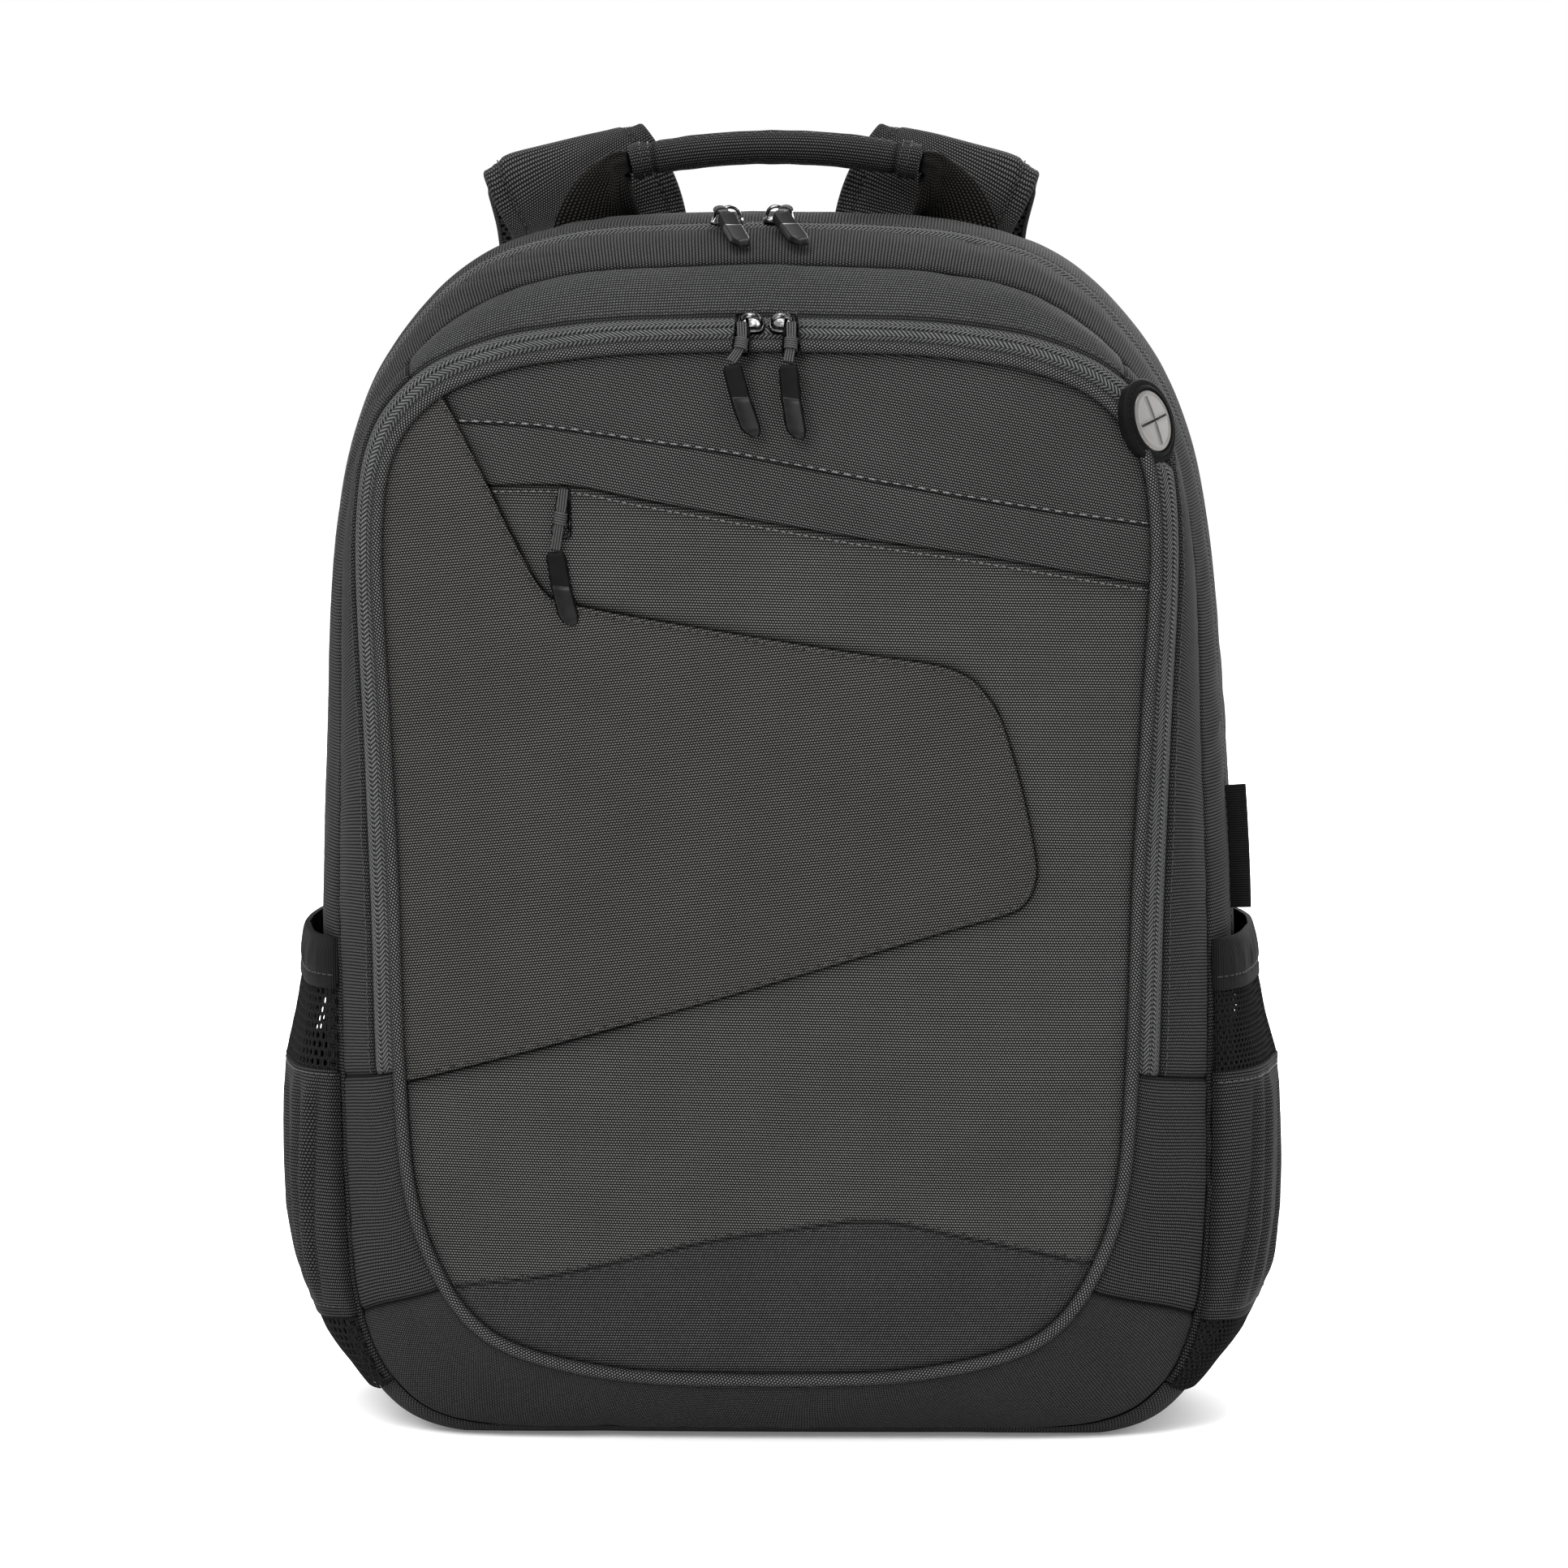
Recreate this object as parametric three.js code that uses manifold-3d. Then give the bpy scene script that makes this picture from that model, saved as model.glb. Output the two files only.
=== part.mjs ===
// Laptop backpack: a sewn front panel inside a piping, two zipped compartments, mesh side pockets,
// a cable port, a padded handle and padded shoulder straps.
// Millimetres, +Z up, the front towards -Y, the origin at the middle of the base.

import * as THREE from 'three';
import { mergeVertices } from 'three/addons/utils/BufferGeometryUtils.js';
import Module from 'manifold-3d';

const wasm = await Module();
wasm.setup();

const { clamp, degToRad, euclideanModulo, lerp } = THREE.MathUtils;

// Body
const BODY_HALF = 178; // half of the width where the body is widest
const BODY_HEIGHT = 467;
const BODY_DEPTH = 176; // from the foot of the front piping to the back panel
const FRONT_INSET = 30.5; // from the body's widest point in to the middle of the piping
const FRONT_FOOT = 26.5; // height of the piping's lowest point
const FRONT_DROP = 47; // from the body's top down to the piping's highest point
const LEAN = { foot: 6, top: -2 }; // how far the body stands to the side of its front panel
const FRONT_DOME = 8; // how far the front panel swells out of the piping's ring
const BACK_PAD = 9.6; // thickness of the back panel's padding
const BACK_EDGE = 3.4; // thickness of the back panel at its edge
const BACK_CHANNEL = 26; // width of the air channel down the back panel

// Cloth
const WALL = 2.4; // cloth with its foam
const BASE_WALL = 3;
const TAPE_WALL = 1.4;
const PIPING_RADIUS = 2.6;
const FLAP_LIFT = 1.2; // how far the pocket flap stands proud
const SEAM_GAP = 0.4; // between sewn neighbours
const CLEARANCE = 0.3; // between a piece and what it rests on

// Heights of the seams across the sides, at the front zip and at the seam behind the gusset
const ZIP_END = { front: 145, back: 138 };
const BOOT_TOP = { front: 61, back: 48 };

// Side pockets
const POCKET_WALL = 2;
const POCKET_BULGE = 18.5;
const POCKET_TOP = 191;
const POCKET_HEM = 20; // height of the elastic hem
const POCKET_BAND_TOP = 140;
const POCKET_BAND_FOOT = 46;
const POCKET_FOOT = 19;

// Label in the right side seam
const LABEL_TOP = 246;
const LABEL_HEIGHT = 48;
const LABEL_REACH = 8.6;

// Cable port
const PORT_RADIUS = 16.2;
const PORT_DISC_RADIUS = 12;
const PORT_UP = 0.924; // share of the height of the piping's highest point

// Handle
const HANDLE_HALF = 57;
const HANDLE_RISE = 26; // from the body's top to the middle of the sleeve
const HANDLE_SAG = 6; // how far the sleeve's ends lie below its middle
const HANDLE_THICK = 13.5;
const HANDLE_DEEP = 19;
const HANDLE_WEB_WIDTH = 38;
const HANDLE_WEB_OUT = 71; // where the webbing is sewn in, from the middle
const WEB_THICK = 2.4;

// Shoulder straps
const STRAP_WIDTH = 67;
const STRAP_THICK = 10;
const STRAP_ASIDE = { left: 0, right: -13 }; // how far each strap lies outside its usual place
const STRAP_REACH = 24; // how far the strap's arch reaches behind the back panel
const LOCK_WIDTH = 36;
const LOCK_HEIGHT = 26;
const LOCK_THICK = 4;
const LOCK_BAR = 4;
const LOWER_WEB_WIDTH = 25;
const LOWER_WEB_THICK = 1.8;
const LOWER_WEB_TAIL = 70;

// Zip pulls
const SLIDER_LENGTH = 10.4;
const SLIDER_WIDTH = 7.6;
const SLIDER_THICK = 2.4;
const ARCH_RISE = 5.6;
const ARCH_WIDTH = 2.6;
const ARCH_BAR = 1.4;
const FRAME_LENGTH = 19.5;
const FRAME_TOP_WIDTH = 5;
const FRAME_FOOT_WIDTH = 7.6;
const FRAME_BAR = 1.3;
const FRAME_THICK = 1.2;
const CORD_WIDTH = 3.6;
const CORD_THICK = 1.9;
const CORD_END_GAP = 1.1; // from the cord's end to its grip
const GRIP_LENGTH = 28.6;
const GRIP_WIDTH = 8.6;
const GRIP_THICK = 3.6;

// Outline of the body from the crown down one side to the middle of the base, for the piping's ring
// and for the widest ring: shares of half the width and of the height.
const OUTLINE = [
  { frontAcross: 0, frontUp: 1, bodyAcross: 0, bodyUp: 1 },
  { frontAcross: 0.34, frontUp: 0.9975, bodyAcross: 0.33, bodyUp: 0.995 },
  { frontAcross: 0.53, frontUp: 0.991, bodyAcross: 0.5, bodyUp: 0.984 },
  { frontAcross: 0.67, frontUp: 0.982, bodyAcross: 0.63, bodyUp: 0.965 },
  { frontAcross: 0.82, frontUp: 0.961, bodyAcross: 0.745, bodyUp: 0.93 },
  { frontAcross: 0.92, frontUp: 0.93, bodyAcross: 0.855, bodyUp: 0.875 },
  { frontAcross: 0.975, frontUp: 0.893, bodyAcross: 0.915, bodyUp: 0.82 },
  { frontAcross: 0.998, frontUp: 0.845, bodyAcross: 0.95, bodyUp: 0.757 },
  { frontAcross: 1, frontUp: 0.77, bodyAcross: 0.97, bodyUp: 0.69 },
  { frontAcross: 0.978, frontUp: 0.63, bodyAcross: 0.985, bodyUp: 0.58 },
  { frontAcross: 0.957, frontUp: 0.475, bodyAcross: 1, bodyUp: 0.46 },
  { frontAcross: 0.944, frontUp: 0.315, bodyAcross: 1, bodyUp: 0.31 },
  { frontAcross: 0.922, frontUp: 0.197, bodyAcross: 0.995, bodyUp: 0.19 },
  { frontAcross: 0.863, frontUp: 0.118, bodyAcross: 0.98, bodyUp: 0.1 },
  { frontAcross: 0.76, frontUp: 0.057, bodyAcross: 0.91, bodyUp: 0.035 },
  { frontAcross: 0.61, frontUp: 0.024, bodyAcross: 0.75, bodyUp: 0 },
  { frontAcross: 0.34, frontUp: 0.004, bodyAcross: 0.4, bodyUp: 0 },
  { frontAcross: 0, frontUp: 0, bodyAcross: 0, bodyUp: 0 },
];

// Rings of the body from front to back. form, wide, high and low are shares of the way from the
// piping's outline, width, top and foot to the body's. The depths are shares of the body's depth,
// at the ring's foot and top, and bow is added between them. lean is the share of the body's lean.
const SECTIONS = [
  { name: 'piping', form: 0, wide: 0, high: 0, low: 0, footDepth: -0.523, topDepth: -0.398, bow: -0.068, lean: 0 },
  { name: 'zip inner edge', form: 0, wide: 0, high: 0, low: 0, footDepth: -0.523, topDepth: -0.398, bow: -0.068, lean: 0 },
  { name: 'zip outer edge', form: 0.12, wide: 0.33, high: 0.235, low: 0.45, footDepth: -0.472, topDepth: -0.347, bow: -0.057, lean: 0.12 },
  { name: 'gusset crown', form: 0.5, wide: 0.54, high: 0.49, low: 0.72, footDepth: -0.437, topDepth: -0.284, bow: -0.011, lean: 0.5 },
  { name: 'seam', form: 0.8, wide: 0.69, high: 0.65, low: 0.84, footDepth: -0.403, topDepth: -0.216, bow: 0.051, lean: 0.8 },
  { name: 'main middle', form: 0.93, wide: 0.86, high: 0.82, low: 1, footDepth: -0.3, topDepth: -0.097, bow: 0.05, lean: 0.93 },
  { name: 'main zip front', form: 1, wide: 0.95, high: 0.915, low: 1, footDepth: 0.011, topDepth: 0.011, bow: 0, lean: 1 },
  { name: 'main zip rear', form: 1, wide: 0.975, high: 0.947, low: 1, footDepth: 0.074, topDepth: 0.074, bow: 0, lean: 1 },
  { name: 'rear middle', form: 1, wide: 1, high: 0.99, low: 1, footDepth: 0.227, topDepth: 0.227, bow: 0, lean: 1 },
  { name: 'rear back', form: 0.97, wide: 0.93, high: 1, low: 1, footDepth: 0.398, topDepth: 0.398, bow: 0, lean: 0.6 },
  { name: 'back edge', form: 0.9, wide: 0.6, high: 0.915, low: 0.8, footDepth: 0.477, topDepth: 0.477, bow: 0, lean: 0 },
];

const FRONT_HALF = BODY_HALF - FRONT_INSET;
const FRONT_TOP = BODY_HEIGHT - FRONT_DROP;

// Places along the sections, and turns along the outline, where pieces meet
const ZIP_INNER = 1;
const ZIP_OUTER = 2;
const SEAM = 4;
const MAIN_ZIP_FRONT = 6;
const MAIN_ZIP_REAR = 7;
const BACK_EDGE_PLACE = 10;
const TOP_GUSSET_TURN = 4.45;
const MAIN_ZIP_TURN = 10.2;
const BASE_TURN = 14;
const CROWN = 0;
const FOOT = OUTLINE.length - 1;
const RING = 2 * FOOT;
const FRONT_PLACE_STEP = 0.5;
const PLACE_STEP = 1;
const BENDS = [[2, 9], [12, 16]]; // turns between which the outline bends most, with half turns

// Seams of the front panel as shares of half its width and of its height, left to right.
const DIAGONAL = [
  { across: -0.95, up: 1.03 },
  { across: -0.835, up: 0.952 },
  { across: -0.738, up: 0.884 },
  { across: -0.649, up: 0.816 },
];
const FLAP_TOP = [
  { across: -0.796, up: 0.925 },
  { across: -0.584, up: 0.921 },
  { across: -0.294, up: 0.906 },
  { across: -0.072, up: 0.894 },
  { across: 0.299, up: 0.868 },
  { across: 0.758, up: 0.839 },
  { across: 1.3, up: 0.812 },
];
const FLAP_EDGE = [
  { across: -0.716, up: 0.867 },
  { across: -0.497, up: 0.866 },
  { across: -0.296, up: 0.852 },
  { across: 0.191, up: 0.82 },
  { across: 0.533, up: 0.801 },
  { across: 0.976, up: 0.773 },
  { across: 1.3, up: 0.753 },
];
const TONGUE = [
  { across: -0.572, up: 0.767 },
  { across: -0.494, up: 0.753 },
  { across: -0.204, up: 0.733 },
  { across: 0.198, up: 0.709 },
  { across: 0.42, up: 0.697 },
  { across: 0.5, up: 0.688 },
  { across: 0.548, up: 0.675 },
  { across: 0.604, up: 0.643 },
  { across: 0.659, up: 0.574 },
  { across: 0.694, up: 0.508 },
  { across: 0.69, up: 0.484 },
  { across: 0.668, up: 0.468 },
  { across: 0.62, up: 0.457 },
  { across: 0.451, up: 0.439 },
  { across: 0.048, up: 0.394 },
  { across: -0.415, up: 0.344 },
  { across: -0.827, up: 0.302 },
  { across: -1.3, up: 0.255 },
];
const INSERT_TOP = [
  { across: -1.3, up: 0.065 },
  { across: -0.794, up: 0.092 },
  { across: -0.532, up: 0.105 },
  { across: -0.157, up: 0.137 },
  { across: 0.03, up: 0.148 },
  { across: 0.2, up: 0.157 },
  { across: 0.32, up: 0.157 },
  { across: 0.449, up: 0.148 },
  { across: 0.728, up: 0.125 },
  { across: 0.858, up: 0.116 },
  { across: 1.3, up: 0.1 },
];
const ABOVE_PANEL = 1.2;
const BELOW_PANEL = -0.2;
const BESIDE_PANEL = 1.3;

// How far a side pocket stands out at each level between its top and its foot: shares of the bulge.
const POCKET_LEVELS = [
  { down: 0, out: 0.34 },
  { down: 0.1, out: 0.43 },
  { down: 0.2, out: 0.62 },
  { down: 0.3, out: 0.86 },
  { down: 0.45, out: 0.9 },
  { down: 0.65, out: 0.9 },
  { down: 0.78, out: 0.75 },
  { down: 0.88, out: 0.52 },
  { down: 0.95, out: 0.2 },
  { down: 1, out: 0.05 },
];

// A shoulder strap from its root on the back panel over its arch and down to its lower end: out is
// a share of half the body's width, back of the strap's reach, up of the body's height, and wide of
// the strap's width. tilt, in degrees, raises the inner edge.
const STRAP_ROUTE = [
  { out: 0.385, back: 0.03, up: 0.88, wide: 1, tilt: 0 },
  { out: 0.388, back: 0.1, up: 0.95, wide: 1, tilt: 4 },
  { out: 0.41, back: 0.2, up: 1.0, wide: 1, tilt: 10 },
  { out: 0.47, back: 0.32, up: 1.04, wide: 0.96, tilt: 13 },
  { out: 0.485, back: 0.58, up: 1.05, wide: 0.95, tilt: 13 },
  { out: 0.468, back: 0.84, up: 1.036, wide: 1, tilt: 12 },
  { out: 0.44, back: 0.98, up: 0.99, wide: 1, tilt: 8 },
  { out: 0.432, back: 1.0, up: 0.93, wide: 1, tilt: 4 },
  { out: 0.45, back: 0.94, up: 0.84, wide: 1, tilt: 2 },
  { out: 0.505, back: 0.82, up: 0.72, wide: 0.98, tilt: 0 },
  { out: 0.56, back: 0.72, up: 0.6, wide: 0.94, tilt: 0 },
  { out: 0.585, back: 0.64, up: 0.49, wide: 0.86, tilt: 0 },
  { out: 0.595, back: 0.58, up: 0.4, wide: 0.72, tilt: 0 },
  { out: 0.595, back: 0.54, up: 0.36, wide: 0.62, tilt: 0 },
];

// Where each slider sits (across, from the middle of its zip), which side of it the frame hangs on,
// and the grip's upper end and lower end: across, lift off the cloth, and height.
const PULLS = [
  { name: 'front_pull_left', zip: 'front', across: -5.8, side: -1, gripAcross: -13, gripLean: 13 },
  { name: 'front_pull_right', zip: 'front', across: 5.8, side: 1, gripAcross: 8.4, gripLean: 3 },
  { name: 'main_pull_left', zip: 'main', across: -12, side: -1, gripAcross: -17, gripLean: 10 },
  { name: 'main_pull_right', zip: 'main', across: 2, side: 1, gripAcross: 4, gripLean: 14 },
];
const POCKET_PULL = { across: -76.5, gripAcross: -79.5, gripLean: 8 };

// A grip seen from the front: shares of its width from its cord's axis and of its length.
const GRIP_OUTLINE = [
  { across: -0.34, along: 0 },
  { across: 0.34, along: 0 },
  { across: 0.44, along: 0.06 },
  { across: 0.5, along: 0.45 },
  { across: 0.66, along: 0.88 },
  { across: 0.6, along: 0.97 },
  { across: 0.45, along: 1 },
  { across: -0.02, along: 0.95 },
  { across: -0.26, along: 0.85 },
  { across: -0.4, along: 0.5 },
  { across: -0.44, along: 0.06 },
];

const cloth = (name, color, roughness = 0.9) =>
  new THREE.MeshStandardMaterial({ name, color, roughness, metalness: 0 });
const ballistic = cloth('ballistic_cloth', 0x3d3d3e);
const fineCloth = cloth('fine_cloth', 0x333334);
const tape = cloth('zip_tape', 0x454546);
const coarse = cloth('base_cloth', 0x2c2c2d);
const netting = cloth('netting', 0x1c1c1d);
const webbing = cloth('webbing', 0x1f1f20);
const plastic = cloth('moulded_plastic', 0x232322, 0.5);
const metal = new THREE.MeshStandardMaterial({
  name: 'blackened_metal', color: 0x2a2a2c, roughness: 0.28, metalness: 1,
});
const silver = new THREE.MeshStandardMaterial({
  name: 'satin_disc', color: 0x8c8f87, roughness: 0.4, metalness: 0.6,
});

// Smooth curve through four values, from the second to the third.
function glide(before, from, to, after, share) {
  const leave = (to - before) / 2;
  const arrive = (after - from) / 2;
  const cubic = 2 * from - 2 * to + leave + arrive;
  const square = -3 * from + 3 * to - 2 * leave - arrive;
  return ((cubic * share + square) * share + leave) * share + from;
}

// A column of a table at a place between its rows.
function column(rows, name, place) {
  const last = rows.length - 1;
  const from = clamp(Math.floor(place), 0, last - 1);
  const value = (index) => rows[clamp(index, 0, last)][name];
  return glide(value(from - 1), value(from), value(from + 1), value(from + 2), place - from);
}

// The outline at a turn: 0 is the crown, FOOT the middle of the base, negative turns the left side.
function outlineAt(form, turn) {
  const wrapped = euclideanModulo(turn, RING);
  const side = wrapped > FOOT ? -1 : 1;
  const row = side > 0 ? wrapped : RING - wrapped;
  const across = lerp(column(OUTLINE, 'frontAcross', row), column(OUTLINE, 'bodyAcross', row), form);
  const up = lerp(column(OUTLINE, 'frontUp', row), column(OUTLINE, 'bodyUp', row), form);
  return { across: side * across, up: Math.max(up, 0) };
}

function sectionDepth(section, up) {
  return BODY_DEPTH * (lerp(section.footDepth, section.topDepth, up) + section.bow * 4 * up * (1 - up));
}

function ringPoint(section, turn) {
  const { across, up } = outlineAt(section.form, turn);
  const half = lerp(FRONT_HALF, BODY_HALF, section.wide);
  const top = lerp(FRONT_TOP, BODY_HEIGHT, section.high);
  const foot = FRONT_FOOT * (1 - section.low);
  const aside = section.lean * lerp(LEAN.foot, LEAN.top, up);
  return new THREE.Vector3(across * half + aside, sectionDepth(section, up), foot + up * (top - foot));
}

// A point beside the piping's ring, in its plane: outset is the distance from the piping's middle.
function besidePiping(turn, outset) {
  const small = 0.05;
  const point = ringPoint(SECTIONS[0], turn);
  const tangent = ringPoint(SECTIONS[0], turn + small).sub(ringPoint(SECTIONS[0], turn - small));
  const outward = new THREE.Vector3(-tangent.z, 0, tangent.x).normalize();
  return point.addScaledVector(outward, outset);
}

const ZIP_INNER_OUTSET = PIPING_RADIUS + CLEARANCE;
const ZIP_INNER_BACK = 0.6 * PIPING_RADIUS;

function sectionPoint(index, turn) {
  const held = clamp(index, 0, SECTIONS.length - 1);
  if (held !== ZIP_INNER) return ringPoint(SECTIONS[held], turn);
  const point = besidePiping(turn, ZIP_INNER_OUTSET);
  point.y += ZIP_INNER_BACK;
  return point;
}

// A point of the body's skin, at a place between the sections and a turn along the outline.
function skin(place, turn) {
  const last = SECTIONS.length - 1;
  const held = clamp(place, 0, last);
  const from = Math.min(Math.floor(held), last - 1);
  const [a, b, c, d] = [-1, 0, 1, 2].map((step) => sectionPoint(from + step, turn));
  const share = held - from;
  return new THREE.Vector3(
    glide(a.x, b.x, c.x, d.x, share),
    glide(a.y, b.y, c.y, d.y, share),
    Math.max(glide(a.z, b.z, c.z, d.z, share), 0),
  );
}

function skinNormal(place, turn) {
  const small = 0.02;
  const around = skin(place, turn + small).sub(skin(place, turn - small));
  const back = skin(place + small, turn).sub(skin(place - small, turn));
  return around.cross(back).normalize();
}

function besideSkin(place, turn, distance) {
  return skin(place, turn).addScaledVector(skinNormal(place, turn), distance);
}

// The turn on the right side where a section has a given height, or a given distance from the middle.
function turnWhere(place, low, high, isPast) {
  let near = low;
  let far = high;
  for (let step = 0; step < 30; step += 1) {
    const middle = (near + far) / 2;
    if (isPast(skin(place, middle))) far = middle;
    else near = middle;
  }
  return (near + far) / 2;
}
const turnAtHeight = (place, height) => turnWhere(place, CROWN, BASE_TURN, (point) => point.z < height);
const turnAtAcross = (place, across) => turnWhere(place, CROWN, 6, (point) => point.x > across);

// A closed body from points and triangles, with its faces turned out.
function closedBody(points, faces) {
  const geometry = new THREE.BufferGeometry();
  geometry.setAttribute('position', new THREE.Float32BufferAttribute(points.flatMap((p) => [p.x, p.y, p.z]), 3));
  let volume = 0;
  for (let i = 0; i < faces.length; i += 3) {
    const [a, b, c] = [points[faces[i]], points[faces[i + 1]], points[faces[i + 2]]];
    volume += a.dot(new THREE.Vector3().crossVectors(b, c));
  }
  geometry.setIndex(volume < 0 ? [...faces].reverse() : faces);
  return geometry;
}

// A sheet with a thickness, between two grids of points.
function slab(outer, inner) {
  const rows = outer.length;
  const columns = outer[0].length;
  const faces = [];
  const quad = (a, b, c, d) => faces.push(a, b, c, a, c, d);
  const out = (i, j) => i * columns + j;
  const inn = (i, j) => rows * columns + out(i, j);
  for (let i = 0; i < rows - 1; i += 1) {
    for (let j = 0; j < columns - 1; j += 1) {
      quad(out(i, j), out(i + 1, j), out(i + 1, j + 1), out(i, j + 1));
      quad(inn(i, j), inn(i, j + 1), inn(i + 1, j + 1), inn(i + 1, j));
    }
    quad(out(i, 0), inn(i, 0), inn(i + 1, 0), out(i + 1, 0));
    const last = columns - 1;
    quad(out(i, last), out(i + 1, last), inn(i + 1, last), inn(i, last));
  }
  for (let j = 0; j < columns - 1; j += 1) {
    quad(out(0, j), out(0, j + 1), inn(0, j + 1), inn(0, j));
    const last = rows - 1;
    quad(out(last, j), inn(last, j), inn(last, j + 1), out(last, j + 1));
  }
  return closedBody([...outer.flat(), ...inner.flat()], faces);
}

// Values from one end to the other by way of the whole steps between them.
function stops(from, to, step) {
  const margin = 0.2 * step;
  const list = [from];
  for (let n = Math.ceil((from + margin) / step); n * step < to - margin; n += 1) list.push(n * step);
  return [...list, to];
}

// Turns from one end to the other: whole ones, and half ones in the bends.
function turnStops(from, to) {
  const kept = (turn) => {
    const wrapped = euclideanModulo(turn, RING);
    const row = wrapped > FOOT ? RING - wrapped : wrapped;
    return Number.isInteger(row) || BENDS.some(([start, end]) => row > start && row < end);
  };
  const list = stops(from, to, 0.5);
  return list.filter((turn, i) => i === 0 || i === list.length - 1 || kept(turn));
}
const ringTurns = () => turnStops(0, RING).slice(0, -1);

// Moves the edges of a grid in by half a seam's gap.
function drawIn(grid) {
  const pull = (point, neighbour) => {
    point.addScaledVector(neighbour.clone().sub(point).normalize(), SEAM_GAP / 2);
  };
  for (const line of grid) {
    pull(line[0], line[1]);
    pull(line.at(-1), line.at(-2));
  }
  grid[0].forEach((point, j) => pull(point, grid[1][j]));
  grid.at(-1).forEach((point, j) => pull(point, grid.at(-2)[j]));
  return grid;
}

// A piece of the skin between two turns and two places. The turns may depend on the place, and the
// distance outside the skin on both.
function patch({ from, to, places, outside = () => 0, wall = WALL, step = PLACE_STEP }) {
  const placeStops = stops(places[0], places[1], step);
  const first = Math.max(...placeStops.map(from));
  const last = Math.min(...placeStops.map(to));
  const between = turnStops(first, last).slice(1, -1);
  const turnsAt = (place) => [from(place), ...between, to(place)];
  const sheet = (depth) => {
    const lines = placeStops.map((place) =>
      turnsAt(place).map((turn) => besideSkin(place, turn, outside(place, turn) - depth)));
    return drawIn(lines[0].map((_, i) => lines.map((line) => line[i])));
  };
  return slab(sheet(0), sheet(wall));
}

const fixed = (turn) => () => turn;
const backFrom = (heights) => (place) =>
  turnAtHeight(place, lerp(heights.front, heights.back, clamp((place - ZIP_INNER) / (SEAM - ZIP_INNER), 0, 1)));
const mirrored = (edge) => (place) => -edge(place);
const throughFoot = (edge) => (place) => RING - edge(place);

// A body swept along points. The section is a ring of [side, up] pairs, and side names the
// direction that its first number follows, for each point.
function sweep(path, sectionAt, sideAt, closed = false) {
  const count = path.length;
  const rings = path.map((point, i) => {
    const before = path[closed ? (i + count - 1) % count : Math.max(i - 1, 0)];
    const after = path[closed ? (i + 1) % count : Math.min(i + 1, count - 1)];
    const tangent = after.clone().sub(before).normalize();
    const up = new THREE.Vector3().crossVectors(sideAt(i), tangent).normalize();
    const side = new THREE.Vector3().crossVectors(tangent, up);
    return sectionAt(i).map(([across, along]) =>
      point.clone().addScaledVector(side, across).addScaledVector(up, along));
  });
  const size = rings[0].length;
  const faces = [];
  const at = (i, k) => (i % count) * size + (k % size);
  for (let i = 0; i < (closed ? count : count - 1); i += 1) {
    for (let k = 0; k < size; k += 1) {
      faces.push(at(i, k), at(i, k + 1), at(i + 1, k + 1));
      faces.push(at(i, k), at(i + 1, k + 1), at(i + 1, k));
    }
  }
  for (let k = 1; k < size - 1 && !closed; k += 1) {
    faces.push(at(0, 0), at(0, k + 1), at(0, k));
    faces.push(at(count - 1, 0), at(count - 1, k), at(count - 1, k + 1));
  }
  return closedBody(rings.flat(), faces);
}

function roundSection(width, height, sides) {
  return Array.from({ length: sides }, (_, k) => {
    const angle = (2 * Math.PI * (k + 0.5)) / sides;
    return [(width / 2) * Math.cos(angle), (height / 2) * Math.sin(angle)];
  });
}

// A flat section with rounded edges.
function padSection(width, height) {
  const round = 0.3 * height;
  const half = width / 2;
  const thick = height / 2;
  return [
    [half, -thick + round], [half, thick - round], [half - 2 * round, thick], [-half + 2 * round, thick],
    [-half, thick - round], [-half, -thick + round], [-half + 2 * round, -thick], [half - 2 * round, -thick],
  ];
}

// Joining and cutting
function solid(geometry) {
  const plain = geometry.clone();
  plain.deleteAttribute('normal');
  plain.deleteAttribute('uv');
  const merged = mergeVertices(plain, 1e-4);
  return new wasm.Manifold(new wasm.Mesh({
    numProp: 3,
    vertProperties: new Float32Array(merged.attributes.position.array),
    triVerts: new Uint32Array(merged.index.array),
  }));
}

function geometryOf(manifold) {
  const mesh = manifold.getMesh();
  const geometry = new THREE.BufferGeometry();
  geometry.setAttribute('position', new THREE.Float32BufferAttribute([...mesh.vertProperties], 3));
  geometry.setIndex([...mesh.triVerts]);
  return geometry;
}

const join = (...pieces) => geometryOf(pieces.map(solid).reduce((whole, piece) => whole.add(piece)));
const common = (...pieces) => geometryOf(pieces.map(solid).reduce((whole, piece) => whole.intersect(piece)));

// A piece less its cutters. Only the largest body is kept.
function cut(piece, ...cutters) {
  const left = cutters.map(solid).reduce((whole, cutter) => whole.subtract(cutter), solid(piece));
  return geometryOf(left.decompose().sort((a, b) => b.volume() - a.volume())[0]);
}

function extruded(outline, depth) {
  const shape = new THREE.Shape(outline.map(([x, y]) => new THREE.Vector2(x, y)));
  return new THREE.ExtrudeGeometry(shape, { depth, bevelEnabled: false });
}

// A closed outline drawn in on all sides.
function inset(outline, distance) {
  const turned = THREE.ShapeUtils.area(outline.map(([x, y]) => new THREE.Vector2(x, y))) > 0 ? 1 : -1;
  const normalOf = (from, to) => {
    const length = Math.hypot(to[0] - from[0], to[1] - from[1]);
    return [(-turned * (to[1] - from[1])) / length, (turned * (to[0] - from[0])) / length];
  };
  return outline.map((point, i) => {
    const before = normalOf(outline.at(i - 1), point);
    const after = normalOf(point, outline[(i + 1) % outline.length]);
    const reach = distance / (1 + before[0] * after[0] + before[1] * after[1]);
    return [point[0] + reach * (before[0] + after[0]), point[1] + reach * (before[1] + after[1])];
  });
}

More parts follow.
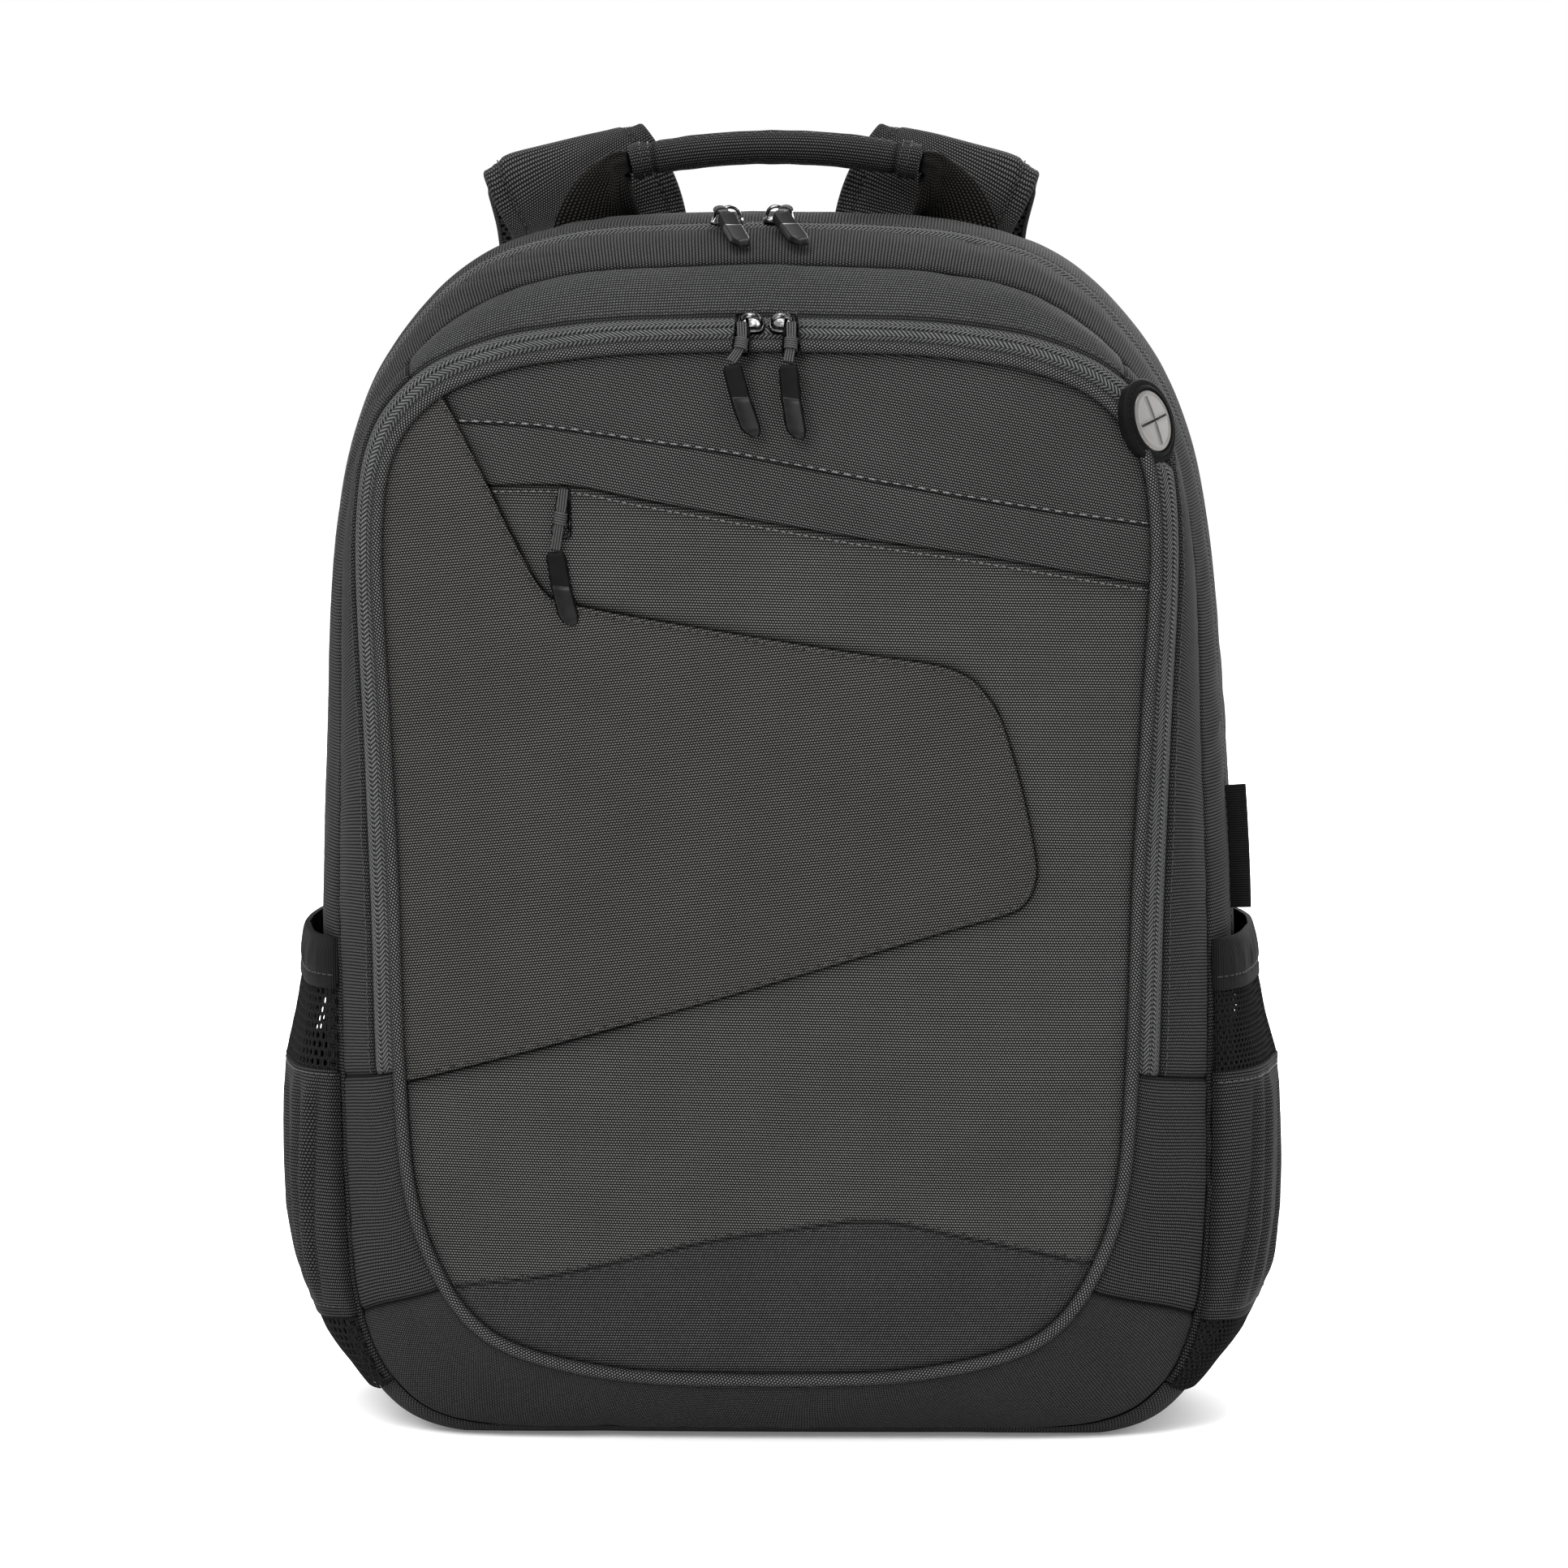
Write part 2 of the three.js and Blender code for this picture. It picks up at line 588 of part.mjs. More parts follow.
// Front panel
const FRONT_MIDDLE = (FRONT_FOOT + FRONT_TOP) / 2;
const frontPlane = (z) => sectionDepth(SECTIONS[0], clamp((z - FRONT_FOOT) / (FRONT_TOP - FRONT_FOOT), 0, 1));

function domePoint(turn, share) {
  const edge = besidePiping(turn, -PIPING_RADIUS - CLEARANCE);
  const x = edge.x * share;
  const z = lerp(FRONT_MIDDLE, edge.z, share);
  return new THREE.Vector3(x, frontPlane(z) - FRONT_DOME * (1 - share ** 3), z);
}

// The whole front sheet in rings, from its edge to its middle.
function frontSheet(lift) {
  const shares = [1, 0.9, 0.68, 0.36];
  const turns = ringTurns();
  const front = shares.flatMap((share) => turns.map((turn) => domePoint(turn, share)));
  front.push(domePoint(0, 0));
  const points = [0, WALL].flatMap((depth) =>
    front.map((point) => point.clone().add(new THREE.Vector3(0, depth - lift, 0))));
  const faces = [];
  const count = turns.length;
  const half = front.length;
  for (let i = 0; i < count; i += 1) {
    const next = (i + 1) % count;
    for (let r = 0; r < shares.length - 1; r += 1) {
      const [a, b] = [r * count + i, r * count + next];
      const [c, d] = [b + count, a + count];
      faces.push(a, b, c, a, c, d);
      faces.push(half + a, half + c, half + b, half + a, half + d, half + c);
    }
    const rim = (shares.length - 1) * count;
    faces.push(rim + i, rim + next, half - 1);
    faces.push(half + rim + i, 2 * half - 1, half + rim + next);
    faces.push(i, half + i, half + next, i, half + next, next);
  }
  return closedBody(points, faces);
}

const onFront = ({ across, up }) => [across * FRONT_HALF, lerp(FRONT_FOOT, FRONT_TOP, up)];

function frontPiece(outline, lift = 0) {
  const drawn = inset(outline.map(onFront), SEAM_GAP / 2);
  const prism = extruded(drawn, BODY_DEPTH).rotateX(Math.PI / 2);
  return common(frontSheet(lift), prism);
}

// Depth of the front panel's face at a place seen from the front.
function frontDepth(x, z) {
  const angle = Math.atan2(z - FRONT_MIDDLE, x);
  let low = 0;
  let high = RING;
  const angleOf = (turn) => {
    const edge = domePoint(turn, 1);
    return Math.atan2(edge.z - FRONT_MIDDLE, edge.x);
  };
  const behind = (turn) => euclideanModulo(Math.PI / 2 - angleOf(turn), 2 * Math.PI);
  const target = euclideanModulo(Math.PI / 2 - angle, 2 * Math.PI);
  for (let step = 0; step < 30; step += 1) {
    const middle = (low + high) / 2;
    if (behind(middle) > target) high = middle;
    else low = middle;
  }
  const edge = domePoint(low, 1);
  const reach = Math.hypot(edge.x, edge.z - FRONT_MIDDLE);
  const share = Math.hypot(x, z - FRONT_MIDDLE) / reach;
  return frontPlane(z) - FRONT_DOME * (1 - Math.min(share, 1) ** 3);
}

const back = (list) => [...list].reverse();
const frontPieces = () => [
  mesh('front_top_panel', ballistic, frontPiece([
    ...DIAGONAL.slice(0, 2), ...FLAP_TOP,
    { across: BESIDE_PANEL, up: ABOVE_PANEL }, { across: -0.95, up: ABOVE_PANEL },
  ])),
  mesh('pocket_flap', ballistic, frontPiece([
    DIAGONAL[2], ...FLAP_TOP, ...back(FLAP_EDGE),
  ], FLAP_LIFT)),
  mesh('front_panel', ballistic, frontPiece([
    ...FLAP_EDGE, ...back(INSERT_TOP), ...back(TONGUE), DIAGONAL[3],
  ])),
  mesh('tongue_panel', ballistic, frontPiece([
    ...TONGUE, { across: -BESIDE_PANEL, up: ABOVE_PANEL }, ...DIAGONAL,
  ])),
  mesh('bottom_insert', fineCloth, frontPiece([
    ...INSERT_TOP, { across: BESIDE_PANEL, up: BELOW_PANEL }, { across: -BESIDE_PANEL, up: BELOW_PANEL },
  ])),
];

function pipingRing(radius) {
  const path = ringTurns().map((turn) => ringPoint(SECTIONS[0], turn));
  const section = roundSection(2 * radius, 2 * radius, 6);
  return sweep(path, () => section, () => new THREE.Vector3(0, 1, 0), true);
}

// Body
const zipEnd = backFrom(ZIP_END);
const bootTop = backFrom(BOOT_TOP);

function bodyPieces() {
  const zipBand = [ZIP_INNER, ZIP_OUTER];
  const gussetBand = [ZIP_OUTER, SEAM];
  const frontBand = [ZIP_INNER, SEAM];
  const mainBand = [SEAM, MAIN_ZIP_FRONT];
  const zipStrip = [MAIN_ZIP_FRONT, MAIN_ZIP_REAR];
  const rearBand = [MAIN_ZIP_REAR, BACK_EDGE_PLACE];
  const left = mirrored;
  const shoulder = fixed(TOP_GUSSET_TURN);
  const base = fixed(BASE_TURN);
  const mainZipEnd = fixed(MAIN_ZIP_TURN);
  const frontPatch = (from, to, places) => patch({ from, to, places, step: FRONT_PLACE_STEP });
  return [
    mesh('front_zip', tape, patch({ from: left(zipEnd), to: zipEnd, places: zipBand, wall: TAPE_WALL })),
    mesh('front_gusset_top', fineCloth, frontPatch(left(shoulder), shoulder, gussetBand)),
    mesh('front_gusset_left', ballistic, frontPatch(left(zipEnd), left(shoulder), gussetBand)),
    mesh('front_gusset_right', ballistic, frontPatch(shoulder, zipEnd, gussetBand)),
    mesh('lower_side_left', ballistic, frontPatch(left(bootTop), left(zipEnd), frontBand)),
    mesh('lower_side_right', ballistic, frontPatch(zipEnd, bootTop, frontBand)),
    mesh('boot', fineCloth, frontPatch(bootTop, throughFoot(bootTop), frontBand)),
    mesh('main_gusset', ballistic, patch({ from: left(base), to: base, places: mainBand })),
    mesh('main_zip', tape, patch({ from: left(mainZipEnd), to: mainZipEnd, places: zipStrip, wall: TAPE_WALL })),
    mesh('zip_foot_left', ballistic, patch({ from: left(base), to: left(mainZipEnd), places: zipStrip })),
    mesh('zip_foot_right', ballistic, patch({ from: mainZipEnd, to: base, places: zipStrip })),
    mesh('rear_gusset', ballistic, patch({ from: left(base), to: base, places: rearBand })),
    mesh('base_panel', coarse, patch({
      from: base, to: throughFoot(base), places: [SEAM, BACK_EDGE_PLACE], wall: BASE_WALL,
    })),
  ];
}

// Back panel: two padded columns and a channel between them, rounded off at the edges.
const BACK_PLANE = ringPoint(SECTIONS[BACK_EDGE_PLACE], CROWN).y + SEAM_GAP;
const BACK_FACE = BACK_PLANE + BACK_PAD;
const BACK_TOP = ringPoint(SECTIONS[BACK_EDGE_PLACE], CROWN).z;

function backPanel() {
  const rim = ringTurns().map((turn) => {
    const point = ringPoint(SECTIONS[BACK_EDGE_PLACE], turn);
    return [point.x, point.z];
  });
  const half = Math.max(...rim.map(([x]) => x));
  const top = Math.max(...rim.map(([, z]) => z));
  const foot = Math.min(...rim.map(([, z]) => z));
  const across = [
    [-half - 1, 0], [-half - 1, BACK_EDGE], [-half + 8, 0.75 * BACK_PAD], [-half + 22, BACK_PAD],
    [-BACK_CHANNEL, BACK_PAD], [-BACK_CHANNEL / 2, 0.6 * BACK_PAD],
    [BACK_CHANNEL / 2, 0.6 * BACK_PAD], [BACK_CHANNEL, BACK_PAD],
    [half - 22, BACK_PAD], [half - 8, 0.75 * BACK_PAD], [half + 1, BACK_EDGE], [half + 1, 0],
  ];
  const upward = [
    [foot - 1, 0], [foot - 1, BACK_EDGE], [foot + 8, 0.75 * BACK_PAD], [foot + 24, BACK_PAD + 1],
    [top - 24, BACK_PAD + 1], [top - 8, 0.75 * BACK_PAD], [top + 1, BACK_EDGE], [top + 1, 0],
  ];
  const columns = extruded(across, BODY_HEIGHT).translate(0, BACK_PLANE, 0);
  const face = extruded(rim, BODY_DEPTH).rotateX(Math.PI / 2).translate(0, BODY_DEPTH, 0);
  const ends = extruded(upward, 4 * BODY_HALF).rotateY(-Math.PI / 2).translate(2 * BODY_HALF, BACK_PLANE, 0);
  return common(columns, face, ends);
}

// Side pockets, standing off the skin between the seam and the back
const POCKET_PLACES = [SEAM + 0.12, BACK_EDGE_PLACE - 0.9];

function pocketOutside(side) {
  return (place, turn) => {
    const height = skin(place, turn * side).z;
    const down = clamp((POCKET_TOP - height) / (POCKET_TOP - POCKET_FOOT), 0, 1);
    const row = POCKET_LEVELS.findIndex((level) => level.down > down);
    const [above, below] = row < 0 ? POCKET_LEVELS.slice(-2) : POCKET_LEVELS.slice(row - 1, row + 1);
    const out = lerp(above.out, below.out, (down - above.down) / (below.down - above.down));
    const share = (place - POCKET_PLACES[0]) / (POCKET_PLACES[1] - POCKET_PLACES[0]);
    const swell = Math.sin(Math.PI * clamp(share, 0, 1)) ** 0.6;
    return CLEARANCE + POCKET_WALL + POCKET_BULGE * out * swell;
  };
}

function pocketPieces(side, sideName) {
  const level = (height) => (place) => turnAtHeight(place, height);
  const piece = (top, foot, wall = POCKET_WALL) => {
    const [from, to] = side > 0 ? [level(top), level(foot)] : [mirrored(level(foot)), mirrored(level(top))];
    return patch({ from, to, places: POCKET_PLACES, outside: pocketOutside(side), wall, step: 0.5 });
  };
  const hemFoot = POCKET_TOP - POCKET_HEM;
  return [
    mesh(`pocket_hem_${sideName}`, netting, piece(POCKET_TOP, hemFoot)),
    mesh(`pocket_mesh_${sideName}`, netting, piece(hemFoot, POCKET_BAND_TOP)),
    mesh(`pocket_band_${sideName}`, ballistic, piece(POCKET_BAND_TOP, POCKET_BAND_FOOT)),
    mesh(`pocket_foot_${sideName}`, netting, piece(POCKET_BAND_FOOT, POCKET_FOOT)),
  ];
}

function labelTab() {
  const level = (height) => (place) => turnAtHeight(place, height);
  return patch({
    from: level(LABEL_TOP), to: level(LABEL_TOP - LABEL_HEIGHT),
    places: [MAIN_ZIP_FRONT - 0.1, MAIN_ZIP_FRONT - 0.05],
    outside: () => LABEL_REACH, wall: LABEL_REACH - CLEARANCE,
  });
}

// Cable port on the right shoulder
const PORT_PLACE = 2;
const PORT_LIFT = 1.6; // from the cloth to the rubber's middle
const PORT_SINK = 10; // how deep the port's rubber would reach without the cloth

function portPieces() {
  const turn = turnAtHeight(PORT_PLACE, PORT_UP * FRONT_TOP);
  const facing = skinNormal(PORT_PLACE, turn);
  const seat = besideSkin(PORT_PLACE, turn, PORT_LIFT);
  const turned = (profile) => {
    const lathe = new THREE.LatheGeometry(profile.map(([r, h]) => new THREE.Vector2(r, h)), 16);
    lathe.applyQuaternion(new THREE.Quaternion().setFromUnitVectors(new THREE.Vector3(0, 1, 0), facing));
    return lathe.translate(seat.x, seat.y, seat.z);
  };
  const rimFloor = 1.2;
  const rubber = turned([
    [0, -PORT_SINK], [0.8 * PORT_RADIUS, -PORT_SINK], [PORT_RADIUS, -0.4 * PORT_SINK], [PORT_RADIUS, 0.6],
    [0.9 * PORT_RADIUS, 2.8], [PORT_DISC_RADIUS + 1.2, 3.4], [PORT_DISC_RADIUS + CLEARANCE, 2.6],
    [PORT_DISC_RADIUS + CLEARANCE, rimFloor], [0, rimFloor],
  ]);
  const disc = turned([
    [0, rimFloor + CLEARANCE], [PORT_DISC_RADIUS, rimFloor + CLEARANCE], [PORT_DISC_RADIUS, 2.6],
    [PORT_DISC_RADIUS - 1, 3.2], [0, 3.8],
  ]);
  const clothUnder = patch({
    from: fixed(turn - 2), to: fixed(turn + 2), places: [ZIP_INNER - 0.6, SEAM + 0.8],
    outside: () => CLEARANCE, wall: 3 * PORT_SINK, step: FRONT_PLACE_STEP,
  });
  return [
    mesh('port_surround', plastic, cut(rubber, clothUnder, pipingRing(PIPING_RADIUS + 2 * CLEARANCE))),
    mesh('port_disc', silver, disc),
  ];
}

// Handle
const HANDLE_BACK = BACK_PLANE - 0.5 * HANDLE_DEEP;
const HANDLE_TOP = BODY_HEIGHT + HANDLE_RISE;

function handlePieces() {
  const steps = 8;
  const path = Array.from({ length: steps + 1 }, (_, i) => {
    const share = (2 * i) / steps - 1;
    return new THREE.Vector3(share * HANDLE_HALF, HANDLE_BACK, HANDLE_TOP - HANDLE_SAG * share * share);
  });
  const section = roundSection(HANDLE_DEEP, HANDLE_THICK, 10);
  const grip = sweep(path, () => section, () => new THREE.Vector3(0, 1, 0));
  return [
    mesh('handle_grip', ballistic, grip),
    mesh('handle_web_left', webbing, handleWeb(-1)),
    mesh('handle_web_right', webbing, handleWeb(1)),
  ];
}

// The webbing leaves the sleeve rolled up and spreads flat to its seam behind the top edge. out,
// back and down are shares of the way from the sleeve's end to the seam, and turned is the direction
// of the webbing's width seen from the front, in degrees.
const WEB_ROUTE = [
  { out: 0.08, back: 0, down: 0, turned: 270, wide: 0.22, thick: 3 },
  { out: 0.4, back: 0.05, down: 0.05, turned: 250, wide: 0.34, thick: 2.4 },
  { out: 0.72, back: 0.4, down: 0.35, turned: 215, wide: 0.66, thick: 1.6 },
  { out: 0.95, back: 0.9, down: 0.72, turned: 176, wide: 0.92, thick: 1 },
  { out: 1, back: 1, down: 1, turned: 166, wide: 1, thick: 1 },
];

function handleWeb(side) {
  const seamBack = BACK_PLANE + 0.8 * BACK_PAD + 3 * CLEARANCE + WEB_THICK / 2;
  const path = WEB_ROUTE.map(({ out, back: behind, down }) => new THREE.Vector3(
    side * lerp(HANDLE_HALF, HANDLE_WEB_OUT, out),
    lerp(HANDLE_BACK, seamBack, behind),
    lerp(HANDLE_TOP - HANDLE_SAG, BACK_TOP - 8, down),
  ));
  const section = (i) => padSection(WEB_ROUTE[i].wide * HANDLE_WEB_WIDTH, WEB_ROUTE[i].thick * WEB_THICK);
  return sweep(path, section, (i) => {
    const angle = degToRad(WEB_ROUTE[i].turned);
    return new THREE.Vector3(side * Math.cos(angle), 0, Math.sin(angle));
  });
}

// Shoulder straps
function strapFrames(side) {
  const root = BACK_FACE + CLEARANCE + STRAP_THICK / 2;
  const aside = side > 0 ? STRAP_ASIDE.right : STRAP_ASIDE.left;
  const out = (row) => side * (row.out * BODY_HALF + aside);
  return STRAP_ROUTE.map((row) => ({
    point: new THREE.Vector3(out(row), root + row.back * STRAP_REACH, row.up * BODY_HEIGHT),
    across: new THREE.Vector3(1, 0, -side * Math.tan(degToRad(row.tilt))),
    width: row.wide * STRAP_WIDTH,
  }));
}

function strap(side) {
  const frames = strapFrames(side);
  const path = frames.map((frame) => frame.point);
  return sweep(path, (i) => padSection(frames[i].width, STRAP_THICK), (i) => frames[i].across);
}

function ladderLock(side) {
  const half = LOCK_WIDTH / 2;
  const slotHalf = half - LOCK_BAR;
  const shape = new THREE.Shape([
    new THREE.Vector2(-half, -LOCK_HEIGHT), new THREE.Vector2(half, -LOCK_HEIGHT),
    new THREE.Vector2(half, 0), new THREE.Vector2(-half, 0),
  ]);
  const slotHeight = (LOCK_HEIGHT - 3 * LOCK_BAR) / 2;
  for (const top of [-LOCK_BAR, -2 * LOCK_BAR - slotHeight]) {
    shape.holes.push(new THREE.Path([
      new THREE.Vector2(-slotHalf, top), new THREE.Vector2(-slotHalf, top - slotHeight),
      new THREE.Vector2(slotHalf, top - slotHeight), new THREE.Vector2(slotHalf, top),
    ]));
  }
  const geometry = new THREE.ExtrudeGeometry(shape, { depth: LOCK_THICK, bevelEnabled: false });
  geometry.rotateX(Math.PI / 2);
  const end = strapFrames(side).at(-1).point;
  return geometry.translate(end.x, end.y + LOCK_THICK / 2, end.z - CLEARANCE);
}

// Webbing from the body's lower corner up through the lock's lower slot and down again.
function lowerWeb(side) {
  const end = strapFrames(side).at(-1).point;
  const barFoot = end.z - CLEARANCE - LOCK_HEIGHT;
  const barMiddle = barFoot + LOCK_BAR / 2;
  const inner = end.y - LOCK_THICK / 2 - CLEARANCE - LOWER_WEB_THICK / 2;
  const outer = end.y + LOCK_THICK / 2 + CLEARANCE + LOWER_WEB_THICK / 2;
  const barTop = barFoot + LOCK_BAR;
  const bend = barTop + 2 * CLEARANCE + LOWER_WEB_THICK / 2;
  const corner = new THREE.Vector3(side * 0.8 * BODY_HALF, BACK_FACE + CLEARANCE + LOWER_WEB_THICK / 2, 0.09 * BODY_HEIGHT);
  const path = [
    corner,
    corner.clone().add(new THREE.Vector3(-side * 3, 1, 14)),
    new THREE.Vector3(lerp(corner.x, end.x, 0.65), lerp(corner.y, inner, 0.65), lerp(corner.z, barMiddle, 0.6)),
    new THREE.Vector3(end.x, inner, barMiddle - 9),
    new THREE.Vector3(end.x, inner, barTop),
    new THREE.Vector3(end.x, lerp(inner, outer, 0.2), bend),
    new THREE.Vector3(end.x, lerp(inner, outer, 0.8), bend),
    new THREE.Vector3(end.x, outer, barTop),
    new THREE.Vector3(end.x, outer + 0.5, barMiddle - 9),
    new THREE.Vector3(end.x + side * 2, outer + 1, barFoot - LOWER_WEB_TAIL),
  ];
  const section = padSection(LOWER_WEB_WIDTH, LOWER_WEB_THICK);
  const lean = (end.x - corner.x) / (barMiddle - corner.z);
  const across = [
    ...Array(3).fill(new THREE.Vector3(1, 0, -lean)),
    ...Array(7).fill(new THREE.Vector3(1, 0, 0)),
  ];
  return sweep(path, () => section, (i) => across[i]);
}

function strapPieces(side, sideName) {
  return [
    mesh(`strap_${sideName}`, ballistic, strap(side)),
    mesh(`ladder_lock_${sideName}`, plastic, ladderLock(side)),
    mesh(`lower_web_${sideName}`, webbing, lowerWeb(side)),
  ];
}

// Zip pulls: a slider with an arch, a flat frame through the arch, a cord and a moulded grip.
// Each is drawn flat, x across, y up and z off the cloth, and then laid on its cloth.
const ARCH_ROOM = SLIDER_THICK + CLEARANCE + (ARCH_RISE - ARCH_BAR) / 2; // middle of the arch's opening
const FRAME_ABOVE = ARCH_WIDTH / 2 + CLEARANCE + 1.5; // from the arch to the frame's top end

function slider() {
  const body = extruded(
    roundSection(1, 1, 12).map(([x, y]) => [
      (SLIDER_LENGTH / 2) * Math.sign(x) * Math.abs(2 * x) ** 0.6,
      (SLIDER_WIDTH / 2) * Math.sign(y) * Math.abs(2 * y) ** 0.6,
    ]),
    SLIDER_THICK,
  );
  const arc = (half, rise) => Array.from({ length: 9 }, (_, i) => {
    const angle = (Math.PI * i) / 8;
    return [half * Math.cos(angle), rise * Math.sin(angle) ** 0.7];
  });
  const outer = arc(0.44 * SLIDER_LENGTH, ARCH_RISE);
  const inner = arc(0.44 * SLIDER_LENGTH - ARCH_BAR, ARCH_RISE - ARCH_BAR);
  const arch = extruded([...outer, ...back(inner)], ARCH_WIDTH);
  arch.rotateX(Math.PI / 2).translate(0, ARCH_WIDTH / 2, SLIDER_THICK - 0.2);
  return join(body, arch);
}

function pullFrame() {
  const outline = (inward) => {
    const top = FRAME_TOP_WIDTH / 2 - inward;
    const foot = FRAME_FOOT_WIDTH / 2 - inward;
    const high = FRAME_ABOVE - inward;
    const low = FRAME_ABOVE - FRAME_LENGTH + inward;
    const round = 0.7 * foot;
    return [
      [-top, high], [-foot, low + round], [-0.5 * foot, low], [0.5 * foot, low], [foot, low + round], [top, high],
    ].map(([x, y]) => new THREE.Vector2(x, y));
  };
  const shape = new THREE.Shape(outline(0));
  shape.holes.push(new THREE.Path(outline(FRAME_BAR)));
  const geometry = new THREE.ExtrudeGeometry(shape, { depth: FRAME_THICK, bevelEnabled: false });
  return geometry.translate(0, 0, -FRAME_THICK / 2);
}

function grip() {
  const outline = GRIP_OUTLINE.map(({ across, along }) => [across * GRIP_WIDTH, -along * GRIP_LENGTH]);
  return extruded(outline, GRIP_THICK);
}

// Turns a flat drawing so that its y runs along up and its z along off.
function laid(geometry, origin, up, off) {
  const z = off.clone().normalize();
  const x = new THREE.Vector3().crossVectors(up, z).normalize();
  const y = new THREE.Vector3().crossVectors(z, x);
  const matrix = new THREE.Matrix4().makeBasis(x, y, z).setPosition(origin);
  return geometry.clone().applyMatrix4(matrix);
}

// Cord from the frame over its foot to the grip, with the knot that wraps it.
function pullCord(points, knotAt, across) {
  const curve = new THREE.CatmullRomCurve3(points);
  const path = curve.getPoints(5);
  const section = roundSection(CORD_WIDTH, CORD_THICK, 6);
  const cord = sweep(path, () => section, () => across);
  const knot = new THREE.SphereGeometry(1, 6, 4).scale(0.85 * CORD_WIDTH, 0.7 * CORD_THICK, 0.75 * CORD_THICK);
  return join(cord, knot.translate(knotAt.x, knotAt.y, knotAt.z));
}

// How each zip carries its pulls: the frame's slope below level, and the grip's distance from the
// slider along the cloth and its slope.
const ZIPS = {
  front: { place: 1.5, frameSlope: 57, knotDown: 12, gripDrop: 17, gripForward: 10.3, gripSlope: 77 },
  main: { place: 6.5, frameSlope: 15, knotDown: 3.4, gripDrop: 1.9, gripForward: 14, gripSlope: 22 },
};

function pullPieces({ name, zip, across, side, gripAcross, gripLean }) {
  const { place, frameSlope, knotDown, gripDrop, gripForward, gripSlope } = ZIPS[zip];
  const turn = Math.sign(across) * turnAtAcross(place, Math.abs(across));
  const off = skinNormal(place, turn);
  const along = new THREE.Vector3(1, 0, 0);
  const acrossTape = new THREE.Vector3().crossVectors(off, along);
  const seat = besideSkin(place, turn, CLEARANCE);
  const room = seat.clone().addScaledVector(off, ARCH_ROOM - CLEARANCE + 0.3);

  const slope = degToRad(frameSlope);
  const frameUp = new THREE.Vector3(0, Math.cos(slope), Math.sin(slope));
  const frameOff = new THREE.Vector3(0, -Math.sin(slope), Math.cos(slope));
  const barInset = 0.44 * SLIDER_LENGTH - ARCH_BAR - FRAME_BAR - 3 * CLEARANCE;
  const frameAt = room.clone();
  frameAt.x += side * (barInset + FRAME_TOP_WIDTH / 2);

  const gripAngle = degToRad(gripSlope);
  const gripUp = new THREE.Vector3(-Math.sin(degToRad(gripLean)), Math.cos(gripAngle), Math.sin(gripAngle));
  const gripOff = new THREE.Vector3(0, -Math.sin(gripAngle), Math.cos(gripAngle));
  const gripTop = room.clone().add(new THREE.Vector3(0, -gripForward, -gripDrop));
  gripTop.x = gripAcross;

  const ahead = FRAME_THICK / 2 + CLEARANCE + CORD_THICK / 2;
  const onFrame = (down) => frameAt.clone().addScaledVector(frameUp, -down).addScaledVector(frameOff, ahead);
  const gripMiddle = gripTop.clone().addScaledVector(gripOff, GRIP_THICK / 2);
  const cordEnd = gripMiddle.clone().addScaledVector(gripUp.clone().normalize(), CORD_END_GAP);
  const cordPoints = [onFrame(2.4), onFrame(knotDown), cordEnd];
  return [
    mesh(`${name}_slider`, metal, laid(slider(), seat, acrossTape, off)),
    mesh(`${name}_frame`, metal, laid(pullFrame(), frameAt, frameUp, frameOff)),
    mesh(`${name}_cord`, webbing, pullCord(cordPoints, onFrame(knotDown - 0.5), along)),
    mesh(`${name}_grip`, plastic, laid(grip(), gripTop, gripUp, gripOff)),
  ];
}

// The pocket's pull comes out from under the flap's edge.
function pocketPull() {
  const { across, gripAcross, gripLean } = POCKET_PULL;
  const flapEdge = lerp(FRONT_FOOT, FRONT_TOP, 0.8665);
  const lie = (x, z, lift) => new THREE.Vector3(x, frontDepth(x, z) - lift, z);
  const frameDown = 3.5;
  const frameTop = lie(across, flapEdge - SEAM_GAP - frameDown, CLEARANCE + FRAME_THICK / 2 + 0.6);
  const frameFoot = lie(across - 1, flapEdge - SEAM_GAP - FRAME_LENGTH, CLEARANCE + FRAME_THICK / 2 + 0.6);
  const frameUp = frameTop.clone().sub(frameFoot).normalize();
  const right = new THREE.Vector3(1, 0, 0);
  const off = right.clone().cross(frameUp);
  const gripTop = lie(gripAcross, flapEdge - 25, 1.2);
  const gripFoot = lie(gripAcross, flapEdge - 25 - GRIP_LENGTH, 0.6);
  const gripUp = gripTop.clone().sub(gripFoot).normalize();
  gripUp.x -= Math.sin(degToRad(gripLean));
  const ahead = FRAME_THICK + CLEARANCE + CORD_THICK / 2 + 1.1;
  const cordPoints = [
    lie(across, flapEdge - SEAM_GAP - 0.8, ahead + 0.2),
    lie(across - 1.2, flapEdge - 12, ahead),
    lie(gripAcross, flapEdge - 25 + CORD_END_GAP, 1.2 + GRIP_THICK / 2),
  ];
  return [
    mesh('pocket_pull_frame', metal, laid(pullFrame(), frameTop, frameUp, off)),
    mesh('pocket_pull_cord', webbing, pullCord(cordPoints, cordPoints[1], right)),
    mesh('pocket_pull_grip', plastic, laid(grip(), gripTop, gripUp, right.clone().cross(gripUp))),
  ];
}

function mesh(name, material, geometry) {
  geometry.computeVertexNormals();
  const piece = new THREE.Mesh(geometry, material);
  piece.name = name;
  return piece;
}

function group(name, pieces) {
  const set = new THREE.Group();
  set.name = name;
  set.add(...pieces);
  return set;
}

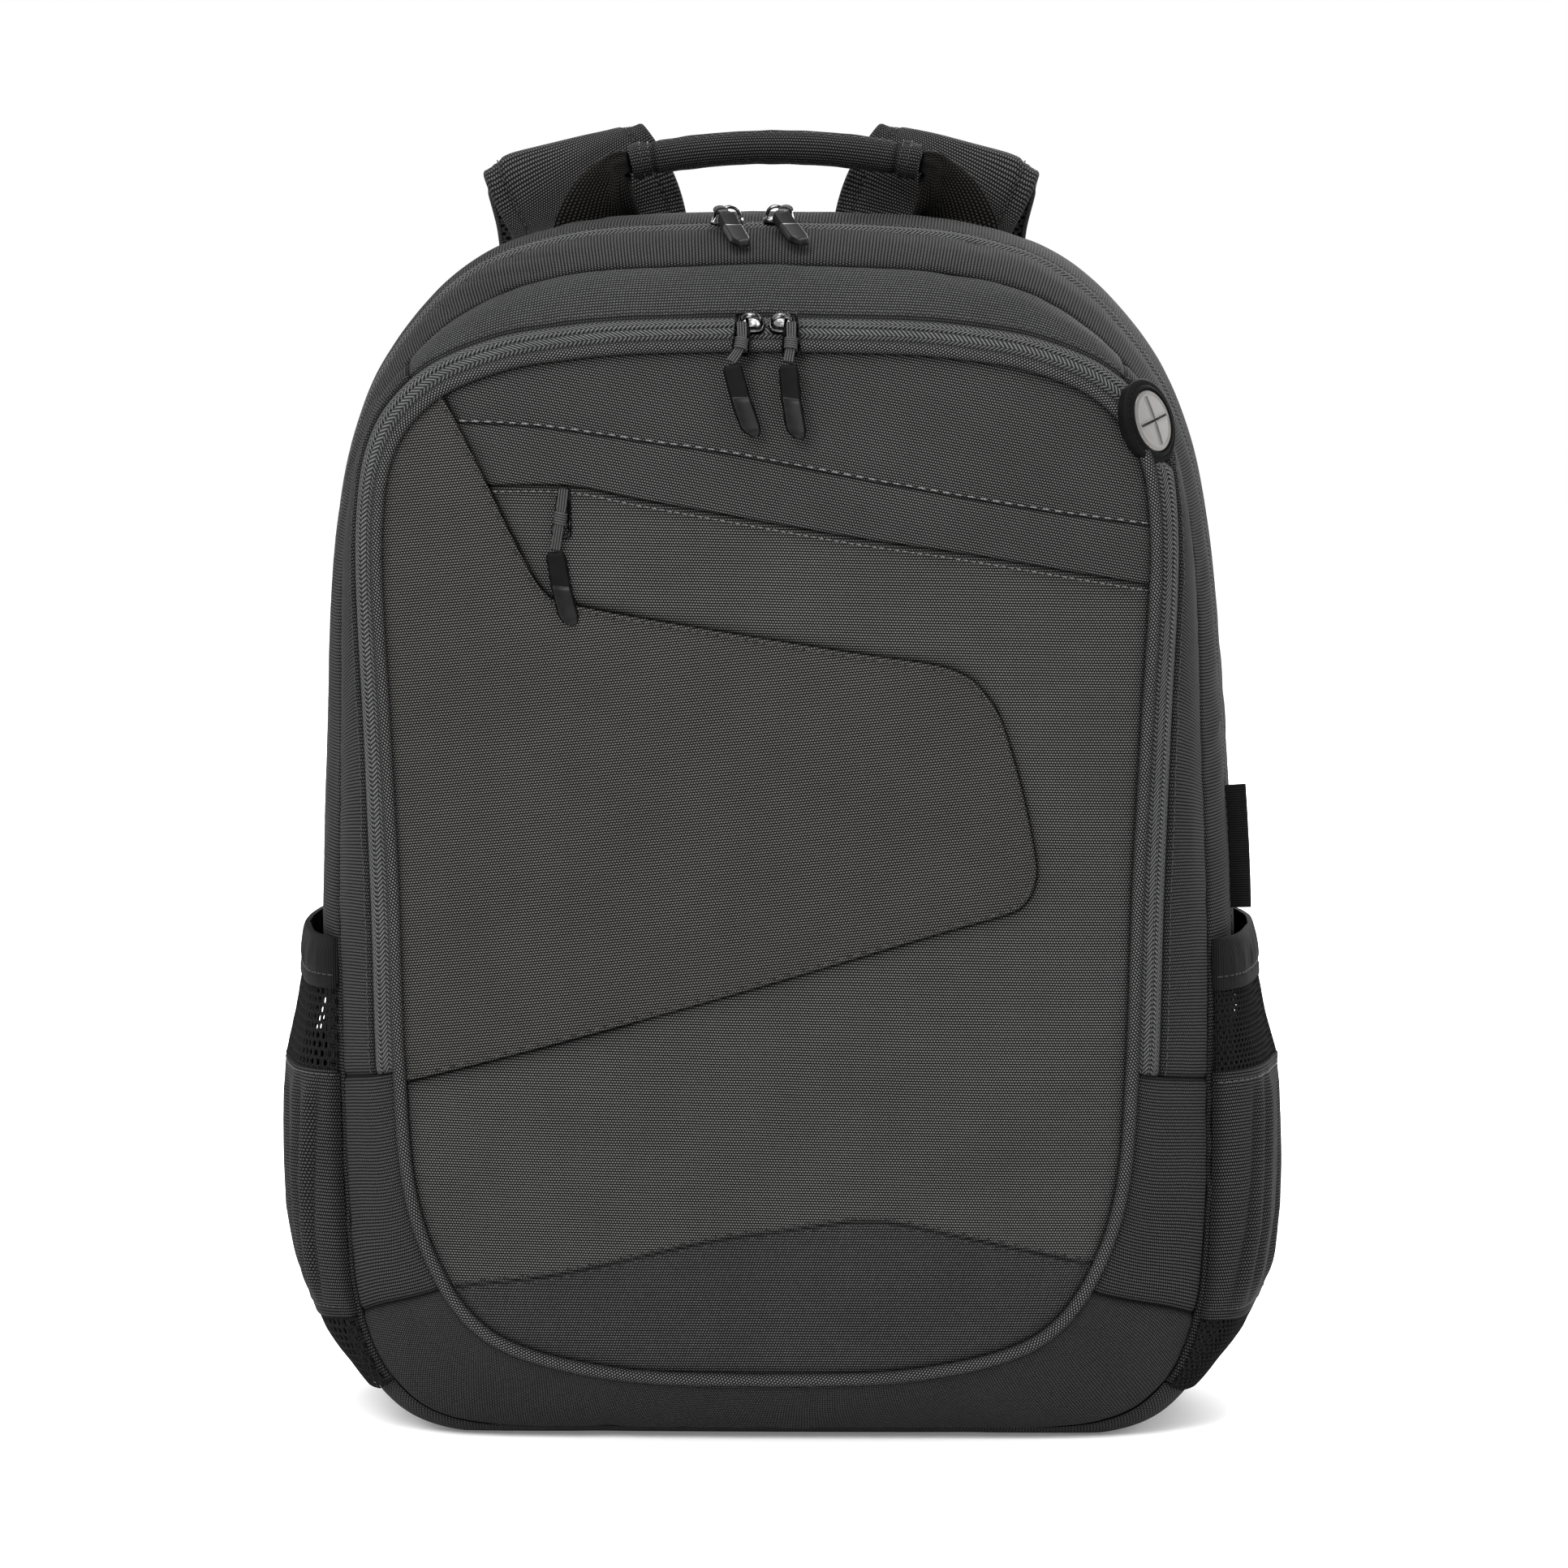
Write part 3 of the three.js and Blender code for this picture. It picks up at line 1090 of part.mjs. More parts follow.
const backpack = group('laptop_backpack', [
  group('front', [...frontPieces(), mesh('piping', fineCloth, pipingRing(PIPING_RADIUS))]),
  group('body', [...bodyPieces(), mesh('back_panel', netting, backPanel())]),
  group('pockets', [...pocketPieces(-1, 'left'), ...pocketPieces(1, 'right')]),
  group('trim', [mesh('label_tab', webbing, labelTab()), ...portPieces()]),
  group('handle', handlePieces()),
  group('straps', [...strapPieces(-1, 'left'), ...strapPieces(1, 'right')]),
  group('pulls', [...PULLS.flatMap(pullPieces), ...pocketPull()]),
]);

export default backpack;
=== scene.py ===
import itertools
import math

import bpy
import numpy as np
from bpy.props import FloatProperty, FloatVectorProperty, PointerProperty
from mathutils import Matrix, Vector
from mathutils.geometry import delaunay_2d_cdt


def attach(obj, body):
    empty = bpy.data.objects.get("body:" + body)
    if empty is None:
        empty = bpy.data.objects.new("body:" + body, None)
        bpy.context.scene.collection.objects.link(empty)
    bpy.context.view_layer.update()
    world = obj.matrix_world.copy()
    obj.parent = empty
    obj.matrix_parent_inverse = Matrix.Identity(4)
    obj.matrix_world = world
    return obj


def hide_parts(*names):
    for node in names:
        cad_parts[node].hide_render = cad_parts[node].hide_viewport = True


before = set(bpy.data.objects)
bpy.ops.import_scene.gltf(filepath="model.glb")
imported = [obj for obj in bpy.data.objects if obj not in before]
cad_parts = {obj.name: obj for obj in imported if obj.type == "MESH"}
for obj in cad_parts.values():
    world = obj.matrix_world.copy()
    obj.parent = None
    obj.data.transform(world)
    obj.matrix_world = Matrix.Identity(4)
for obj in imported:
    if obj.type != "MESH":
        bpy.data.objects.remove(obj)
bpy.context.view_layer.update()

bl_info = {
    "name": "Laptop backpack",
    "version": (1, 0, 0),
    "blender": (4, 5, 0),
    "location": "View3D > Sidebar > Backpack",
    "description": "Sews the cloth, trim and fittings of a laptop backpack onto its frame",
    "category": "Object",
}

MM = 0.001
STUDIO_LIGHT = 4.0  # light that falls on the front panel, against the white of the picture

# Body, in millimetres, as in the frame
BODY_HALF = 178
BODY_HEIGHT = 467
BODY_DEPTH = 176
FRONT_HALF = 147.5
FRONT_FOOT = 26.5
FRONT_TOP = 420
FRONT_DOME = 8
LEAN = (6, -2)
FRONT_MIDDLE = (FRONT_FOOT + FRONT_TOP) / 2
BACK_PAD = 9.6
BACK_EDGE = 3.4
PIPING_RADIUS = 2.6
CLEARANCE = 0.3
ZIP_END = (145, 138)
BOOT_TOP = (61, 48)

POCKET_WALL = 2
POCKET_TOP = 191
POCKET_HEM_FOOT = 171
POCKET_BAND_TOP = 140
POCKET_BAND_FOOT = 46
POCKET_FOOT = 19
POCKET_PLACES = (4.12, 9.1)
POCKET_LEVELS = np.array([
    (0, 0.34), (0.1, 0.43), (0.2, 0.62), (0.3, 0.86), (0.45, 0.9), (0.65, 0.9), (0.78, 0.75), (0.88, 0.52),
    (0.95, 0.2), (1, 0.05),
])

HANDLE_HALF = 57
HANDLE_RISE = 26
HANDLE_SAG = 6
HANDLE_THICK = 13.5
HANDLE_DEEP = 19
HANDLE_WEB_WIDTH = 38
HANDLE_WEB_OUT = 71
WEB_THICK = 2.4
STRAP_WIDTH = 67
STRAP_THICK = 10
STRAP_REACH = 24
STRAP_ASIDE = {-1: 0, 1: -13}
LOCK_HEIGHT = 26
LOCK_THICK = 4
LOCK_BAR = 4
LOWER_WEB_THICK = 1.8

PORT_UP = 0.924

SLIDER_LENGTH = 10.4
SLIDER_WIDTH = 7.6
SLIDER_THICK = 2.4
ARCH_RISE = 5.6
ARCH_WIDTH = 2.6
ARCH_BAR = 1.4
FRAME_LENGTH = 19.5
FRAME_TOP_WIDTH = 5
FRAME_FOOT_WIDTH = 7.6
FRAME_BAR = 1.3
FRAME_THICK = 1.2
CORD_THICK = 1.9
CORD_END_GAP = 1.1

# Outline from the crown down one side: across and up for the piping's ring, then for the widest ring
OUTLINE = np.array([
    (0, 1, 0, 1), (0.34, 0.9975, 0.33, 0.995), (0.53, 0.991, 0.5, 0.984), (0.67, 0.982, 0.63, 0.965),
    (0.82, 0.961, 0.745, 0.93), (0.92, 0.93, 0.855, 0.875), (0.975, 0.893, 0.915, 0.82),
    (0.998, 0.845, 0.95, 0.757), (1, 0.77, 0.97, 0.69), (0.978, 0.63, 0.985, 0.58),
    (0.957, 0.475, 1, 0.46), (0.944, 0.315, 1, 0.31), (0.922, 0.197, 0.995, 0.19),
    (0.863, 0.118, 0.98, 0.1), (0.76, 0.057, 0.91, 0.035), (0.61, 0.024, 0.75, 0),
    (0.34, 0.004, 0.4, 0), (0, 0, 0, 0),
])
# Rings from front to back: form, wide, high, low, depth at the foot and the top, bow, and lean
SECTIONS = np.array([
    (0, 0, 0, 0, -0.523, -0.398, -0.068, 0),
    (0, 0, 0, 0, -0.523, -0.398, -0.068, 0),
    (0.12, 0.33, 0.235, 0.45, -0.472, -0.347, -0.057, 0.12),
    (0.5, 0.54, 0.49, 0.72, -0.437, -0.284, -0.011, 0.5),
    (0.8, 0.69, 0.65, 0.84, -0.403, -0.216, 0.051, 0.8),
    (0.93, 0.86, 0.82, 1, -0.3, -0.097, 0.05, 0.93),
    (1, 0.95, 0.915, 1, 0.011, 0.011, 0, 1),
    (1, 0.975, 0.947, 1, 0.074, 0.074, 0, 1),
    (1, 1, 0.99, 1, 0.227, 0.227, 0, 1),
    (0.97, 0.93, 1, 1, 0.398, 0.398, 0, 0.6),
    (0.9, 0.6, 0.915, 0.8, 0.477, 0.477, 0, 0),
])
FOOT_TURN = 17
RING_TURNS = 34

# Seams of the front panel: shares of half its width and of its height
FRONT_SEAMS = {
    "leaf": np.array([
        (-0.95, 1.03), (-0.835, 0.952), (-0.738, 0.884), (-0.649, 0.816), (-0.572, 0.767), (-0.494, 0.753),
        (-0.204, 0.733), (0.198, 0.709), (0.42, 0.697), (0.5, 0.688), (0.548, 0.675), (0.604, 0.643),
        (0.659, 0.574), (0.694, 0.508), (0.69, 0.484), (0.668, 0.468), (0.62, 0.457), (0.451, 0.439),
        (0.048, 0.394), (-0.415, 0.344), (-0.827, 0.302), (-1.3, 0.255),
    ]),
    "flap_top": np.array([
        (-0.796, 0.925), (-0.584, 0.921), (-0.294, 0.906), (-0.072, 0.894), (0.299, 0.868), (0.758, 0.839),
        (1.3, 0.812),
    ]),
    "flap_edge": np.array([
        (-0.716, 0.867), (-0.497, 0.866), (-0.296, 0.852), (0.191, 0.82), (0.533, 0.801), (0.976, 0.773),
        (1.3, 0.753),
    ]),
    "insert": np.array([
        (-1.3, 0.065), (-0.794, 0.092), (-0.532, 0.105), (-0.157, 0.137), (0.03, 0.148), (0.2, 0.157),
        (0.32, 0.157), (0.449, 0.148), (0.728, 0.125), (0.858, 0.116), (1.3, 0.1),
    ]),
}

# Webbing from the handle's sleeve to its seam: out, back, down, direction of its width, wide, thick
WEB_ROUTE = np.array([
    (0.08, 0, 0, 270, 0.22, 3), (0.4, 0.05, 0.05, 250, 0.34, 2.4), (0.72, 0.4, 0.35, 215, 0.66, 1.6),
    (0.95, 0.9, 0.72, 176, 0.92, 1), (1, 1, 1, 166, 1, 1),
])
# Shoulder strap from its root to the lock: out, back, up, wide, tilt in degrees
STRAP_ROUTE = np.array([
    (0.385, 0.03, 0.88, 1, 0), (0.388, 0.1, 0.95, 1, 4), (0.41, 0.2, 1.0, 1, 10),
    (0.47, 0.32, 1.04, 0.96, 13), (0.485, 0.58, 1.05, 0.95, 13), (0.468, 0.84, 1.036, 1, 12),
    (0.44, 0.98, 0.99, 1, 8), (0.432, 1.0, 0.93, 1, 4), (0.45, 0.94, 0.84, 1, 2),
    (0.505, 0.82, 0.72, 0.98, 0), (0.56, 0.72, 0.6, 0.94, 0), (0.585, 0.64, 0.49, 0.86, 0),
    (0.595, 0.58, 0.4, 0.72, 0), (0.595, 0.54, 0.36, 0.62, 0),
])
# Pulls: zip, across, the frame's side, the grip's place across and its lean
PULLS = {
    "front_pull_left": ("front", -5.8, -1, -13, 13),
    "front_pull_right": ("front", 5.8, 1, 8.4, 3),
    "main_pull_left": ("main", -12, -1, -17, 10),
    "main_pull_right": ("main", 2, 1, 4, 14),
}
# Zips: place, frame's slope, knot down, grip drop, grip forward, grip slope
ZIPS = {
    "front": (1.5, 57, 12, 17, 10.3, 77),
    "main": (6.5, 15, 3.4, 1.9, 14, 22),
}
POCKET_PULL = (-76.5, -79.5, 8)


# Sizes that a user would change

def size(label, description, value):
    """A length property, given in millimetres."""
    return FloatProperty(name=label, description=description, unit="LENGTH", min=0, default=value * MM)


class BackpackSizes(bpy.types.PropertyGroup):
    """Sizes of the trim and of the sewing"""
    stitch_length: size("Stitch length", "Length of a plain stitch", 2.6)
    stitch_pitch: size("Stitch pitch", "Distance from stitch to stitch", 3.3)
    stitch_radius: size("Thread radius", "Half the thickness of the thread", 0.3)
    pocket_bulge: size("Pocket bulge", "How far the side pockets swell", 18.5)
    port_radius: size("Port radius", "Radius of the rubber round the cable port", 16.2)
    disc_radius: size("Disc radius", "Radius of the disc in the cable port", 12)
    grip_length: size("Grip length", "Length of the moulded grips", 28.6)
    grip_width: size("Grip width", "Width of the moulded grips", 8.6)
    grip_thick: size("Grip thickness", "Thickness of the moulded grips", 3.6)
    lock_width: size("Lock width", "Width of the ladder locks", 36)
    web_width: size("Webbing width", "Width of the lower webbing", 25)
    web_tail: size("Webbing tail", "Length that hangs below the ladder lock", 70)


def millimetres(name):
    """The user's value for one of those sizes."""
    return round(getattr(bpy.context.scene.backpack_sizes, name) / MM, 4)


# Numbers and curves

def lerp(a, b, share):
    return a + (b - a) * share


def unit(vectors):
    vectors = np.asarray(vectors, float)
    return vectors / np.maximum(np.linalg.norm(vectors, axis=-1, keepdims=True), 1e-9)


def circle(count):
    return np.arange(count) * 2 * math.pi / count


def spread(a, b):
    """Pairs of two sets of numbers, spread over each other."""
    return np.stack(np.broadcast_arrays(a, b), axis=-1)


def bell(distance, width):
    """1 at a line, falling away over the width."""
    return np.exp(-(np.asarray(distance) / width) ** 2)


def ramp(value, low, high):
    """0 below low, 1 above high, smooth between."""
    share = np.clip((np.asarray(value, float) - low) / (high - low), 0, 1)
    return share * share * (3 - 2 * share)


def glide(a, b, c, d, share):
    leave = (c - a) / 2
    arrive = (d - b) / 2
    cubic = 2 * b - 2 * c + leave + arrive
    square = -3 * b + 3 * c - 2 * leave - arrive
    return ((cubic * share + square) * share + leave) * share + b


def along_rows(rows, place):
    """A smooth curve through the rows of a table, at places counted in rows."""
    rows = np.asarray(rows, float)
    place = np.asarray(place, float)
    last = len(rows) - 1
    start = np.clip(np.floor(place).astype(int), 0, last - 1)
    pick = [rows[np.clip(start + step, 0, last)] for step in (-1, 0, 1, 2)]
    share = (place - start)[..., None]
    return glide(*pick, share)


def smooth_line(rows, step, closed=False):
    """The smooth curve through the rows, in steps of about one length."""
    rows = np.asarray(rows, float)
    if closed:
        rows = np.vstack([rows[-2:], rows, rows[:3]])
        fine = along_rows(rows, np.linspace(2, len(rows) - 3, 40 * (len(rows) - 5) + 1))
    else:
        fine = along_rows(rows, np.linspace(0, len(rows) - 1, 40 * (len(rows) - 1) + 1))
    line = resample(fine, step)
    return line[:-1] if closed else line


def run_of(points):
    """Distance along a line at each of its points."""
    return np.concatenate([[0], np.cumsum(np.linalg.norm(np.diff(points, axis=0), axis=1))])


def resample(points, step=None, count=None):
    run = run_of(points)
    count = count or max(int(round(run[-1] / step)), 2) + 1
    marks = np.linspace(0, run[-1], count)
    return np.stack([np.interp(marks, run, column) for column in np.asarray(points, float).T], axis=1)


def noise(points, size, seed=0):
    """Smooth noise from -1 to 1 whose waves are about twice the size."""
    places = np.asarray(points, float) / size + 13.7 * seed + 100.5
    cell = np.floor(places).astype(np.int64)
    share = places - cell
    share = share * share * (3 - 2 * share)
    total = 0
    primes = (374761393, 668265263, 2246822519)
    for corner in itertools.product((0, 1), repeat=places.shape[-1]):
        mix = np.zeros(cell.shape[:-1], np.int64) + 977 * seed
        weight = 1.0
        for axis, step in enumerate(corner):
            mix = mix + (cell[..., axis] + step) * primes[axis]
            part = share[..., axis]
            weight = weight * (part if step else 1 - part)
        mix = (mix ^ (mix >> 13)) * 1274126177
        mix = (mix ^ (mix >> 16)) & 0xFFFF
        total = total + weight * (mix / 32767.5 - 1)
    return total


def distance_to_line(points, line):
    """Shortest distance from each point to a line of short straight pieces, in the plane."""
    best = np.full(len(points), 1e9)
    for start, end in zip(line[:-1], line[1:]):
        span = end - start
        share = np.clip(((points - start) @ span) / max(span @ span, 1e-9), 0, 1)
        best = np.minimum(best, np.linalg.norm(points - start - share[:, None] * span, axis=1))
    return best


def inside(points, polygon):
    result = np.zeros(len(points), bool)
    x, y = points.T
    for (x0, y0), (x1, y1) in zip(polygon, np.roll(polygon, -1, axis=0)):
        crosses = (y0 > y) != (y1 > y)
        with np.errstate(divide="ignore", invalid="ignore"):
            result ^= crosses & (x < (x1 - x0) * (y - y0) / (y1 - y0) + x0)
    return result


# The body's skin

def outline_at(form, turn):
    wrapped = np.mod(turn, RING_TURNS)
    side = np.where(wrapped > FOOT_TURN, -1.0, 1.0)
    row = np.where(wrapped > FOOT_TURN, RING_TURNS - wrapped, wrapped)
    values = along_rows(OUTLINE, row)
    across = lerp(values[..., 0], values[..., 2], form)
    up = lerp(values[..., 1], values[..., 3], form)
    return side * across, np.maximum(up, 0)


def depth_of(section, up):
    foot, top, bow = section[..., 4], section[..., 5], section[..., 6]
    return BODY_DEPTH * (lerp(foot, top, up) + bow * 4 * up * (1 - up))


def ring_point(section, turn):
    across, up = outline_at(section[..., 0], turn)
    half = lerp(FRONT_HALF, BODY_HALF, section[..., 1])
    top = lerp(FRONT_TOP, BODY_HEIGHT, section[..., 2])
    foot = FRONT_FOOT * (1 - section[..., 3])
    aside = section[..., 7] * lerp(*LEAN, up)
    return np.stack([across * half + aside, depth_of(section, up), foot + up * (top - foot)], axis=-1)


def beside_piping(turn, outset):
    turn = np.asarray(turn, float)
    section = np.broadcast_to(SECTIONS[0], turn.shape + (8,))
    tangent = ring_point(section, turn + 0.05) - ring_point(section, turn - 0.05)
    outward = unit(np.stack([-tangent[..., 2], 0 * turn, tangent[..., 0]], axis=-1))
    return ring_point(section, turn) + outset * outward


def section_point(index, turn):
    index = np.clip(index, 0, len(SECTIONS) - 1)
    points = ring_point(SECTIONS[index], turn)
    at_zip = index == 1
    if at_zip.any():
        beside = beside_piping(turn[at_zip], PIPING_RADIUS + CLEARANCE)
        beside[..., 1] += 0.6 * PIPING_RADIUS
        points[at_zip] = beside
    return points


def skin(place, turn):
    place, turn = np.broadcast_arrays(np.asarray(place, float), np.asarray(turn, float))
    last = len(SECTIONS) - 1
    held = np.clip(place, 0, last)
    start = np.minimum(np.floor(held).astype(int), last - 1)
    points = glide(*(section_point(start + step, turn) for step in (-1, 0, 1, 2)), (held - start)[..., None])
    points[..., 2] = np.maximum(points[..., 2], 0)
    return points


def skin_normal(place, turn):
    small = 0.02
    around = skin(place, turn + small) - skin(place, turn - small)
    back = skin(place + small, turn) - skin(place - small, turn)
    return unit(np.cross(around, back))


def turn_where(place, high, past):
    place = np.asarray(place, float)
    near, far = np.zeros(place.shape), np.full(place.shape, float(high))
    for _ in range(26):
        middle = (near + far) / 2
        gone = past(skin(place, middle))
        far, near = np.where(gone, middle, far), np.where(gone, near, middle)
    return (near + far) / 2


def turn_at_height(place, height):
    return turn_where(place, 14, lambda point: point[..., 2] < height)


def turn_at_across(place, across):
    return turn_where(place, 6, lambda point: point[..., 0] > across)


# Meshes

class Shape:
    """Points, faces and cloth coordinates of one piece, in millimetres, gathered before its mesh is made."""

    def __init__(self):
        self.points, self.coords, self.shades, self.faces = [], [], [], []
        self.count = 0

    def add(self, points, faces, coords=None, finish=0, shade=1.0):
        points = np.asarray(points, float).reshape(-1, 3)
        coords = np.zeros((len(points), 2)) if coords is None else np.asarray(coords, float).reshape(-1, 2)
        self.points.append(points)
        self.coords.append(coords)
        self.shades.append(np.clip(np.broadcast_to(np.ravel(shade), len(points)), 0, 1.3))
        self.faces.append((np.asarray(faces, int) + self.count, finish))
        self.count += len(points)

    def grid(self, points, coords=None, around=False, finish=0, flip=False, shade=1.0):
        """A sheet over rows and columns of points; around joins the last column to the first."""
        rows, columns = points.shape[:2]
        shade = np.broadcast_to(shade, (rows, columns))
        if around:
            points = np.concatenate([points, points[:, :1]], axis=1)
            shade = np.concatenate([shade, shade[:, :1]], axis=1)
            columns += 1
        ids = np.arange(rows * columns).reshape(rows, columns)
        quads = np.stack([ids[:-1, :-1], ids[1:, :-1], ids[1:, 1:], ids[:-1, 1:]], axis=-1).reshape(-1, 4)
        self.add(points, quads[:, ::-1] if flip else quads, coords, finish, shade)

    def build(self, name, finishes, smooth=True):
        points = np.concatenate(self.points) * MM
        coords = np.concatenate(self.coords) * MM
        loops = np.concatenate([faces.ravel() for faces, _ in self.faces])
        sizes = np.concatenate([np.full(len(faces), faces.shape[1]) for faces, _ in self.faces])
        mesh = bpy.data.meshes.new(name)
        mesh.vertices.add(len(points))
        mesh.vertices.foreach_set("co", points.ravel())
        mesh.loops.add(len(loops))
        mesh.loops.foreach_set("vertex_index", loops)
        mesh.polygons.add(len(sizes))
        mesh.polygons.foreach_set("loop_start", np.concatenate([[0], np.cumsum(sizes)[:-1]]))
        mesh.polygons.foreach_set("material_index", np.concatenate(
            [np.full(len(faces), finish) for faces, finish in self.faces]))
        mesh.polygons.foreach_set("use_smooth", np.full(len(sizes), smooth))
        layer = mesh.uv_layers.new(name="cloth")
        layer.data.foreach_set("uv", coords[loops].ravel())
        mesh.attributes.new("shade", "FLOAT", "POINT").data.foreach_set("value", np.concatenate(self.shades))
        for finish in finishes:
            mesh.materials.append(finish)
        mesh.update(calc_edges=True)
        mesh.validate()
        piece = bpy.data.objects.new(name, mesh)
        bpy.context.scene.collection.objects.link(piece)
        return piece


def sheet_normals(points, around=False):
    """Normals of a sheet of points, towards the side that its rows and columns turn to."""
    if around:
        wide = np.concatenate([points[:, -1:], points, points[:, :1]], axis=1)
        along = np.gradient(wide, axis=0)[:, 1:-1]
        across = (wide[:, 2:] - wide[:, :-2]) / 2
    else:
        along, across = np.gradient(points, axis=0), np.gradient(points, axis=1)
    return unit(np.cross(along, across))


def skirt(points, depth, normals):
    """The sheet with one more line of points all round, turned in behind it."""
    inward = points - depth * normals
    wide = np.pad(points, ((1, 1), (1, 1), (0, 0)), mode="edge")
    behind = np.pad(inward, ((1, 1), (1, 1), (0, 0)), mode="edge")
    wide[0], wide[-1] = behind[0], behind[-1]
    wide[:, 0], wide[:, -1] = behind[:, 0], behind[:, -1]
    return wide


def sweep(shape, path, sections, across, finish=0, closed_ends=True, uv_scale=1.0, flank_shade=1.0, slant=0.0,
          shade=1.0):
    """Draws each section, given as width and thickness shares, along a path."""
    tangents = unit(np.gradient(path, axis=0))
    wide = np.broadcast_to(across, path.shape)
    wide = unit(wide - (wide * tangents).sum(-1, keepdims=True) * tangents)
    high = np.cross(tangents, wide)
    sections = np.broadcast_to(sections, (len(path),) + np.shape(sections)[-2:])
    points = path[:, None] + sections[..., :1] * wide[:, None] + sections[..., 1:] * high[:, None]
    ring = run_of(np.vstack([sections[len(path) // 2], sections[len(path) // 2][:1]]))
    run = run_of(path)
    u, v = np.broadcast_arrays(run[:, None] * uv_scale, ring[None, :] * uv_scale)
    coords = np.stack([u + slant * v, v - slant * u], axis=-1)
    # painted shade: each section is painted darker towards its sides across the width and keeps its colour where it is
    # thickest
    facing = np.abs(sections[..., 1]) / np.maximum(np.abs(sections[..., 1]).max(axis=1, keepdims=True), 1e-6)
    shape.grid(points, coords, around=True, finish=finish, shade=lerp(flank_shade, 1.0, facing) * shade)
    if closed_ends:
        for row, flip in ((0, False), (-1, True)):
            rim = points[row]
            middle = rim.mean(axis=0)
            ids = np.arange(len(rim))
            faces = np.stack([np.full(len(rim), len(rim)), np.roll(ids, -1), ids], axis=1)
            uv = np.column_stack([(rim - middle) @ wide[row], (rim - middle) @ high[row]])
            shape.add(np.vstack([rim, middle]), faces[:, ::-1] if not flip else faces,
                      np.vstack([uv, [0, 0]]), finish)
    return points


def oval(width, height, count, squareness=1.0):
    angle = circle(count)
    cos, sin = np.cos(angle), np.sin(angle)
    return np.stack([
        width / 2 * np.sign(cos) * np.abs(cos) ** squareness,
        height / 2 * np.sign(sin) * np.abs(sin) ** squareness,
    ], axis=-1)


def stitches(shape, line, normals, length=None, pitch=None, radius=None, finish=0, lift=0.12):
    """Short rounded threads along a line on the cloth."""
    length = length or millimetres("stitch_length")
    pitch = pitch or millimetres("stitch_pitch")
    radius = radius or millimetres("stitch_radius")
    run = run_of(line)
    count = int(run[-1] // pitch)
    if count < 1:
        return
    centres = (np.arange(count) + 0.5) * run[-1] / count
    at = lambda table, marks: np.stack([np.interp(marks, run, column) for column in table.T], axis=1)
    middle = at(line, centres)
    along = unit(at(line, centres + 0.5) - at(line, centres - 0.5))
    off = unit(at(np.broadcast_to(normals, line.shape), centres))
    side = unit(np.cross(off, along))
    off = np.cross(along, side)
    profile = np.array([
        (-0.5, 0.4, -0.8), (-0.34, 0.9, -0.1), (0, 1.05, 0.18), (0.34, 0.9, -0.1), (0.5, 0.4, -0.8),
    ])
    angle = np.arange(6) * math.pi / 3
    ring = np.stack([np.cos(angle), np.sin(angle)], axis=1)
    local = np.stack([
        np.repeat(profile[:, 0] * length, 6),
        (profile[:, 1:2] * ring[:, 0]).ravel() * radius,
        (profile[:, 1:2] * ring[:, 1] * 0.8 + profile[:, 2:]).ravel() * radius + lift,
    ], axis=1)
    wobble = 1 + 0.08 * noise(np.column_stack([centres, centres * 0]), 2.1, 5)
    points = middle[:, None] + (local[None, :, :1] * wobble[:, None, None]) * along[:, None] \
        + local[None, :, 1:2] * side[:, None] + local[None, :, 2:] * off[:, None]
    ids = np.arange(len(profile) * 6).reshape(len(profile), 6)
    nxt = np.roll(ids, -1, axis=1)
    quads = np.stack([ids[:-1], ids[1:], nxt[1:], nxt[:-1]], axis=-1).reshape(-1, 4)
    faces = (quads[None] + (np.arange(count) * len(local))[:, None, None]).reshape(-1, 4)
    coords = np.tile(np.stack([local[:, 0], local[:, 1]], axis=1), (count, 1))
    shape.add(points, faces, coords, finish)


def prism(shape, outline, thickness, bevel, place, finish=0, crown=0.0):
    """An outline drawn flat, thickened upwards with rounded edges, and laid by place."""
    outline = np.asarray(outline, float)
    tangent = unit(np.roll(outline, -1, axis=0) - np.roll(outline, 1, axis=0))
    inward = np.stack([-tangent[:, 1], tangent[:, 0]], axis=1)
    area = 0.5 * np.sum(outline[:, 0] * np.roll(outline[:, 1], -1) - outline[:, 1] * np.roll(outline[:, 0], -1))
    inward *= 1 if area > 0 else -1
    rings = []
    steps = [(1, 0), (0.3, 0.3), (0, 1)]
    for inset, high in steps:
        rings.append((inset * bevel, high * bevel))
    for inset, high in reversed(steps):
        rings.append((inset * bevel, thickness - high * bevel))
    points = np.stack([np.column_stack([outline + inset * inward, np.full(len(outline), high)])
                       for inset, high in rings])
    shape.grid(place(points), np.concatenate([points, points[:, :1]], axis=1)[..., :2], around=True,
               finish=finish, flip=area > 0)
    middle = outline.mean(axis=0)
    for rim, high, turned in ((points[0], 0.0, area < 0), (points[-1], thickness, area > 0)):
        level = np.full(len(rim), high + (crown if high else 0))
        inner = np.column_stack([lerp(rim[:, :2], middle, 0.5), level])
        centre = np.array([[*middle, high + (1.2 * crown if high else 0)]])
        ids = np.arange(len(rim))
        nxt = np.roll(ids, -1)
        count = len(rim)
        quads = np.stack([ids, nxt, count + nxt, count + ids], axis=1)
        fan = np.stack([count + ids, count + nxt, np.full(count, 2 * count)], axis=1)
        flat = np.vstack([rim, inner, centre])
        step = 1 if turned else -1
        shape.add(place(flat), quads[:, ::step], flat[:, :2], finish)
        shape.add(place(flat), fan[:, ::step], flat[:, :2], finish)


def laid(origin, up, off):
    """Places points drawn flat so that their y runs along up and their z along off."""
    z = unit(off)
    x = unit(np.cross(up, z))
    y = np.cross(z, x)
    return lambda points: origin + points[..., :1] * x + points[..., 1:2] * y + points[..., 2:] * z


# Finishes

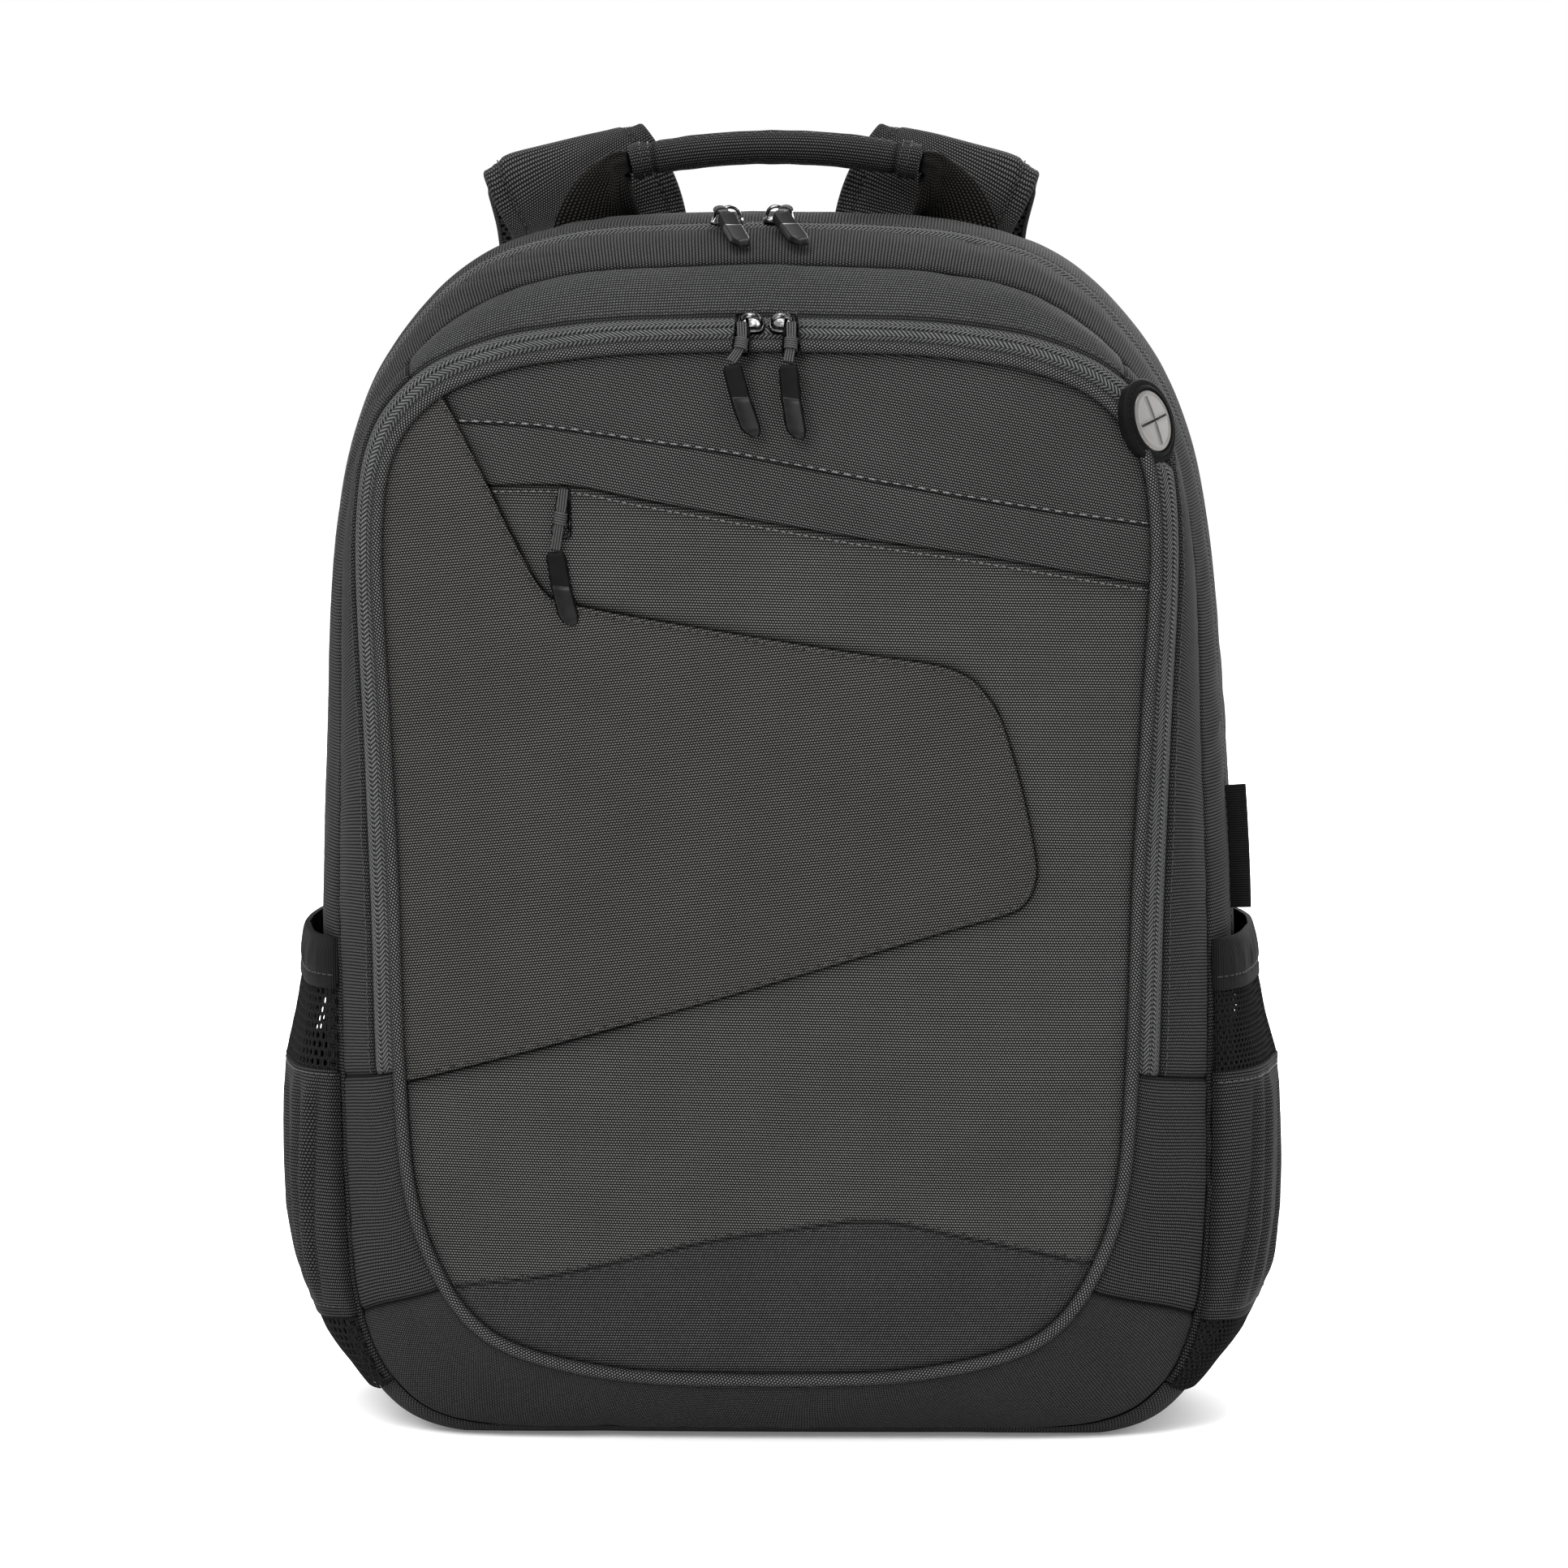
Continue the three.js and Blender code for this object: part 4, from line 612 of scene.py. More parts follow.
def arithmetic(operation, swapped=False):
    """A method for Wire that adds a Math node."""
    def method(wire, *others):
        values = (*others, wire) if swapped else (wire, *others)
        return wire.paint.node("ShaderNodeMath", {"operation": operation}, *values)
    return method


class Wire:
    """A shader socket whose arithmetic adds Math nodes."""

    def __init__(self, paint, socket):
        self.paint, self.socket = paint, socket

    __add__, __radd__ = arithmetic("ADD"), arithmetic("ADD", swapped=True)
    __sub__, __rsub__ = arithmetic("SUBTRACT"), arithmetic("SUBTRACT", swapped=True)
    __mul__, __rmul__ = arithmetic("MULTIPLY"), arithmetic("MULTIPLY", swapped=True)
    __truediv__, __pow__, __mod__ = arithmetic("DIVIDE"), arithmetic("POWER"), arithmetic("FLOORED_MODULO")
    __abs__, floor, fract = arithmetic("ABSOLUTE"), arithmetic("FLOOR"), arithmetic("FRACT")
    sine, above = arithmetic("SINE"), arithmetic("MAXIMUM")

    def between(self, low, high):
        """0 at low, 1 at high, smooth between; low may be the larger."""
        smooth = {"interpolation_type": "SMOOTHSTEP"}
        return self.paint.node("ShaderNodeMapRange", smooth, self, low, high, 0.0, 1.0)


class Paint:
    """Builds one procedural material."""

    def __init__(self, name, **fixed):
        self.material = bpy.data.materials.new(name)
        self.material.use_nodes = True
        self.tree = self.material.node_tree
        self.tree.nodes.clear()
        self.shader = self.tree.nodes.new("ShaderNodeBsdfPrincipled")
        output = self.tree.nodes.new("ShaderNodeOutputMaterial")
        self.tree.links.new(self.shader.outputs[0], output.inputs["Surface"])
        for socket, value in fixed.items():
            self.shader.inputs[socket.replace("_", " ")].default_value = value

    def feed(self, socket, value):
        if isinstance(value, Wire):
            self.tree.links.new(value.socket, socket)
        elif socket.type == "RGBA" and len(value) == 3:
            socket.default_value = (*value, 1)
        else:
            socket.default_value = value

    def node(self, kind, settings=None, *values, out=0, **named):
        node = self.tree.nodes.new(kind)
        for key, value in (settings or {}).items():
            setattr(node, key, value)
        for socket, value in zip(node.inputs, values):
            if value is not None:
                self.feed(socket, value)
        for key, value in named.items():
            self.feed(node.inputs[key.replace("_", " ")], value)
        return Wire(self, node.outputs[out])

    def split(self, vector):
        node = self.tree.nodes.new("ShaderNodeSeparateXYZ")
        self.feed(node.inputs[0], vector)
        return [Wire(self, socket) for socket in node.outputs]

    def cloth(self):
        """The cloth's own coordinates along and across, in millimetres."""
        along, across, _ = self.split(self.node("ShaderNodeUVMap", {"uv_map": "cloth"}))
        return along * 1000, across * 1000

    def solid(self):
        return self.node("ShaderNodeTexCoord", None, out=3)

    def clouds(self, scale, detail=3.0, vector=None, rough=0.55):
        return self.node("ShaderNodeTexNoise", None, vector or self.solid(), Scale=scale, Detail=detail,
                         Roughness=rough)

    def pair(self, x, y):
        return self.node("ShaderNodeCombineXYZ", None, x, y, 0.0)

    def chance(self, x, y):
        """One random value for each whole x and y."""
        return self.node("ShaderNodeTexWhiteNoise", {"noise_dimensions": "2D"}, Vector=self.pair(x, y))

    def mix(self, share, first, second):
        node = self.tree.nodes.new("ShaderNodeMix")
        node.data_type = "RGBA"
        self.feed(node.inputs[0], share)
        self.feed(node.inputs[6], first)
        self.feed(node.inputs[7], second)
        return Wire(self, node.outputs[2])

    def finish(self, tone, dark, light, height=None, depth=0.3, **varying):
        """Feeds the shader; height is from 0 to 1 and depth its size in millimetres."""
        colour = self.mix(tone, dark, light)
        shade = self.node("ShaderNodeAttribute", {"attribute_name": "shade"}, out=2)
        self.feed(self.shader.inputs["Base Color"], self.mix(shade, (0, 0, 0), colour))
        if height is not None:
            bump = self.node("ShaderNodeBump", None, Height=height, Strength=1.0, Distance=depth * MM)
            self.feed(self.shader.inputs["Normal"], bump)
        for socket, value in varying.items():
            self.feed(self.shader.inputs[socket.replace("_", " ")], value)
        return self.material


def dots(paint, across, up, size=(0.43, 0.4)):
    """Rows of rounded threads, each row shifted by half: the mask, and a chance for each thread."""
    row = up.floor()
    shifted = across + row * 0.5
    column = shifted.floor()
    x = shifted.fract() - 0.5
    y = up.fract() - 0.5
    gone = (x * x) / (size[0] ** 2) + (y * y) / (size[1] ** 2)
    return gone.between(1.25, 0.25), paint.chance(column, row)


def coarse_cloth(name, dark, light, turned=0.0, pitch=(1.04, 1.0), depth=0.3):
    """Two-tone cloth of thick yarns; its rows fall by the turned angle from left to right."""
    paint = Paint(name, Roughness=0.9, Specular_IOR_Level=0.06)
    along, across = paint.cloth()
    cos, sin = math.cos(math.radians(turned)), math.sin(math.radians(turned))
    drift = paint.clouds(46.0, 2.0)
    x = (along * cos - across * sin) / pitch[0] + (drift - 0.5) * 0.6
    y = (along * sin + across * cos) / pitch[1] + (drift - 0.5) * 0.4
    mask, chance = dots(paint, x, y)
    patchy = paint.clouds(30.0, 4.0)
    tone = mask * (0.9 + 0.1 * chance) * (0.82 + 0.36 * patchy)
    return paint.finish(tone, dark, light, mask, depth)


def fine_cloth(name, dark, light, pitch=(1.03, 0.8)):
    """Fine twill."""
    paint = Paint(name, Roughness=0.86, Specular_IOR_Level=0.08)
    along, across = paint.cloth()
    drift = paint.clouds(40.0, 2.0)
    x = (along + across * 0.2) / pitch[0] + (drift - 0.5) * 0.9
    mask, chance = dots(paint, x, across / pitch[1], (0.44, 0.4))
    patchy = paint.clouds(26.0, 4.0)
    tone = mask * (0.75 + 0.25 * chance) * (0.76 + 0.48 * patchy)
    return paint.finish(tone, dark, light, mask, 0.22)


def tape_cloth(name, dark, light):
    """Herringbone tape."""
    paint = Paint(name, Roughness=0.82, Specular_IOR_Level=0.1)
    along, across = paint.cloth()
    fold = abs((across / 5.6).fract() - 0.5) * 5.6
    rib = ((along + fold * 1.15) / 1.75).fract() - 0.5
    mask = abs(rib).between(0.42, 0.14)
    thread = ((across * 7.5 + along * 3.0).sine() * 0.5 + 0.5) * 0.35 + 0.65
    gap = abs(abs((across / 5.6).fract() - 0.5) - 0.25).between(0.25, 0.22)
    tone = mask * gap * thread * (0.8 + 0.4 * paint.clouds(60.0, 3.0))
    return paint.finish(tone, dark, light, mask * gap * thread, 0.42)


def air_mesh(name, dark, light, pitch=3.1):
    """Padded mesh with rows of small holes."""
    paint = Paint(name, Roughness=0.9, Specular_IOR_Level=0.05)
    along, across = paint.cloth()
    mask, _ = dots(paint, along / pitch, across / (0.8 * pitch), (0.36, 0.4))
    fibre = paint.clouds(900.0, 2.0)
    tone = (1 - mask) * (0.55 + 0.5 * fibre)
    return paint.finish(tone, dark, light, 1 - mask + fibre * 0.15, 0.8)


def bound_cloth(name, dark, light):
    """Ribbed binding tape."""
    paint = Paint(name, Roughness=0.85, Specular_IOR_Level=0.05)
    along, _ = paint.cloth()
    rib = (along / 0.9).fract() - 0.5
    mask = abs(rib).between(0.5, 0.1)
    tone = mask * (0.6 + 0.6 * paint.clouds(120.0, 3.0))
    return paint.finish(tone, dark, light, mask, 0.22)


def thread(name, dark, light):
    """Twisted sewing thread."""
    paint = Paint(name, Roughness=0.6, Specular_IOR_Level=0.35)
    along, across = paint.cloth()
    twist = ((along * 4.4 + across * 5.2).sine() * 0.5 + 0.5)
    tone = twist * (0.7 + 0.6 * paint.clouds(400.0, 2.0))
    return paint.finish(tone, dark, light, twist, 0.08)


def moulded(name, dark, light, rough=0.5, shine=0.06):
    """Satin rubber or plastic with faint scuffs."""
    paint = Paint(name, Specular_IOR_Level=shine)
    scuff = paint.clouds(240.0, 5.0)
    fine = paint.clouds(2600.0, 2.0)
    tone = scuff.between(0.35, 0.75)
    return paint.finish(tone, dark, light, fine, 0.03,
                        Roughness=rough + (scuff - 0.5) * 0.25)


def plated(name, dark, light, rough=0.22):
    """Polished blackened metal with small wear marks."""
    paint = Paint(name, Metallic=1.0)
    wear = paint.clouds(420.0, 4.0)
    tone = wear.between(0.4, 0.75)
    return paint.finish(tone, dark, light, paint.clouds(1500.0, 2.0), 0.015,
                        Roughness=rough + (wear - 0.5) * 0.2)


def brushed_disc(name, dark, light):
    """Satin silver coating."""
    paint = Paint(name, Metallic=0.75, Coat_Weight=0.1)
    grain = paint.clouds(1800.0, 3.0)
    stain = paint.clouds(140.0, 4.0)
    tone = grain * 0.5 + stain * 0.5
    return paint.finish(tone, dark, light, grain, 0.02, Roughness=0.34 + stain * 0.2)


def studio_floor(name, dark, light):
    """Plain pale floor."""
    paint = Paint(name, Roughness=0.9, Specular_IOR_Level=0.1, Emission_Strength=0.15)
    tone = paint.clouds(3.0, 2.0)
    return paint.finish(tone, dark, light)


def grey(value, warm=0.0):
    """A near-neutral colour from its brightness on screen, 0 to 255."""
    linear = ((value / 255 + 0.055) / 1.055) ** 2.4 if value > 10 else value / 255 / 12.92
    linear /= STUDIO_LIGHT
    return (linear * (1 + warm), linear, linear * (1 - warm))


def tone(label, colour):
    """A colour property for the lightest threads or faces of a finish."""
    return FloatVectorProperty(name=label, description="Lightest tone of this finish", subtype="COLOR", size=3,
                               min=0, max=1, default=colour)


class BackpackColours(bpy.types.PropertyGroup):
    """The lightest tone of each finish"""
    coarse: tone("Front cloth", grey(146, 0.015))
    coarse_top: tone("Top cloth", grey(132, 0.01))
    coarse_leaf: tone("Tongue cloth", grey(138, 0.03))
    coarse_side: tone("Side cloth", grey(110))
    coarse_strap: tone("Strap cloth", grey(122))
    coarse_dark: tone("Base cloth", grey(112))
    fine: tone("Insert cloth", grey(116))
    fine_dark: tone("Boot cloth", grey(100))
    twill: tone("Gusset twill", grey(122, -0.01))
    tape: tone("Zip tape", grey(158, -0.01))
    piping: tone("Piping", grey(156))
    net: tone("Pocket mesh", grey(50))
    binding: tone("Binding", grey(52))
    webbing: tone("Webbing", grey(84, 0.08))
    cord: tone("Cord", grey(96))
    pale_thread: tone("Pale thread", grey(176))
    grey_thread: tone("Grey thread", grey(104))
    dark_thread: tone("Dark thread", grey(34))
    air_mesh: tone("Padded mesh", grey(80))
    rubber: tone("Grip rubber", grey(24))
    # the grip's lower face: the grip rubber painted a little lighter, as where light falls on it, and made satin
    rubber_worn: tone("Grip face", grey(26))
    port_rubber: tone("Port rubber", grey(18))
    plastic: tone("Lock plastic", grey(40))
    gunmetal: tone("Sliders", grey(230))
    wire: tone("Wire frames", grey(70))
    disc: tone("Port disc", grey(225, 0.04))
    floor: tone("Floor", (0.96, 0.96, 0.96))


# Each finish: its kind, its darkest tone and its settings
FINISHES = {
    "coarse": (coarse_cloth, grey(14, 0.02), {"turned": 1}),
    "coarse_top": (coarse_cloth, grey(14, 0.01), {"turned": 12}),
    "coarse_leaf": (coarse_cloth, grey(14, 0.03), {"turned": -6.6}),
    "coarse_side": (coarse_cloth, grey(12), {"pitch": (1.04, 1.25)}),
    "coarse_strap": (coarse_cloth, grey(14), {"pitch": (1.1, 0.95)}),
    "coarse_dark": (coarse_cloth, grey(10), {"pitch": (1.3, 1.2)}),
    "fine": (fine_cloth, grey(8), {"pitch": (1.05, 1.0)}),
    "fine_dark": (fine_cloth, grey(10), {"pitch": (1.04, 0.85)}),
    "twill": (fine_cloth, grey(26), {"pitch": (1.1, 1.3)}),
    "tape": (tape_cloth, grey(24)),
    "piping": (coarse_cloth, grey(12), {"pitch": (1.15, 1.05), "depth": 0.4}),
    "net": (bound_cloth, grey(14)),
    "binding": (bound_cloth, grey(14)),
    "webbing": (coarse_cloth, grey(6, 0.04), {"pitch": (1.5, 1.3), "depth": 0.4}),
    "cord": (thread, grey(14, 0.02)),
    "pale_thread": (thread, grey(110)),
    "grey_thread": (thread, grey(44)),
    "dark_thread": (thread, grey(10)),
    "air_mesh": (air_mesh, grey(8)),
    "rubber": (moulded, grey(10), {"rough": 0.7}),
    # painted light: the grip rubber painted a little lighter for the lower face; its lower roughness makes it satin
    "rubber_worn": (moulded, grey(12), {"rough": 0.36, "shine": 0.12}),
    "port_rubber": (moulded, grey(6), {"rough": 0.7}),
    "plastic": (moulded, grey(18), {"shine": 0.25}),
    "gunmetal": (plated, grey(70), {"rough": 0.16}),
    "wire": (plated, grey(20), {"rough": 0.18}),
    "disc": (brushed_disc, grey(150, 0.04)),
    "floor": (studio_floor, (0.93, 0.93, 0.93)),
}
made = {}


def finish(name):
    """The material of that name, made once."""
    if name not in made:
        kind, dark, *more = FINISHES[name]
        light = tuple(getattr(bpy.context.scene.backpack_colours, name))
        made[name] = kind(name, dark, light, **(more[0] if more else {}))
    return made[name]


def hand_over(shape, name, finishes, slot, *nodes, fill=None):
    """Builds a piece, ties it to the body and hides the solids that it stands for; its material slot is not used."""
    piece = shape.build(name, [finish(key) for key in finishes.split()])
    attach(piece, "root")
    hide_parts(*nodes)


# Front panel

def on_front(table):
    return np.column_stack([table[:, 0] * FRONT_HALF, lerp(FRONT_FOOT, FRONT_TOP, table[:, 1])])


def front_plane(z):
    up = np.clip((z - FRONT_FOOT) / (FRONT_TOP - FRONT_FOOT), 0, 1)
    return depth_of(SECTIONS[0], up)


class FrontSheet:
    """The domed sheet inside the piping, seen from the front as a plane."""

    def __init__(self):
        turns = np.linspace(0, RING_TURNS, 1600, endpoint=False)
        rim = beside_piping(turns, -PIPING_RADIUS - CLEARANCE)
        angle = np.arctan2(rim[:, 2] - FRONT_MIDDLE, rim[:, 0])
        order = np.argsort(angle)
        self.angles, self.reach = angle[order], np.hypot(rim[:, 0], rim[:, 2] - FRONT_MIDDLE)[order]
        edge = beside_piping(turns, -1.0)
        self.rim = resample(np.vstack([edge[:, [0, 2]], edge[:1, [0, 2]]]), 1.5)[:-1]
        self.lines = {name: smooth_line(on_front(seam), 1.5) for name, seam in FRONT_SEAMS.items()}
        left = on_front(np.array([(-1.3, 1.2), (-0.95, 1.2)]))
        self.leaf_area = np.vstack([self.lines["leaf"], left])

    def depth(self, points):
        angle = np.arctan2(points[:, 1] - FRONT_MIDDLE, points[:, 0])
        reach = np.interp(angle, self.angles, self.reach, period=2 * math.pi)
        share = np.clip(np.hypot(points[:, 0], points[:, 1] - FRONT_MIDDLE) / reach, 0, 1.05)
        return front_plane(points[:, 1]) - FRONT_DOME * (1 - share ** 3)

    def panel_of(self, points):
        """Which panel each place belongs to."""
        x, z = points.T
        under = lambda name: z < np.interp(x, *self.lines[name].T)
        return np.select(
            [inside(points, self.leaf_area), under("insert"), ~under("flap_top"), ~under("flap_edge")],
            ["tongue_panel", "bottom_insert", "front_top_panel", "pocket_flap"], "front_panel")

    def triangles(self):
        """Points and triangles of the whole sheet, close together along the seams."""
        x, z = np.meshgrid(np.arange(-150, 150, 2.1), np.arange(22, 424, 2.1))
        x[::2] += 1.05
        rows = np.column_stack([x.ravel(), z.ravel()])
        rows = rows[inside(rows, self.rim)]
        close = distance_to_line(rows, np.vstack([self.rim, self.rim[:1]]))
        rows = rows[close > 4.2]
        beside = []
        for line in self.lines.values():
            rows = rows[distance_to_line(rows, line) > 4.4]
            tangent = unit(np.gradient(line, axis=0))
            normal = np.column_stack([-tangent[:, 1], tangent[:, 0]])
            beside += [line + off * normal for off in (-3.6, -2.7, -1.9, -1.2, -0.6, 0.6, 1.2, 1.9, 2.7, 3.6)]
        beside = np.vstack(beside)
        centre = np.array([0, FRONT_MIDDLE])
        hoops = [self.rim + inset * unit(centre - self.rim) for inset in (0.8, 1.7, 2.7, 3.6)]
        extra = np.vstack(hoops + [beside])
        extra = extra[inside(extra, self.rim)]
        fixed = [self.rim] + [line[inside(line, self.rim)] for line in self.lines.values()]
        kept = np.vstack(fixed)
        for line in self.lines.values():
            extra = extra[(distance_to_line(extra, line) > 0.5)]
        cells = np.round(extra / 0.55).astype(int)
        _, first = np.unique(cells, axis=0, return_index=True)
        points = np.vstack([kept, extra[np.sort(first)], rows])
        edges = [(i, (i + 1) % len(self.rim)) for i in range(len(self.rim))]
        start = len(self.rim)
        for line in fixed[1:]:
            edges += [(start + i, start + i + 1) for i in range(len(line) - 1)]
            start += len(line)
        made_points, _, faces, *_ = delaunay_2d_cdt([Vector(point) for point in points], edges, [], 0, 1e-4)
        plane = np.array([tuple(point) for point in made_points])
        faces = np.array([face[:] for face in faces])
        middles = plane[faces].mean(axis=1)
        held = inside(middles, self.rim)
        return plane, faces[held], self.panel_of(middles[held])

    def near(self, points):
        """Distances to each seam and to the rim."""
        lines = {**self.lines, "rim": np.vstack([self.rim, self.rim[:1]])}
        return {key: distance_to_line(points, line) for key, line in lines.items()}

    def relief(self, name, points):
        """How far each panel stands off the plain dome, towards the front."""
        near = self.near(points)
        soft = 0.9 * noise(points, 48, 1) + 0.3 * noise(points, 17, 2)
        fine = 0.05 * noise(points, 4, 3)
        lift = soft * ramp(near["rim"], 0, 30) + fine - 1.1 * bell(near["rim"], 2.6)
        pucker = lambda key, size, depth: depth * noise(
            np.column_stack([points[:, 0] / 5.2, points[:, 1] / 14]), 1, 7) * bell(near[key], size)
        if name == "front_top_panel":
            lift += 0.5 * ramp(near["flap_top"], 0, 9) - 0.6 * bell(near["flap_top"], 0.9)
            lift += pucker("flap_top", 6, 0.22) - 1.2 * bell(near["leaf"], 1.6)
        elif name == "pocket_flap":
            lift += -0.6 * bell(near["flap_top"], 0.9) + 1.5 * ramp(near["flap_edge"], -0.1, 0.7)
            lift += 0.35 * ramp(near["flap_top"], 0, 8) + pucker("flap_top", 6, 0.22)
            lift += 0.45 * noise(points[:, :1], 26, 9) * bell(near["flap_edge"], 12)
            lift -= 1.2 * bell(near["leaf"], 1.6)
        elif name == "front_panel":
            lift += -0.9 * bell(near["flap_edge"], 2.2) - 0.3 * bell(near["flap_edge"] - 2.6, 0.6)
            lift -= 1.1 * bell(near["leaf"], 1.5) + 0.8 * bell(near["insert"], 1.3)
            lift += pucker("leaf", 7, 0.25) + pucker("insert", 7, 0.25)
        elif name == "tongue_panel":
            lift += 1.3 * ramp(near["leaf"], -0.1, 1.0) - 0.3 * bell(near["leaf"] - 2.6, 0.7)
            lift += 0.35 * ramp(near["leaf"], 3, 16) + pucker("leaf", 6, 0.16)
        else:
            lift += 0.3 * ramp(near["insert"], 0, 5) - 0.9 * bell(near["insert"], 1.2)
            lift -= 0.28 * bell(near["insert"] - 2.4, 0.6) - pucker("insert", 8, 0.3)
        return lift

    def shade(self, name, points):
        """Painted shade in the seams and under the folded edges, uneven along them, and a painted highlight just
        inside the tongue's raised edge.
        """
        near = self.near(points)
        shade = 1 - 0.92 * bell(near["rim"], 2.2)
        # how deep the painted shade in the seams falls, uneven from place to place
        painted_shading = 0.8 + 0.2 * noise(points, 9, 17)
        if name == "tongue_panel":
            # the tongue: painted shade right at its edge and a painted highlight just inside it
            return shade * (1 - 0.6 * bell(near["leaf"], 0.45)) * (1 + 0.3 * bell(near["leaf"] - 1.3, 0.8))
        steep = 1 - 0.45 * ramp(points[:, 0], -60, -40)
        shade *= 1 - 0.85 * painted_shading * bell(near["leaf"], 0.8 + 0.35 * (steep > 0.8)) \
            - 0.3 * steep * bell(near["leaf"], 4.5) * (name != "bottom_insert")
        shade *= 1 - (0.55 if name in ("front_top_panel", "pocket_flap") else 0) * bell(near["flap_top"], 0.5)
        if name == "front_panel":
            shade *= 1 - 0.8 * painted_shading * bell(near["flap_edge"], 0.75) - 0.22 * bell(near["flap_edge"], 3.0)
        elif name == "pocket_flap":
            shade *= 1 - 0.4 * bell(near["flap_edge"], 0.4)
        return shade * (1 - 0.8 * painted_shading * bell(near["insert"], 0.75))

    def place(self, name, points):
        lift = self.relief(name, points)
        return np.column_stack([points[:, 0], self.depth(points) - lift, points[:, 1]])


FRONT_FINISH = {
    "front_top_panel": ("cloth", "coarse_top"), "pocket_flap": ("cloth", "coarse_top"),
    "front_panel": ("cloth", "coarse"), "tongue_panel": ("cloth", "coarse_leaf"),
    "bottom_insert": ("fine_cloth", "fine"),
}


def offset_line(line, distance):
    tangent = unit(np.gradient(line, axis=0))
    return line + distance * np.column_stack([-tangent[:, 1], tangent[:, 0]])


def make_front():
    sheet = FrontSheet()
    plane, faces, panels = sheet.triangles()
    pieces = {}
    for name, (slot, cloth) in FRONT_FINISH.items():
        own = faces[panels == name]
        used, local = np.unique(own, return_inverse=True)
        points = plane[used]
        shape = Shape()
        turned = local.reshape(-1, 3)[:, ::-1]
        shape.add(sheet.place(name, points), turned, points, shade=sheet.shade(name, points))
        pieces[name] = shape
    out = np.array([0, -1.0, 0])
    rows = (
        ("front_top_panel", "flap_top", 1.1, 1, 3.1, 4.7, 0.34), ("front_panel", "flap_edge", -2.6, 1, 2.0, 2.9, 0.27),
        ("tongue_panel", "leaf", -1.5, 2, 2.0, 3.0, 0.24), ("bottom_insert", "insert", -1.4, 2, 2.0, 3.0, 0.26),
        ("front_panel", "insert", 1.4, 2, 2.0, 3.0, 0.24),
    )
    for name, key, aside, colour, length, pitch, radius in rows:
        line = offset_line(sheet.lines[key], aside)
        held = inside(line, sheet.rim) & (sheet.panel_of(line) == name)
        runs = np.split(np.arange(len(line)), np.flatnonzero(np.diff(held.astype(int))) + 1)
        for run in runs:
            if held[run[0]] and len(run) > 4:
                stitches(pieces[name], sheet.place(name, line[run]), out, finish=colour, length=length, pitch=pitch,
                         radius=radius)
    for name, (slot, cloth) in FRONT_FINISH.items():
        hand_over(pieces[name], name + "_cloth", cloth + " pale_thread dark_thread", slot, name)


# Cloth strips of the body

